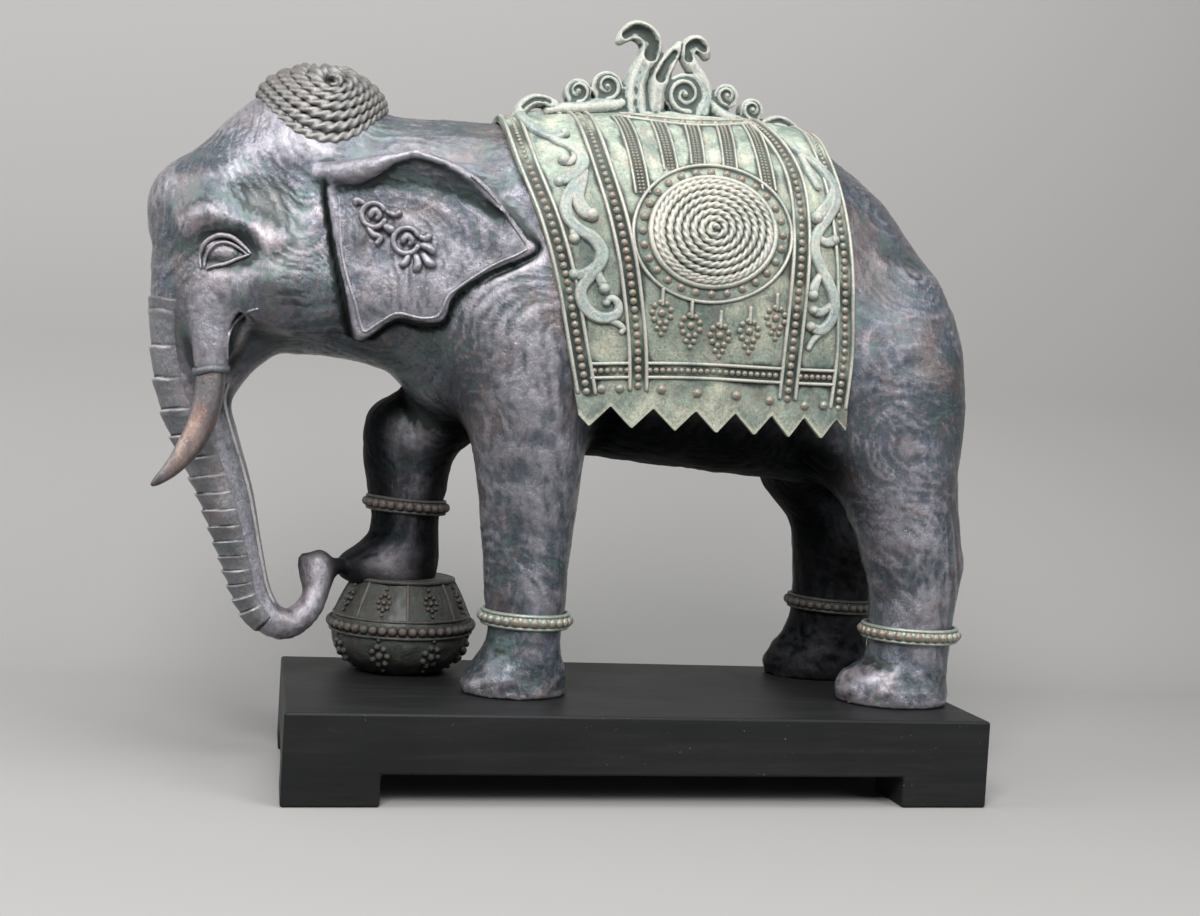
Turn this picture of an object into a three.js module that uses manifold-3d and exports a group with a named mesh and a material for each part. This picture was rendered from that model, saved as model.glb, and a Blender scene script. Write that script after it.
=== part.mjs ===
// A cast resin elephant in a saddle cloth, one forefoot on a pot, on a black plinth.
// Millimetres, +Z up, head towards -X, the side with the shown eye towards -Y.
//
// The figure is one cast solid. Its form is a field: a function that is negative
// inside the figure and positive outside. Each limb, fold and ornament is one
// small field, and smooth minimums join them. The surface is then meshed on a
// grid and thinned, which keeps small facets only where the carving needs them.

import * as THREE from "three";
import { mergeVertices } from "three/addons/utils/BufferGeometryUtils.js";
import ManifoldModule from "manifold-3d";

// Driving dimensions of the plinth
const PLINTH_LENGTH = 470;
const PLINTH_DEPTH = 200;
const PLINTH_HEIGHT = 59;
const PLINTH_EDGE_ROUND = 2;
const RECESS_HEIGHT = 20.5;
const CORNER_FOOT_LENGTH = 61;
const CORNER_FOOT_DEPTH = 48;

// Driving dimensions of the figure
const FIGURE_HEIGHT = 471;
const FIGURE_BACK_SET = 15;
const SOLE_GAP = 0.3;
const SOCKET_CLEARANCE = 0.35;

// The free form is drawn 471 units tall, from the soles to the top of the crest.
// Every table below is a share of that height.
const DRAWN_HEIGHT = 471;
const UNIT = FIGURE_HEIGHT / DRAWN_HEIGHT;

// How finely the field is meshed, in drawn units, and how many facets are kept
const GRID_STEP = 3.4;
const FIGURE_FACETS = 9000;

// Smooth joins and curves

/** Length of a step of two or three parts. */
function span(a, b, c = 0) {
  return Math.sqrt(a * a + b * b + c * c);
}

/** The smaller of two distances, with a fillet of about k where they are alike. */
function smoothMin(a, b, k) {
  const h = Math.max(k - Math.abs(a - b), 0) / k;
  return Math.min(a, b) - h * h * k * 0.25;
}

/** The larger of two distances, with the same fillet. */
function smoothMax(a, b, k) {
  return -smoothMin(-a, -b, k);
}

/** A value from 0 at a to 1 at b with level ends. */
function ease(a, b, value) {
  const t = Math.min(Math.max((value - a) / (b - a), 0), 1);
  return t * t * (3 - 2 * t);
}

/**
 * A smooth curve through rows of [position, value, value, ...], as one function
 * per value column. Values are looked up on samples one unit apart.
 */
function throughRows(rows) {
  const start = rows[0][0];
  const end = rows[rows.length - 1][0];
  const count = Math.ceil(end - start);
  const slope = (i, c) => {
    const before = rows[Math.max(i - 1, 0)];
    const after = rows[Math.min(i + 1, rows.length - 1)];
    return (after[c] - before[c]) / (after[0] - before[0]);
  };
  const columns = [];
  for (let c = 1; c < rows[0].length; c += 1) {
    const samples = new Float64Array(count + 2);
    let i = 0;
    for (let n = 0; n <= count + 1; n += 1) {
      const at = Math.min(start + n, end);
      while (i < rows.length - 2 && at > rows[i + 1][0]) {
        i += 1;
      }
      const gap = rows[i + 1][0] - rows[i][0];
      const t = (at - rows[i][0]) / gap;
      const a = rows[i][c];
      const b = rows[i + 1][c];
      const ma = slope(i, c) * gap;
      const mb = slope(i + 1, c) * gap;
      const cubic = (2 * a - 2 * b + ma + mb) * t ** 3 + (3 * b - 3 * a - 2 * ma - mb) * t ** 2;
      samples[n] = cubic + ma * t + a;
    }
    columns.push((at) => {
      const place = Math.min(Math.max(at - start, 0), count);
      const n = Math.floor(place);
      return samples[n] + (samples[n + 1] - samples[n]) * (place - n);
    });
  }
  return columns;
}

/** Points along a smooth open curve through a few points of any width. */
function alongCurve(points, perSpan) {
  const result = [];
  for (let i = 0; i < points.length - 1; i += 1) {
    const before = points[Math.max(i - 1, 0)];
    const after = points[Math.min(i + 2, points.length - 1)];
    for (let n = 0; n < perSpan; n += 1) {
      const t = n / perSpan;
      result.push(points[i].map((a, c) => {
        const b = points[i + 1][c];
        const ma = (b - before[c]) / 2;
        const mb = (after[c] - a) / 2;
        const cubic = (2 * a - 2 * b + ma + mb) * t ** 3 + (3 * b - 3 * a - 2 * ma - mb) * t ** 2;
        return cubic + ma * t + a;
      }));
    }
  }
  result.push(points[points.length - 1]);
  return result;
}

// Small fields. Each has a box outside which its distance need not be known.

/** A round bar through [x, y, z, radius] points; flat over 1 widens it along y. */
function bar(points, flat = 1, perSpan = 4) {
  const path = alongCurve(points, perSpan);
  const box = new THREE.Box3();
  for (const [x, y, z, r] of path) {
    box.expandByPoint(new THREE.Vector3(x - r, y - r * flat, z - r));
    box.expandByPoint(new THREE.Vector3(x + r, y + r * flat, z + r));
  }
  const distance = (x, y, z) => {
    let best = Infinity;
    for (let i = 0; i < path.length - 1; i += 1) {
      const [ax, ay, az, ar] = path[i];
      const [bx, by, bz, br] = path[i + 1];
      const dx = bx - ax;
      const dy = (by - ay) / flat;
      const dz = bz - az;
      const px = x - ax;
      const py = (y - ay) / flat;
      const pz = z - az;
      const length2 = dx * dx + dy * dy + dz * dz;
      const t = Math.min(Math.max((px * dx + py * dy + pz * dz) / length2, 0), 1);
      const ex = px - dx * t;
      const ey = py - dy * t;
      const ez = pz - dz * t;
      const d = Math.sqrt(ex * ex + ey * ey + ez * ez) - ar - (br - ar) * t;
      best = Math.min(best, d);
    }
    return best;
  };
  return { box, distance };
}

/** An ellipsoid, turned about y by lean radians. */
function ball(cx, cy, cz, rx, ry, rz, lean = 0) {
  const reach = Math.max(rx, rz);
  const box = new THREE.Box3(
    new THREE.Vector3(cx - reach, cy - ry, cz - reach),
    new THREE.Vector3(cx + reach, cy + ry, cz + reach),
  );
  const cos = Math.cos(lean);
  const sin = Math.sin(lean);
  const small = Math.min(rx, ry, rz);
  const distance = (x, y, z) => {
    const px = (x - cx) * cos - (z - cz) * sin;
    const pz = (x - cx) * sin + (z - cz) * cos;
    const q = span(px / rx, (y - cy) / ry, pz / rz);
    const steep = span(px / (rx * rx), (y - cy) / (ry * ry), pz / (rz * rz));
    return steep < 1e-9 ? -small : (q * (q - 1)) / steep;
  };
  return { box, distance };
}

/** A ring about a leg: a round bar of radius thick on an ellipse, tilted along x. */
function ring(cx, cy, cz, rx, ry, thick, tilt) {
  const box = new THREE.Box3(
    new THREE.Vector3(cx - rx - thick, cy - ry - thick, cz - thick - Math.abs(tilt) * rx),
    new THREE.Vector3(cx + rx + thick, cy + ry + thick, cz + thick + Math.abs(tilt) * rx),
  );
  const distance = (x, y, z) => {
    const q = span((x - cx) / rx, (y - cy) / ry);
    const out = (q - 1) * Math.min(rx, ry);
    return span(out, z - cz - tilt * (x - cx)) - thick;
  };
  return { box, distance };
}

/** A limb as level ellipses: rows are [z, front x, back x, middle y, half width]. */
function limb(rows) {
  const [front, back, middle, half] = throughRows(rows);
  const low = rows[0][0];
  const high = rows[rows.length - 1][0];
  const box = new THREE.Box3();
  for (const [z, x0, x1, y, w] of rows) {
    box.expandByPoint(new THREE.Vector3(x0, y - w, z));
    box.expandByPoint(new THREE.Vector3(x1, y + w, z));
  }
  const distance = (x, y, z) => {
    const rx = (back(z) - front(z)) / 2;
    const ry = half(z);
    const px = (x - (back(z) + front(z)) / 2) / rx;
    const py = (y - middle(z)) / ry;
    const q = span(px, py);
    const steep = span(px / rx, py / ry);
    const side = q < 0.05 ? -Math.min(rx, ry) : (q * (q - 1)) / steep;
    return smoothMax(side, Math.max(z - high, low - z), 8);
  };
  return { box, distance };
}

/** The same field on both sides of the middle plane. */
function mirrored(part) {
  const box = part.box.clone();
  box.expandByPoint(new THREE.Vector3(part.box.min.x, -part.box.max.y, part.box.min.z));
  box.expandByPoint(new THREE.Vector3(part.box.max.x, -part.box.min.y, part.box.max.z));
  return { box, distance: (x, y, z) => part.distance(x, Math.abs(y), z) };
}

// The trunk of the body and the head, as an outline seen from the side and a width

const BODY_OUTLINE = [
  [-331, 271], [-336, 296], [-337, 318], [-329, 337], [-307, 355], [-285, 379], [-262, 397],
  [-236, 404], [-210, 399], [-188, 388], [-150, 387], [-109, 388], [-60, 395], [0, 401],
  [60, 403], [105, 400], [130, 387], [166, 363], [186, 343], [206, 320], [220, 297], [231, 268],
  [238, 238], [240, 205], [233, 175], [214, 152], [178, 148], [120, 152], [60, 156], [0, 159],
  [-50, 166], [-110, 176], [-150, 191], [-180, 214], [-220, 220], [-246, 221], [-262, 210],
  [-278, 193], [-296, 197], [-318, 220], [-327, 245],
];

const BLUR_REACH = 5;
const BLUR_PASSES = 6;
const OUTLINE_STEP = 2;

/** Signed depth inside a closed outline, read off a grid made once. */
function depthInside(points) {
  const loop = alongCurve([...points.slice(-1), ...points, ...points.slice(0, 2)], 6);
  const path = loop.slice(6, loop.length - 6);
  const xs = path.map((p) => p[0]);
  const zs = path.map((p) => p[1]);
  const margin = 60;
  const x0 = Math.min(...xs) - margin;
  const z0 = Math.min(...zs) - margin;
  const nx = Math.ceil((Math.max(...xs) + margin - x0) / OUTLINE_STEP) + 2;
  const nz = Math.ceil((Math.max(...zs) + margin - z0) / OUTLINE_STEP) + 2;
  const grid = new Float64Array(nx * nz);
  for (let j = 0; j < nz; j += 1) {
    for (let i = 0; i < nx; i += 1) {
      const x = x0 + i * OUTLINE_STEP;
      const z = z0 + j * OUTLINE_STEP;
      let best = Infinity;
      let inside = false;
      for (let n = 0; n < path.length - 1; n += 1) {
        const [ax, az] = path[n];
        const [bx, bz] = path[n + 1];
        const dx = bx - ax;
        const dz = bz - az;
        const length2 = dx * dx + dz * dz + 1e-12;
        const t = Math.min(Math.max(((x - ax) * dx + (z - az) * dz) / length2, 0), 1);
        best = Math.min(best, (x - ax - dx * t) ** 2 + (z - az - dz * t) ** 2);
        if (az > z !== bz > z && x < ax + ((z - az) / (bz - az)) * dx) {
          inside = !inside;
        }
      }
      grid[j * nx + i] = inside ? Math.sqrt(best) : -Math.sqrt(best);
    }
  }
  const soft = blurred(grid, nx, nz, BLUR_REACH);
  for (let n = 0; n < grid.length; n += 1) {
    grid[n] += (soft[n] - grid[n]) * ease(4, 26, grid[n]);
  }
  return (x, z) => {
    const u = Math.min(Math.max((x - x0) / OUTLINE_STEP, 0), nx - 1.001);
    const v = Math.min(Math.max((z - z0) / OUTLINE_STEP, 0), nz - 1.001);
    const i = Math.floor(u);
    const j = Math.floor(v);
    const fu = u - i;
    const fv = v - j;
    const n = j * nx + i;
    const low = grid[n] * (1 - fu) + grid[n + 1] * fu;
    const high = grid[n + nx] * (1 - fu) + grid[n + nx + 1] * fu;
    return low * (1 - fv) + high * fv;
  };
}

/** A grid averaged along its rows and columns, three times each, so that its creases go. */
function blurred(grid, nx, nz, reach) {
  let from = Float64Array.from(grid);
  for (let pass = 0; pass < BLUR_PASSES; pass += 1) {
    const step = pass % 2 === 0 ? 1 : nx;
    const to = Float64Array.from(from);
    for (let j = 0; j < nz; j += 1) {
      for (let i = 0; i < nx; i += 1) {
        const along = step === 1 ? i : j;
        const limit = step === 1 ? nx : nz;
        if (along < reach || along >= limit - reach) {
          continue;
        }
        let sum = 0;
        for (let n = -reach; n <= reach; n += 1) {
          sum += from[j * nx + i + n * step];
        }
        to[j * nx + i] = sum / (2 * reach + 1);
      }
    }
    from = to;
  }
  return from;
}

const bodyDepth = depthInside(BODY_OUTLINE);

// [x, half width, how deep the side curves in from the outline]
const [bodyHalf, bodyRound] = throughRows([
  [-345, 40, 40], [-315, 47, 46], [-275, 53, 52], [-235, 58, 56], [-190, 60, 62], [-150, 66, 80],
  [-105, 76, 100], [-50, 83, 112], [20, 86, 116], [95, 86, 116], [150, 82, 110], [205, 74, 100],
  [255, 66, 90],
]);

const MUZZLE_NARROWING = 0.42;
const CROWN_NARROWING = 0.2;

/** Half the body's width where nothing curves in yet. */
function halfWidthAt(x, z) {
  const muzzle = ease(-215, -265, x) * ease(262, 196, z);
  const crown = ease(-165, -200, x) * ease(325, 392, z);
  return bodyHalf(x) * (1 - MUZZLE_NARROWING * muzzle - CROWN_NARROWING * crown);
}

/** The rounded side of the body for a given depth inside the outline. */
function sideDistance(depth, y, half, round) {
  const a = Math.max(1 - depth / round, 0);
  const b = y / half;
  const q = span(a, b);
  const steep = span(a / round, b / half);
  return q < 0.05 ? -half : (q * (q - 1)) / steep;
}

/** The barrel of the body, the neck and the head. */
function bodyDistance(x, y, z) {
  return sideDistance(bodyDepth(x, z), y, halfWidthAt(x, z), bodyRound(x));
}

// Legs, drawn where they stand

const hindLegNear = limb([
  [-8, 153, 229, -48, 32], [3, 150, 230, -48, 32.5], [10, 149, 230, -48, 32], [20, 154, 229, -48, 30],
  [29, 167, 229, -48, 28], [41, 171, 230, -48, 27.5], [58, 171, 232, -48, 28],
  [76, 170, 234, -48, 29], [99, 165, 236, -47, 31], [124, 154, 233, -46, 34],
  [155, 137, 230, -44, 38], [185, 119, 231, -43, 41], [225, 110, 231, -42, 42],
  [265, 120, 223, -40, 38], [300, 140, 205, -36, 30],
]);

const hindLegFar = limb([
  [-8, 133, 213, 55, 31], [3, 130, 214, 55, 31.5], [10, 129, 213, 55, 31], [20, 134, 212, 55, 30],
  [30, 144, 211, 55, 28], [42, 149, 211, 55, 27.5], [58, 150, 211, 54, 28],
  [76, 149, 213, 53, 29], [97, 147, 216, 51, 31], [120, 140, 218, 48, 34],
  [145, 118, 223, 45, 38], [185, 106, 230, 43, 41], [225, 108, 231, 42, 42],
  [265, 120, 223, 40, 38], [300, 140, 205, 36, 30],
]);

const foreLegNear = limb([
  [-8, -117, -45, -37, 30], [3, -118, -45, -37, 31], [8, -118, -46, -37, 30.5],
  [18, -111, -47, -37, 29], [28, -104, -49, -37, 27.5], [41, -101, -50, -37, 26.5],
  [63, -103, -48, -37, 27], [90, -106, -48, -37, 28.5], [130, -113, -45, -38, 32],
  [170, -121, -41, -40, 37], [205, -132, -36, -42, 40], [245, -146, -34, -42, 41],
  [285, -150, -50, -40, 38], [325, -140, -70, -34, 30],
]);

const foreLegFar = limb([
  [60, -190, -132, 43, 25], [68, -198, -128, 43, 28], [76, -199, -127, 43, 29],
  [86, -189, -127, 43, 28], [97, -180, -128, 43, 26], [111, -178, -128, 43, 25.5],
  [126, -181, -125, 43, 27], [148, -185, -122, 43, 29], [160, -184, -116, 43, 31],
  [172, -180, -100, 43, 34], [186, -169, -78, 43, 37], [205, -158, -60, 43, 39],
  [245, -148, -46, 42, 40], [285, -142, -60, 40, 37], [320, -132, -80, 34, 29],
]);

const kneeOfRaisedLeg = ball(-158, 43, 172, 27, 28, 22, 0.5);

// Head forms

const trunk = bar([
  [-300, 0, 262, 33], [-307, 0, 236, 24.5], [-306, 0, 208, 22.5], [-300, 0, 181, 21.5],
  [-290, 0, 155, 19.5], [-279, 0, 128, 17.5], [-271, 0, 102, 15.5], [-264, 0, 78, 13.5],
  [-257, 0, 56, 12], [-247, 0, 41, 11.5], [-234, 2, 36, 11], [-222, 8, 43, 10],
  [-215, 14, 56, 9], [-214, 18, 68, 9.5], [-214, 20, 76, 10],
], 1, 3);
const trunkTipLeft = bar([[-219, 18, 66, 6], [-223, 20, 74, 5], [-225, 20, 80, 3.5]]);
const trunkTipRight = bar([[-212, 20, 68, 7], [-206, 24, 73, 6], [-200, 28, 75, 5]]);

const cheek = mirrored(ball(-246, 43, 262, 33, 20, 27, 0.2));
const tuskSheath = mirrored(bar([
  [-288, 30, 262, 20], [-291, 34, 240, 16], [-291, 36, 224, 13.5], [-291, 36.5, 212, 11.5],
]));
const brow = mirrored(bar([
  [-306, 40, 299, 8], [-292, 47, 306, 10], [-272, 50, 304, 9], [-258, 52, 292, 7],
]));
const templeHollow = mirrored(ball(-262, 66, 330, 30, 16, 26, -0.5));
const eyeHollow = mirrored(ball(-287, 60, 284, 21, 12, 13, 0.1));
const eyeBall = mirrored(ball(-287, 44.5, 283, 15, 7.5, 9, 0.12));
const skullDome = ball(-228, 0, 362, 42, 44, 42, 0);
const cheekGroove = mirrored(bar([
  [-271, 46, 252, 3], [-276, 42, 236, 3.5], [-277, 36, 218, 4], [-277, 30, 204, 4],
]));

// Trunk rings: raised bands across the front of the trunk

const TRUNK_BAND_LIFT = 1.9;
const TRUNK_BANDS = 17;
const TRUNK_BAND_TOP = 246;
const TRUNK_BAND_END = 44;
const [trunkFrontX] = throughRows([
  [30, -250], [50, -267], [72, -277], [99, -286], [126, -296], [146, -304], [165, -314],
  [180, -321], [199, -327], [221, -329], [250, -329],
]);

/** How much the trunk's front stands out in bands; they grow wider upward. */
function trunkBands(x, z) {
  if (z > TRUNK_BAND_TOP || z < TRUNK_BAND_END || x > -240) {
    return 0;
  }
  const level = z - 0.45 * (x - trunkFrontX(z)) * ease(200, 150, z);
  const share = Math.min(Math.max((level - TRUNK_BAND_END) / (TRUNK_BAND_TOP - TRUNK_BAND_END), 0), 1);
  const wave = Math.sin(2 * Math.PI * TRUNK_BANDS * share ** 0.72);
  const front = ease(30, 14, x - trunkFrontX(z));
  return TRUNK_BAND_LIFT * front * ease(-0.5, 0.3, wave);
}

// Ears: raised plates with a rolled top fold

const EAR_OUTLINE = [
  [-222, 334], [-219, 300], [-211, 266], [-203, 238], [-196, 232], [-176, 246], [-158, 244],
  [-146, 247], [-141, 262], [-122, 278], [-91, 295], [-97, 305], [-117, 328], [-140, 346],
  [-171, 351], [-196, 342],
];
const earDepth = depthInside(EAR_OUTLINE);
const [earStand] = throughRows([
  [-230, 60], [-205, 67], [-180, 73], [-150, 77], [-120, 81], [-85, 84],
]);

/** The ear plate on the side that y is on. */
function earDistance(x, y, z) {
  const crease = 2.2 * Math.sin((x + 0.6 * z) / 9) * ease(0, 20, earDepth(x, z));
  const low = 5 * ease(262, 236, z);
  const out = Math.abs(y) - earStand(x) + low - 0.35 * crease;
  return smoothMax(smoothMax(-earDepth(x, z), out * 0.94, 5), 40 - Math.abs(y), 4);
}

const earBox = new THREE.Box3(new THREE.Vector3(-224, -90, 228), new THREE.Vector3(-88, 90, 354));
const earFold = mirrored(bar([
  [-224, 60, 331, 5], [-210, 67, 334, 6], [-195, 73, 341, 7], [-178, 78, 348, 8],
  [-158, 80, 346, 7.5], [-138, 80, 337, 6], [-118, 82, 322, 4.5], [-100, 83, 303, 3],
]));
const earFoldHollow = mirrored(bar([
  [-206, 76, 326, 4.5], [-190, 82, 331, 5.5], [-172, 86, 335, 6], [-154, 88, 333, 5],
]));

// Saddle cloth: follows the back, then hangs straight from the widest line

const CLOTH_THICKNESS = 4.6;
const CLOTH_WIDEST_Z = 284;
const HEM_Z = 188;
const HEM_NOTCH = 12;
const HEM_PITCH = 28.5;
const HEM_LIP = 7;
const RIB_HEIGHT = 2.1;

// [z, front x, rear x]
const [clothFront, clothRear] = throughRows([
  [170, -53, 126], [188, -56, 127], [240, -68, 131], [278, -77, 129], [316, -89, 127],
  [353, -103, 123], [378, -109, 119], [410, -112, 115],
]);

/** How far down the hem reaches at a place along the body. */
function hemAt(x) {
  const across = (x - clothFront(HEM_Z)) / HEM_PITCH;
  const saw = Math.abs(across - Math.floor(across) - 0.5) * 2;
  return HEM_Z + HEM_NOTCH * (1 - saw);
}

const MEDALLION_X = 26.5;
const MEDALLION_Z = 317;
const MEDALLION_RIM = 53;
const MEDALLION_DISK = 41;
const MEDALLION_SQUASH = 0.87;
const BORDER_INSET = 8.5;
const BAND_Z = 222;

// [z, x of the inner front band, x of the inner rear band]
const [bandFront, bandRear] = throughRows([
  [200, -18, 83], [240, -21, 85], [282, -28, 87], [320, -37, 88], [356, -47, 86], [380, -52, 79],
  [405, -56, 66],
]);

// Vine scrolls between the bands, as [x, z] points on the cloth
const vines = [
  [[-86, 397], [-90, 384], [-78, 372], [-63, 360], [-66, 338], [-69, 327], [-64, 315], [-50, 304],
    [-47, 288], [-58, 272], [-56, 260], [-44, 255], [-36, 262], [-43, 268]],
  [[-62, 352], [-72, 343]],
  [[-68, 336], [-56, 321]],
  [[-48, 284], [-61, 281]],
  [[-54, 279], [-44, 272]],
  [[88, 369], [100, 371], [115, 352], [114, 338], [100, 324], [98, 306], [108, 287], [113, 273],
    [107, 261], [97, 253]],
  [[114, 350], [108, 337], [99, 331]],
  [[100, 321], [111, 316]],
  [[104, 293], [97, 285]],
].map((points) => alongCurve(points, 3));
const tassels = [[-6, 260], [14, 253], [34, 249], [54, 253], [72, 263]];

/** A rib of a given half width about the zero of offset. */
function rib(offset, halfWidth) {
  return 1 - ease(halfWidth - 1.4, halfWidth + 1.4, Math.abs(offset));
}

/** How near a point is to a line through points. */
function nearLine(points, x, z) {
  let best = Infinity;
  for (let i = 0; i < points.length - 1; i += 1) {
    const [ax, az] = points[i];
    const dx = points[i + 1][0] - ax;
    const dz = points[i + 1][1] - az;
    const t = Math.min(Math.max(((x - ax) * dx + (z - az) * dz) / (dx * dx + dz * dz), 0), 1);
    best = Math.min(best, span(x - ax - dx * t, z - az - dz * t));
  }
  return best;
}

/** Height of the carving over the plain cloth. */
function clothRelief(x, z, depthX) {
  const fromCentre = span(x - MEDALLION_X, (z - MEDALLION_Z) / MEDALLION_SQUASH);
  if (fromCentre < MEDALLION_RIM + 4) {
    const rims = Math.max(rib(fromCentre - MEDALLION_RIM, 2), rib(fromCentre - MEDALLION_DISK, 2.4));
    const dome = 0.9 * ease(MEDALLION_DISK, MEDALLION_DISK - 8, fromCentre);
    return RIB_HEIGHT * Math.max(rims, dome);
  }
  let height = rib(depthX - BORDER_INSET, 6.5);
  height = Math.max(height, z < 232 ? rib(z - BAND_Z, 5.5) : 0);
  if (z > 207 && z < 396) {
    height = Math.max(height, rib(x - bandFront(z), 4.8), rib(x - bandRear(z), 4.8));
  }
  for (const vine of depthX > 12 && depthX < 60 ? vines : []) {
    height = Math.max(height, 1.35 * (1 - ease(1, 4.2, nearLine(vine, x, z))));
  }
  for (const [tx, tz] of z < 276 && z > 236 ? tassels : []) {
    height = Math.max(height, 1.3 * (1 - ease(5, 9.5, span(x - tx, (z - tz) * 0.75))));
  }
  return RIB_HEIGHT * height;
}

/** The saddle cloth, solid down to the body, undercut above its hem. */
function clothDistance(x, y, z) {
  const half = halfWidthAt(x, z);
  const round = bodyRound(x);
  const depth = z < CLOTH_WIDEST_Z ? round : bodyDepth(x, z);
  const depthX = Math.min(x - clothFront(z), clothRear(z) - x);
  const relief = depthX > -8 ? clothRelief(x, z, depthX) : 0;
  const out = sideDistance(depth, y, half, round) - CLOTH_THICKNESS - relief;
  const hem = (hemAt(x) - z) * 0.75;
  const inward = Math.max(half + CLOTH_THICKNESS - HEM_LIP - Math.abs(y), 0);
  const under = (hemAt(x) + 1.5 * inward - z) * 0.55;
  return Math.max(smoothMax(out, -depthX * 0.95, 2), hem, under);
}

const clothBox = new THREE.Box3(new THREE.Vector3(-114, -98, 184), new THREE.Vector3(134, 98, 414));

// Crest: leaf scrolls along the ridge of the back

const CREST_FLAT = 1.7;

/** Points of a scroll that winds inward; a positive turn goes from +X towards +Z. */
function scroll(x, z, radius, startTurn, turns, thick) {
  const steps = Math.ceil(Math.abs(turns) * 9);
  return Array.from({ length: steps + 1 }, (_, n) => {
    const share = n / steps;
    const angle = 2 * Math.PI * (startTurn + turns * share);
    const out = (radius - thick) * (1 - 0.82 * share);
    return [x + out * Math.cos(angle), z + out * Math.sin(angle), thick * (1 - 0.4 * share)];
  });
}

const crestStems = [
  [[-13, 402, 9], [-15, 422, 7.2], [-11, 433, 6.8], [-5, 445, 6.2], [-2, 455, 5.6], [-4, 463, 5],
    [-12, 467, 4.5], [-19, 463, 4], [-23, 457, 3.2]],
  [[1, 402, 7], [0, 423, 6], [5, 437, 6], [10, 447, 5.2], [15, 453, 3]],
  [[36, 404, 6], [37, 420, 4.8], [33, 433, 4.6], [25, 442, 4.6], [20, 450, 4.2], [22, 457, 4.2],
    [27, 460, 4.4], [32, 456, 4], [34, 452, 3]],
  [[-20, 405, 6], [-37, 408, 5], [-56, 407, 5], [-72, 404, 5]],
  [[-74, 395, 5], [-84, 400, 5], [-94, 396, 4.5], [-98, 386, 4]],
  [[46, 405, 6], [60, 408, 5], [72, 405, 5]],
  [[76, 401, 5], [86, 408, 4.5], [98, 407, 4.5], [108, 400, 4.5], [114, 391, 4]],
];
const crestScrolls = [
  scroll(22, 421, 15, -0.5, 1.25, 4.6),
  scroll(-32, 421, 11, -0.25, 1, 4.2),
  scroll(-54, 416, 9.5, -0.25, 1, 4),
  scroll(52.5, 421, 9.5, 0.75, -1, 4),
  scroll(70, 413.5, 9, 0.75, -1, 4),
];
const crest = [...crestStems, ...crestScrolls]
  .map((curve) => bar(curve.map(([x, z, r]) => [x, 0, z, r]), CREST_FLAT, 2));
const crestBase = bar([[-70, 0, 396, 6], [-20, 0, 402, 7], [30, 0, 404, 7], [90, 0, 401, 6]], 2, 3);

// Rope cap: coils on the crown of the head

const CAP_X = -228;
const CAP_Z = 368;
const CAP_HALF_LENGTH = 43;
const CAP_HALF_WIDTH = 51;
const CAP_RISE = 43;
const CAP_LOW_Z = 362;
const CAP_COILS = 5;
const capDome = ball(CAP_X, 0, CAP_Z, CAP_HALF_LENGTH, CAP_HALF_WIDTH, CAP_RISE);

/** The coiled cap: a dome stepped in rings, cut off level at its rim. */
function capDistance(x, y, z) {
  const q = span((x - CAP_X) / CAP_HALF_LENGTH, y / CAP_HALF_WIDTH);
  const coil = 2 * Math.abs(Math.sin(Math.PI * CAP_COILS * Math.min(q * q, 1)));
  return smoothMax(capDome.distance(x, y, z) - coil + 1.4, CAP_LOW_Z - z, 5);
}

const capBox = new THREE.Box3(new THREE.Vector3(-274, -54, 360), new THREE.Vector3(-182, 54, 414));

// Pot under the raised foot

const POT_X = -152;
const POT_Y = 43;
const POT_LOW_Z = -8;
const [potRadius] = throughRows([
  [POT_LOW_Z, 26], [0, 29], [4, 36], [11, 44], [20, 49], [29, 51], [36, 50], [48, 45], [60, 39], [68, 34],
]);
const POT_TOP = 67;
const potBox = new THREE.Box3(new THREE.Vector3(-208, -12, POT_LOW_Z), new THREE.Vector3(-96, 98, 70));

/** The round pot, with eight flat panels above its widest line. */
function potDistance(x, y, z) {
  const out = span(x - POT_X, y - POT_Y);
  const turn = Math.atan2(y - POT_Y, x - POT_X);
  const panel = 1 - 0.03 * ease(36, 44, z) * (1 - Math.abs(Math.cos(4 * turn)));
  return Math.max((out - potRadius(z) * panel) * 0.85, z - POT_TOP, POT_LOW_Z - z);
}

const potRing = ring(POT_X, POT_Y, 34, 50, 50, 4.2, 0);

// Anklets: [x, y, z, half length, half width, tilt]

const ANKLET_THICKNESS = 5;
const anklets = [
  [-75.5, -37, 51, 29, 28, -0.02],
  [201, -48, 50, 33, 30, -0.01],
  [180, 55, 56, 32, 30, -0.03],
  [-153, 43, 119, 27.5, 27, -0.05],
].map(([x, y, z, rx, ry, tilt]) => ring(x, y, z, rx, ry, ANKLET_THICKNESS, tilt));

// Tail, lying against the rump and the far hind leg

const tail = bar([
  [213, 0, 306, 9], [227, 2, 281, 8.5], [235, 5, 250, 7.5], [237, 8, 216, 7], [235, 12, 184, 6.5],
  [231, 17, 160, 6], [229, 22, 140, 7.5], [227, 25, 122, 6], [226, 26, 110, 3.5],
]);

// Tusks are moulded apart and glued into sockets

const TUSK_ROOT_Z = 222;
const TUSK_ROWS = 1;
const TUSK_SIDES = 12;
const tuskPath = [
  [-291, 37, TUSK_ROOT_Z, 8.6], [-291, 38, 205, 9.3], [-292, 39, 188, 9.4], [-296, 40.5, 170, 8.8],
  [-303, 42, 155, 7.6], [-312, 43.5, 142, 5.4], [-320, 44.5, 134, 3.2], [-323.5, 45, 131, 1.6],
];

// The whole figure

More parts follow.
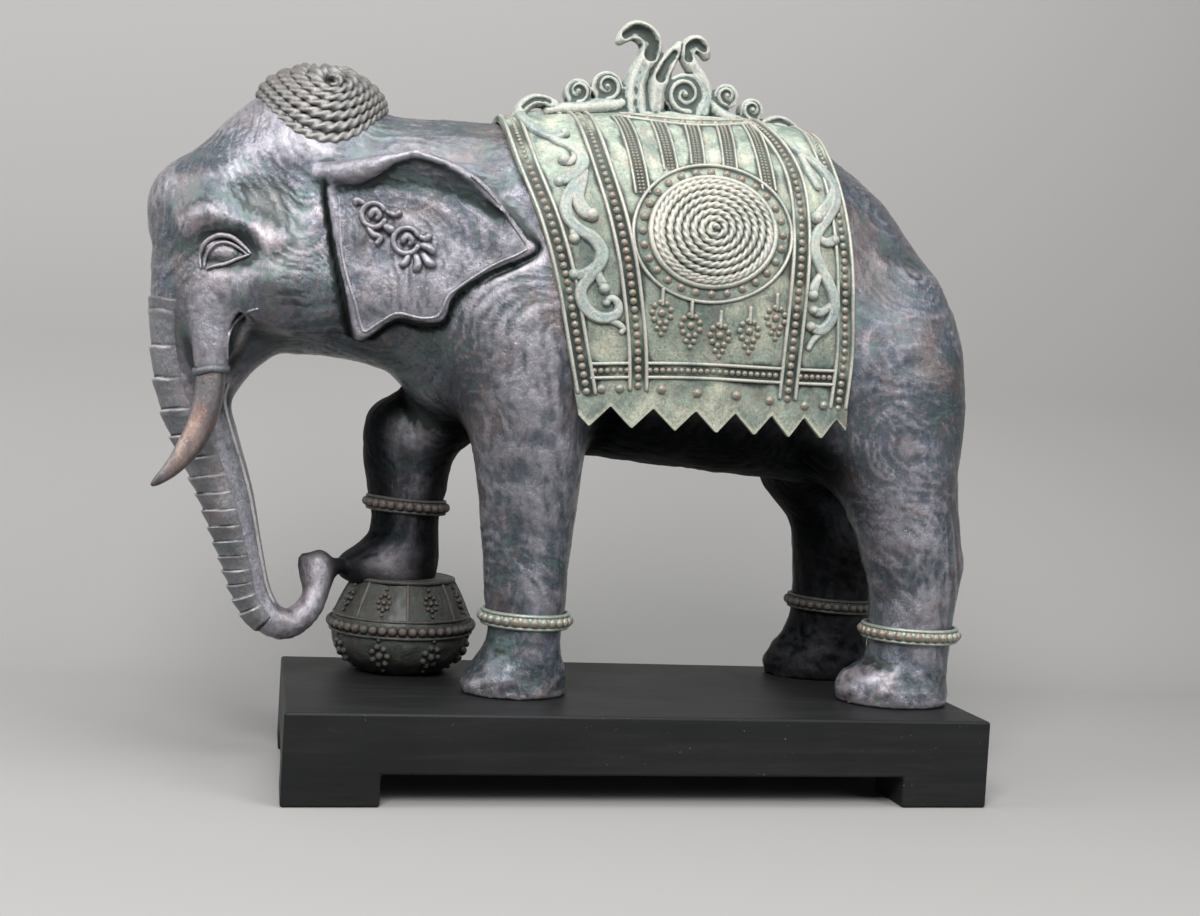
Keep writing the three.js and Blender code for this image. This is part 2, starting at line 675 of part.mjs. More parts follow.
const joined = [
  { part: hindLegNear, fillet: 22 },
  { part: hindLegFar, fillet: 22 },
  { part: foreLegNear, fillet: 20 },
  { part: foreLegFar, fillet: 18 },
  { part: kneeOfRaisedLeg, fillet: 14 },
  { part: skullDome, fillet: 14 },
  { part: cheek, fillet: 16 },
  { part: tuskSheath, fillet: 12 },
  { part: brow, fillet: 12 },
];
const hollowed = [
  { part: templeHollow, fillet: 16 },
  { part: eyeHollow, fillet: 8 },
  { part: cheekGroove, fillet: 4 },
];
const added = [
  { part: eyeBall, fillet: 1.5 },
  { part: trunkTipLeft, fillet: 5 },
  { part: trunkTipRight, fillet: 5 },
  { part: { box: earBox, distance: earDistance }, fillet: 3 },
  { part: earFold, fillet: 4 },
  { part: tail, fillet: 5 },
  { part: { box: capBox, distance: capDistance }, fillet: 1.5 },
  { part: { box: clothBox, distance: clothDistance }, fillet: 1.5 },
  { part: crestBase, fillet: 4 },
  ...crest.map((part) => ({ part, fillet: 2 })),
  { part: { box: potBox, distance: potDistance }, fillet: 4 },
  { part: potRing, fillet: 2 },
  ...anklets.map((part) => ({ part, fillet: 2 })),
];
const hollowedLast = [
  { part: earFoldHollow, fillet: 4 },
];

/** At least how far a point is from a box. */
function boxGap(box, x, y, z) {
  const dx = Math.max(box.min.x - x, x - box.max.x, 0);
  const dy = Math.max(box.min.y - y, y - box.max.y, 0);
  const dz = Math.max(box.min.z - z, z - box.max.z, 0);
  return span(dx, dy, dz);
}

/** Joins each part to d where it is near enough to matter. */
function joinAll(parts, d, x, y, z) {
  let result = d;
  for (const { part, fillet } of parts) {
    if (boxGap(part.box, x, y, z) < Math.max(result, 0) + fillet) {
      result = smoothMin(result, part.distance(x, y, z), fillet);
    }
  }
  return result;
}

/** Hollows each part out of d where it is near enough to matter. */
function hollowAll(parts, d, x, y, z) {
  let result = d;
  for (const { part, fillet } of parts) {
    if (boxGap(part.box, x, y, z) < fillet) {
      result = smoothMax(result, -part.distance(x, y, z), fillet);
    }
  }
  return result;
}

/** The field of the whole figure in drawn units. */
function figureDistance(x, y, z) {
  let d = joinAll(joined, bodyDistance(x, y, z), x, y, z);
  if (boxGap(trunk.box, x, y, z) < Math.max(d, 0) + 16) {
    d = smoothMin(d, trunk.distance(x, y, z) - trunkBands(x, z), 14);
  }
  d = hollowAll(hollowed, d, x, y, z);
  d = joinAll(added, d, x, y, z);
  return hollowAll(hollowedLast, d, x, y, z);
}

// Meshing

const FIGURE_MIN = [-348, -104, -16];
const FIGURE_MAX = [272, 104, 478];
const SOLE_CUT = [1000, 600, 100];
const BLOCK = 4;
const FIELD_STRETCH = 1.45;

/** Samples a field on a grid, leaving out blocks that are far from its surface. */
function sampleField(field, min, max, step) {
  const size = min.map((low, axis) => Math.ceil((max[axis] - low) / step / BLOCK) * BLOCK + 1);
  const [nx, ny, nz] = size;
  const values = new Float32Array(nx * ny * nz);
  const reach = BLOCK * step * 0.87 * FIELD_STRETCH;
  for (let bk = 0; bk < nz - 1; bk += BLOCK) {
    for (let bj = 0; bj < ny - 1; bj += BLOCK) {
      for (let bi = 0; bi < nx - 1; bi += BLOCK) {
        const half = (BLOCK * step) / 2;
        const middle = field(
          min[0] + bi * step + half,
          min[1] + bj * step + half,
          min[2] + bk * step + half,
        );
        const near = Math.abs(middle) < reach;
        for (let k = bk; k <= bk + BLOCK; k += 1) {
          for (let j = bj; j <= bj + BLOCK; j += 1) {
            for (let i = bi; i <= bi + BLOCK; i += 1) {
              const at = (k * ny + j) * nx + i;
              if (near) {
                const d = field(min[0] + i * step, min[1] + j * step, min[2] + k * step);
                values[at] = d === 0 ? 1e-4 : d;
              } else if (values[at] === 0) {
                values[at] = middle;
              }
            }
          }
        }
      }
    }
  }
  return { values, nx, ny, nz };
}

/** Which of the 256 ways to fill a cell's corners part its inside or its outside. */
function findSplitCells() {
  const joinedUp = (mask) => {
    let seen = mask & -mask;
    for (let pass = 0; pass < 4; pass += 1) {
      for (let corner = 0; corner < 8; corner += 1) {
        if ((seen >> corner) & 1) {
          seen |= ((1 << (corner ^ 1)) | (1 << (corner ^ 2)) | (1 << (corner ^ 4))) & mask;
        }
      }
    }
    return seen === mask;
  };
  return Array.from({ length: 256 }, (_, mask) => !joinedUp(mask) || !joinedUp(255 ^ mask));
}

/** Fills corners until no cell is split, so that the mesh stays one closed sheet. */
function mendSplitCells({ values, nx, ny, nz }) {
  const split = findSplitCells();
  const offsets = Array.from({ length: 8 }, (_, c) => ((c >> 2) * ny + ((c >> 1) & 1)) * nx + (c & 1));
  const facePairs = [[1, 2], [1, 4], [2, 4]];
  let changed = true;
  while (changed) {
    changed = false;
    for (let k = 0; k < nz - 1; k += 1) {
      for (let j = 0; j < ny - 1; j += 1) {
        for (let i = 0; i < nx - 1; i += 1) {
          const base = (k * ny + j) * nx + i;
          let mask = 0;
          for (let c = 0; c < 8; c += 1) {
            mask |= values[base + offsets[c]] < 0 ? 1 << c : 0;
          }
          if (mask === 0 || mask === 255) {
            continue;
          }
          let bad = split[mask];
          for (const [a, b] of facePairs) {
            for (const start of [0, 7 ^ a ^ b]) {
              const bit = (c) => (mask >> c) & 1;
              const same = bit(start) === bit(start ^ a ^ b) && bit(start ^ a) === bit(start ^ b);
              bad = bad || (same && bit(start) !== bit(start ^ a));
            }
          }
          if (bad) {
            let best = -1;
            for (let c = 0; c < 8; c += 1) {
              const value = values[base + offsets[c]];
              if (value > 0 && (best < 0 || value < values[base + offsets[best]])) {
                best = c;
              }
            }
            values[base + offsets[best]] = -1e-3;
            changed = true;
          }
        }
      }
    }
  }
}

/** Meshes a sampled field with one vertex in each cell that the surface crosses. */
function surfaceOf(field, min, max, step) {
  const grid = sampleField(field, min, max, step);
  mendSplitCells(grid);
  const { values, nx, ny, nz } = grid;
  const vertexOf = new Int32Array(values.length).fill(-1);
  const positions = [];
  const offsets = Array.from({ length: 8 }, (_, c) => ((c >> 2) * ny + ((c >> 1) & 1)) * nx + (c & 1));
  for (let k = 0; k < nz - 1; k += 1) {
    for (let j = 0; j < ny - 1; j += 1) {
      for (let i = 0; i < nx - 1; i += 1) {
        const base = (k * ny + j) * nx + i;
        let count = 0;
        const sum = [0, 0, 0];
        for (let c = 0; c < 8; c += 1) {
          for (let axis = 0; axis < 3; axis += 1) {
            const other = c | (1 << axis);
            const a = values[base + offsets[c]];
            const b = values[base + offsets[other]];
            if (other !== c && a < 0 !== b < 0) {
              const t = a / (a - b);
              sum[0] += (c & 1) + (axis === 0 ? t : 0);
              sum[1] += ((c >> 1) & 1) + (axis === 1 ? t : 0);
              sum[2] += (c >> 2) + (axis === 2 ? t : 0);
              count += 1;
            }
          }
        }
        if (count > 0) {
          vertexOf[base] = positions.length / 3;
          const cell = [i, j, k];
          for (let axis = 0; axis < 3; axis += 1) {
            positions.push(min[axis] + (cell[axis] + sum[axis] / count) * step);
          }
        }
      }
    }
  }
  return { positions, faces: facesOf(grid, vertexOf) };
}

/** Two triangles across each grid edge that the surface crosses. */
function facesOf({ values, nx, ny, nz }, vertexOf) {
  const faces = [];
  const strides = [1, nx, nx * ny];
  for (let k = 1; k < nz - 1; k += 1) {
    for (let j = 1; j < ny - 1; j += 1) {
      for (let i = 1; i < nx - 1; i += 1) {
        const at = (k * ny + j) * nx + i;
        for (let axis = 0; axis < 3; axis += 1) {
          const inside = values[at] < 0;
          if (inside === values[at + strides[axis]] < 0) {
            continue;
          }
          const u = strides[(axis + 1) % 3];
          const v = strides[(axis + 2) % 3];
          const quad = [at - u - v, at - v, at, at - u].map((cell) => vertexOf[cell]);
          if (!inside) {
            quad.reverse();
          }
          faces.push(quad[0], quad[1], quad[2], quad[0], quad[2], quad[3]);
        }
      }
    }
  }
  return faces;
}

// Thinning: the edge that moves the surface least is closed up, over and over

const EVEN_SPACING = 1e-3;
const SHOWN_CARVING = 3;

/** A binary heap of edges by cost. */
class EdgeHeap {
  constructor() {
    this.items = [];
  }

  push(item) {
    const { items } = this;
    items.push(item);
    let at = items.length - 1;
    while (at > 0) {
      const parent = (at - 1) >> 1;
      if (items[parent].cost <= item.cost) {
        break;
      }
      items[at] = items[parent];
      at = parent;
    }
    items[at] = item;
  }

  pop() {
    const { items } = this;
    const top = items[0];
    const last = items.pop();
    if (items.length === 0) {
      return top;
    }
    let at = 0;
    for (;;) {
      let child = at * 2 + 1;
      if (child >= items.length) {
        break;
      }
      if (child + 1 < items.length && items[child + 1].cost < items[child].cost) {
        child += 1;
      }
      if (items[child].cost >= last.cost) {
        break;
      }
      items[at] = items[child];
      at = child;
    }
    items[at] = last;
    return top;
  }
}

/** Squared distance to the planes of a vertex, as the ten terms of its form. */
function addPlane(form, at, nx, ny, nz, d, weight) {
  const n = [nx, ny, nz, d];
  let term = at * 10;
  for (let a = 0; a < 4; a += 1) {
    for (let b = a; b < 4; b += 1) {
      form[term] += weight * n[a] * n[b];
      term += 1;
    }
  }
}

/** The place that keeps closest to all the planes of an edge's two ends. */
function bestPlace(q, fallback) {
  const [aa, ab, ac, ad, bb, bc, bd, cc, cd] = q;
  const m00 = bb * cc - bc * bc;
  const m01 = ac * bc - ab * cc;
  const m02 = ab * bc - ac * bb;
  const det = aa * m00 + ab * m01 + ac * m02;
  const trace = aa + bb + cc;
  if (Math.abs(det) < 1e-4 * trace ** 3) {
    return fallback;
  }
  const m11 = aa * cc - ac * ac;
  const m12 = ab * ac - aa * bc;
  const m22 = aa * bb - ab * ab;
  return [
    -(m00 * ad + m01 * bd + m02 * cd) / det,
    -(m01 * ad + m11 * bd + m12 * cd) / det,
    -(m02 * ad + m12 * bd + m22 * cd) / det,
  ];
}

/** What a place costs under a form. */
function costAt(q, [x, y, z]) {
  return (
    q[0] * x * x + 2 * q[1] * x * y + 2 * q[2] * x * z + 2 * q[3] * x + q[4] * y * y
    + 2 * q[5] * y * z + 2 * q[6] * y + q[7] * z * z + 2 * q[8] * z + q[9]
  );
}

/** How closely the thinned surface is held: most on the carved cloth that shows. */
function carvingWeight(x, y, z) {
  const cloth = x > -115 && x < 134 && z > HEM_Z - 6 && y < -20;
  const crown = z > 400 || (x < -182 && z > CAP_LOW_Z);
  return cloth || crown ? SHOWN_CARVING : 1;
}

/** Thins a closed mesh to about the given number of facets. */
function thinned({ positions, faces }, wanted) {
  const place = Float64Array.from(positions);
  const tri = Int32Array.from(faces);
  const vertexCount = place.length / 3;
  const forms = new Float64Array(vertexCount * 10);
  const stamp = new Int32Array(vertexCount);
  const around = Array.from({ length: vertexCount }, () => []);
  let alive = tri.length / 3;
  for (let f = 0; f < alive; f += 1) {
    const [a, b, c] = [tri[f * 3], tri[f * 3 + 1], tri[f * 3 + 2]];
    const n = faceNormal(place, a, b, c);
    const size = Math.hypot(...n);
    const [x, y, z] = n.map((value) => value / (size || 1));
    const d = -(x * place[a * 3] + y * place[a * 3 + 1] + z * place[a * 3 + 2]);
    const weight = size * carvingWeight(place[a * 3], place[a * 3 + 1], place[a * 3 + 2]);
    for (const v of [a, b, c]) {
      addPlane(forms, v, x, y, z, d, weight);
      around[v].push(f);
    }
  }
  const heap = new EdgeHeap();
  const q = new Float64Array(10);
  const offer = (a, b) => {
    for (let term = 0; term < 10; term += 1) {
      q[term] = forms[a * 10 + term] + forms[b * 10 + term];
    }
    const middle = [0, 1, 2].map((axis) => (place[a * 3 + axis] + place[b * 3 + axis]) / 2);
    const length2 = [0, 1, 2]
      .reduce((sum, axis) => sum + (place[a * 3 + axis] - place[b * 3 + axis]) ** 2, 0);
    let spot = bestPlace(q, middle);
    if (spot.reduce((sum, value, axis) => sum + (value - middle[axis]) ** 2, 0) > length2) {
      spot = middle;
    }
    const cost = costAt(q, spot) + EVEN_SPACING * length2;
    heap.push({ cost, a, b, spot, stampA: stamp[a], stampB: stamp[b] });
  };
  for (let f = 0; f < alive; f += 1) {
    for (let side = 0; side < 3; side += 1) {
      const a = tri[f * 3 + side];
      const b = tri[f * 3 + ((side + 1) % 3)];
      if (a < b) {
        offer(a, b);
      }
    }
  }
  while (alive > wanted && heap.items.length > 0) {
    const { a, b, spot, stampA, stampB } = heap.pop();
    if (stamp[a] !== stampA || stamp[b] !== stampB || !mayClose(place, tri, around, a, b, spot)) {
      continue;
    }
    alive -= closeEdge(place, tri, around, forms, stamp, a, b, spot);
    for (const v of ringOf(tri, around[a], a)) {
      offer(a, v);
    }
  }
  return { place, tri, around };
}

/** Normal of a triangle, as long as twice its area. */
function faceNormal(place, a, b, c) {
  const ux = place[b * 3] - place[a * 3];
  const uy = place[b * 3 + 1] - place[a * 3 + 1];
  const uz = place[b * 3 + 2] - place[a * 3 + 2];
  const vx = place[c * 3] - place[a * 3];
  const vy = place[c * 3 + 1] - place[a * 3 + 1];
  const vz = place[c * 3 + 2] - place[a * 3 + 2];
  return [uy * vz - uz * vy, uz * vx - ux * vz, ux * vy - uy * vx];
}

/** The vertices next to one vertex. */
function ringOf(tri, faces, vertex) {
  const found = new Set();
  for (const f of faces) {
    for (let side = 0; side < 3; side += 1) {
      found.add(tri[f * 3 + side]);
    }
  }
  found.delete(vertex);
  return found;
}

/** Whether an edge can close with no pinch, no turned facet and no sliver. */
function mayClose(place, tri, around, a, b, spot) {
  const ringA = ringOf(tri, around[a], a);
  const ringB = ringOf(tri, around[b], b);
  let shared = 0;
  for (const v of ringA) {
    shared += ringB.has(v) ? 1 : 0;
  }
  if (shared !== 2 || ringA.size + ringB.size < 9) {
    return false;
  }
  for (const [own, other] of [[a, b], [b, a]]) {
    for (const f of around[own]) {
      const corners = [tri[f * 3], tri[f * 3 + 1], tri[f * 3 + 2]];
      if (corners.includes(other)) {
        continue;
      }
      const before = faceNormal(place, ...corners);
      const kept = [place[own * 3], place[own * 3 + 1], place[own * 3 + 2]];
      place.set(spot, own * 3);
      const after = faceNormal(place, ...corners);
      let longest = 0;
      for (let side = 0; side < 3; side += 1) {
        const p = corners[side] * 3;
        const r = corners[(side + 1) % 3] * 3;
        const gap = (place[p] - place[r]) ** 2
          + (place[p + 1] - place[r + 1]) ** 2
          + (place[p + 2] - place[r + 2]) ** 2;
        longest = Math.max(longest, gap);
      }
      place.set(kept, own * 3);
      const dot = before[0] * after[0] + before[1] * after[1] + before[2] * after[2];
      const sizes = Math.hypot(...before) * Math.hypot(...after);
      if (dot < 0.25 * sizes || Math.hypot(...after) < 0.06 * longest) {
        return false;
      }
    }
  }
  return true;
}

/** Moves b and a to one spot and drops the facets between them. */
function closeEdge(place, tri, around, forms, stamp, a, b, spot) {
  let dropped = 0;
  const keep = [];
  for (const f of around[b]) {
    const side = [0, 1, 2].find((n) => tri[f * 3 + n] === b);
    const other = [0, 1, 2].map((n) => tri[f * 3 + n]);
    if (other.includes(a)) {
      dropped += 1;
      for (const v of other) {
        if (v !== b) {
          around[v] = around[v].filter((face) => face !== f);
        }
      }
      tri[f * 3] = -1;
    } else {
      tri[f * 3 + side] = a;
      keep.push(f);
    }
  }
  around[a] = around[a].concat(keep);
  around[b] = [];
  place.set(spot, a * 3);
  for (let term = 0; term < 10; term += 1) {
    forms[a * 10 + term] += forms[b * 10 + term];
  }
  stamp[a] += 1;
  stamp[b] += 1;
  return dropped;
}

/** The thinned mesh's largest piece, as an indexed geometry in millimetres. */
function geometryOf({ place, tri, around }) {
  const piece = new Int32Array(place.length / 3).fill(-1);
  let best = [];
  for (let seed = 0; seed < piece.length; seed += 1) {
    if (piece[seed] >= 0 || around[seed].length === 0) {
      continue;
    }
    const stack = [seed];
    const found = [];
    piece[seed] = seed;
    while (stack.length > 0) {
      const v = stack.pop();
      found.push(v);
      for (const n of ringOf(tri, around[v], v)) {
        if (piece[n] < 0) {
          piece[n] = seed;
          stack.push(n);
        }
      }
    }
    best = found.length > best.length ? found : best;
  }
  const number = new Map(best.map((v, i) => [v, i]));
  const positions = best.flatMap((v) => [0, 1, 2].map((axis) => place[v * 3 + axis] * UNIT));
  const index = [];
  for (let f = 0; f < tri.length / 3; f += 1) {
    if (tri[f * 3] >= 0 && number.has(tri[f * 3])) {
      index.push(number.get(tri[f * 3]), number.get(tri[f * 3 + 1]), number.get(tri[f * 3 + 2]));
    }
  }
  const geometry = new THREE.BufferGeometry();
  geometry.setAttribute("position", new THREE.Float32BufferAttribute(positions, 3));
  geometry.setIndex(index);
  return geometry;
}

// Solids that join and cut

const wasm = await ManifoldModule();
wasm.setup();

/** A closed geometry as a solid. */
function solidOf(geometry) {
  const bare = geometry.clone();
  bare.deleteAttribute("normal");
  bare.deleteAttribute("uv");
  const merged = mergeVertices(bare, 1e-3);
  return new wasm.Manifold(new wasm.Mesh({
    numProp: 3,
    vertProperties: Float32Array.from(merged.attributes.position.array),
    triVerts: Uint32Array.from(merged.index.array),
  }));
}

/** A solid's faces as a geometry with flat facets. */
function geometryOfSolid(solid) {
  const mesh = solid.getMesh();
  const geometry = new THREE.BufferGeometry();
  geometry.setAttribute("position", new THREE.Float32BufferAttribute(mesh.vertProperties, 3));
  geometry.setIndex([...mesh.triVerts]);
  geometry.computeVertexNormals();
  return geometry;
}

const materials = {
  patina: new THREE.MeshStandardMaterial({ color: 0x4c5257, roughness: 0.48, metalness: 0.35 }),
  copper: new THREE.MeshStandardMaterial({ color: 0x5d4038, roughness: 0.42, metalness: 0.4 }),
  black: new THREE.MeshStandardMaterial({ color: 0x17171a, roughness: 0.42, metalness: 0 }),
};

/** A named mesh of one sub-part. */
function subPart(name, geometry, material) {
  const mesh = new THREE.Mesh(geometry, material);
  mesh.name = name;
  return mesh;
}

/** A tapered round bar as a geometry, grown by an even clearance. */
function tuskGeometry(side, clearance) {
  const path = alongCurve(tuskPath, TUSK_ROWS);
  const sides = TUSK_SIDES;
  const positions = [];
  const index = [];
  const rows = path.map(([x, y, z, r], i) => {
    const before = path[Math.max(i - 1, 0)];
    const after = path[Math.min(i + 1, path.length - 1)];
    const along = new THREE.Vector3(after[0] - before[0], after[1] - before[1], after[2] - before[2]);
    along.normalize();
    const across = new THREE.Vector3(0, 1, 0).cross(along).normalize();
    const up = along.clone().cross(across);
    return { centre: new THREE.Vector3(x, y, z), along, across, up, r };
  });
  rows[0].centre.addScaledVector(rows[0].along, -clearance / UNIT);
  for (const { centre, across, up, r } of rows) {
    for (let n = 0; n < sides; n += 1) {
      const turn = (2 * Math.PI * n) / sides;
      const spot = centre.clone();
      spot.addScaledVector(across, (r + clearance / UNIT) * Math.cos(turn));
      spot.addScaledVector(up, (r + clearance / UNIT) * Math.sin(turn));
      positions.push(spot.x * UNIT, spot.y * UNIT * side, spot.z * UNIT);
    }
  }
  const root = positions.length / 3;
  const { centre: first } = rows[0];
  const last = rows[rows.length - 1];
  const end = last.centre.clone().addScaledVector(last.along, last.r * 0.7);
  positions.push(first.x * UNIT, first.y * UNIT * side, first.z * UNIT);
  positions.push(end.x * UNIT, end.y * UNIT * side, end.z * UNIT);
  const face = side > 0 ? (a, b, c) => index.push(a, b, c) : (a, b, c) => index.push(a, c, b);
  for (let i = 0; i < rows.length - 1; i += 1) {
    for (let n = 0; n < sides; n += 1) {
      const a = i * sides + n;
      const b = i * sides + ((n + 1) % sides);
      face(a, b, a + sides);
      face(b, b + sides, a + sides);
    }
  }
  for (let n = 0; n < sides; n += 1) {
    const next = (n + 1) % sides;
    face(root, next, n);
    face((rows.length - 1) * sides + n, (rows.length - 1) * sides + next, root + 1);
  }
  const geometry = new THREE.BufferGeometry();
  geometry.setAttribute("position", new THREE.Float32BufferAttribute(positions, 3));
  geometry.setIndex(index);
  return geometry;
}

/** The elephant with its soles cut flat and its tusk sockets. */
function elephantGeometry() {
  const rough = surfaceOf(figureDistance, FIGURE_MIN, FIGURE_MAX, GRID_STEP);
  const thin = thinned(rough, FIGURE_FACETS);
  let solid = solidOf(geometryOf(thin));
  const [length, width, depth] = SOLE_CUT;
  const below = new THREE.BoxGeometry(length, width, depth).translate(0, 0, -depth / 2);
  solid = solid.subtract(solidOf(below));
  for (const side of [-1, 1]) {
    solid = solid.subtract(solidOf(tuskGeometry(side, SOCKET_CLEARANCE)));
  }
  return geometryOfSolid(solid);
}

/** The plinth: a slab on four corner feet, with softened upper edges. */
function plinthGeometry() {
  const half = PLINTH_LENGTH / 2;
  const depth = PLINTH_DEPTH / 2;
  const r = PLINTH_EDGE_ROUND;
  const plan = new THREE.Shape();
  plan.moveTo(-half, -depth + 2 * r);
  plan.absarc(-half + 2 * r, -depth + 2 * r, 2 * r, Math.PI, Math.PI * 1.5);
  plan.absarc(half - 2 * r, -depth + 2 * r, 2 * r, Math.PI * 1.5, Math.PI * 2);
  plan.absarc(half - 2 * r, depth - 2 * r, 2 * r, 0, Math.PI / 2);
  plan.absarc(-half + 2 * r, depth - 2 * r, 2 * r, Math.PI / 2, Math.PI);
  const block = new THREE.ExtrudeGeometry(plan, {
    depth: PLINTH_HEIGHT - 2 * r,
    bevelEnabled: true,
    bevelThickness: r,
    bevelSize: r,
    bevelOffset: -r,
    bevelSegments: 1,
    curveSegments: 2,
  }).translate(0, 0, r);
  const gapLength = PLINTH_LENGTH - 2 * CORNER_FOOT_LENGTH;
  const gapDepth = PLINTH_DEPTH - 2 * CORNER_FOOT_DEPTH;
  const along = new THREE.BoxGeometry(gapLength, PLINTH_DEPTH + 2, 2 * RECESS_HEIGHT);
  const across = new THREE.BoxGeometry(PLINTH_LENGTH + 2, gapDepth, 2 * RECESS_HEIGHT);
  return geometryOfSolid(solidOf(block).subtract(solidOf(along)).subtract(solidOf(across)));
}

const statue = new THREE.Group();
statue.add(subPart("plinth", plinthGeometry(), materials.black));

const figure = new THREE.Group();
figure.position.set(0, FIGURE_BACK_SET, PLINTH_HEIGHT + SOLE_GAP);
figure.add(subPart("elephant", elephantGeometry(), materials.patina));
figure.add(subPart("tusk_left", tuskGeometry(-1, 0), materials.copper));
figure.add(subPart("tusk_right", tuskGeometry(1, 0), materials.copper));
statue.add(figure);

// The origin is the middle of the whole statue's box, on the surface it stands on
statue.updateMatrixWorld(true);
const whole = new THREE.Box3().setFromObject(statue, true);
const centre = whole.getCenter(new THREE.Vector3());
statue.position.set(-centre.x, -centre.y, -whole.min.z);
statue.updateMatrixWorld(true);

export default statue;
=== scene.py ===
"""The finished look of a cast resin elephant statue on a black plinth.

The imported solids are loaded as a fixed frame. Every piece of the statue is then worked out
in the statue's own millimetres and set in the frame by Setting, which reads where the solids lie.
The figure's skin is the zero level of a field, as in the solids, with finer carving on it.
"""
import logging
import math
from dataclasses import dataclass, field, replace
from enum import Enum
from typing import Callable, Iterable, Sequence

import bpy
import numpy as np
from mathutils import Matrix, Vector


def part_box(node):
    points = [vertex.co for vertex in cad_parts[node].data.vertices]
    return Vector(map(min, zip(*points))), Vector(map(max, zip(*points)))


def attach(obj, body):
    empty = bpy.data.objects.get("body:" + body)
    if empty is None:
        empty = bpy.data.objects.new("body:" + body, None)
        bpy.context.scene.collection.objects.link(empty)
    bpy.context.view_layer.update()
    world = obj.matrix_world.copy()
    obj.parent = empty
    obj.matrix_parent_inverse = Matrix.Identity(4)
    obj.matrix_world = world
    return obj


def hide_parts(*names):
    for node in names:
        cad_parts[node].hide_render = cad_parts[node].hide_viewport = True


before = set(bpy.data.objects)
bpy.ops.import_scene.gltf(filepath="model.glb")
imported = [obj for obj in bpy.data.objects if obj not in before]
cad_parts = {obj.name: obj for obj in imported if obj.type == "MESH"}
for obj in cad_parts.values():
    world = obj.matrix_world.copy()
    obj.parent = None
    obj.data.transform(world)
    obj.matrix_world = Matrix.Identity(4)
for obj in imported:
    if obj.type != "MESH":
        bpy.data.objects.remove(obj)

log = logging.getLogger("elephant statue")
Array = np.ndarray
ONE_BODY = "root"


# Setting in the frame and the photograph's view

@dataclass(frozen=True)
class Setting:
    """Where the statue's own millimetres lie in the frame, read from the solids' boxes."""

    middle_x: float
    plinth_y: float
    figure_y: float
    sole_z: float
    plinth_top: float

    @classmethod
    def from_frame(cls) -> "Setting":
        """Reads the plinth's middle, the tusks' middle plane and the soles' height.

        Returns:
            The setting.
        """
        low, high = (np.array(corner) * 1000 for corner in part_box("plinth"))
        tusks = np.array([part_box(name)[end][1] for name in ("tusk_left", "tusk_right") for end in (0, 1)])
        return cls(
            middle_x=(low[0] + high[0]) / 2,
            plinth_y=(low[1] + high[1]) / 2,
            figure_y=float(tusks.mean()) * 1000,
            sole_z=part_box("elephant")[0][2] * 1000,
            plinth_top=high[2],
        )

    def figure(self, points: Array) -> Array:
        """Figure millimetres to frame metres."""
        return (points + [self.middle_x, self.figure_y, self.sole_z]) / 1000

    def plinth(self, points: Array) -> Array:
        """Plinth millimetres, from the middle of its underside, to frame metres."""
        return (points + [self.middle_x, self.plinth_y, 0.0]) / 1000


@dataclass(frozen=True)
class PhotoView:
    """The camera that took the photograph, solved from the plinth's corners."""

    place: tuple[float, float, float] = (-255.6, -1042.2, 258.7)
    yaw: float = 12.48
    pitch: float = -2.04
    roll: float = 3.38
    focal_pixels: float = 1523.35
    image_width: float = 1200.0

    def build(self, setting: Setting) -> None:
        """Makes the camera. Its axes are the yawed and pitched ones turned by the roll.

        Args:
            setting: where the statue lies in the frame.
        """
        a, e, r = (math.radians(angle) for angle in (self.yaw, self.pitch, self.roll))
        forward = np.array([math.sin(a) * math.cos(e), math.cos(a) * math.cos(e), math.sin(e)])
        right = np.array([math.cos(a), -math.sin(a), 0.0])
        up = np.cross(right, forward)
        rolled_right = math.cos(r) * right + math.sin(r) * up
        rolled_up = -math.sin(r) * right + math.cos(r) * up
        data = bpy.data.cameras.new("photo_view")
        data.sensor_width = 36.0
        data.sensor_fit = "HORIZONTAL"
        data.lens = self.focal_pixels / self.image_width * data.sensor_width
        data.clip_start = 0.01
        camera = bpy.data.objects.new("photo_view", data)
        turn = Matrix([list(row) for row in np.stack([rolled_right, rolled_up, -forward], axis=1)])
        camera.matrix_world = Matrix.Translation(setting.plinth(np.array(self.place))) @ turn.to_4x4()
        bpy.context.scene.collection.objects.link(camera)
        bpy.context.scene.camera = camera


# Curves and blends

def ease(start: float, end: float, value: Array) -> Array:
    """From 0 at start to 1 at end with level ends: 3t squared less 2t cubed."""
    t = np.clip((value - start) / (end - start), 0.0, 1.0)
    return t * t * (3 - 2 * t)


def smooth_min(a: Array, b: Array, fillet: float) -> Array:
    """The smaller distance, less a quarter of the fillet where both are alike."""
    h = np.maximum(fillet - np.abs(a - b), 0.0) / fillet
    return np.minimum(a, b) - h * h * fillet * 0.25


def smooth_max(a: Array, b: Array, fillet: float) -> Array:
    """The larger distance, with the same fillet."""
    return -smooth_min(-a, -b, fillet)


def cubic(a: Array, b: Array, slope_a: Array, slope_b: Array, t: Array) -> Array:
    """The cubic through a and b with the given slopes, at share t between them.

    Args:
        a: the values at the start.
        b: the values at the end.
        slope_a: the slopes at the start, over the whole span.
        slope_b: the slopes at the end, over the whole span.
        t: how far between them, from 0 to 1.

    Returns:
        The values.
    """
    cubed = (2 * a - 2 * b + slope_a + slope_b) * t**3
    squared = (3 * b - 3 * a - 2 * slope_a - slope_b) * t**2
    return cubed + squared + slope_a * t + a


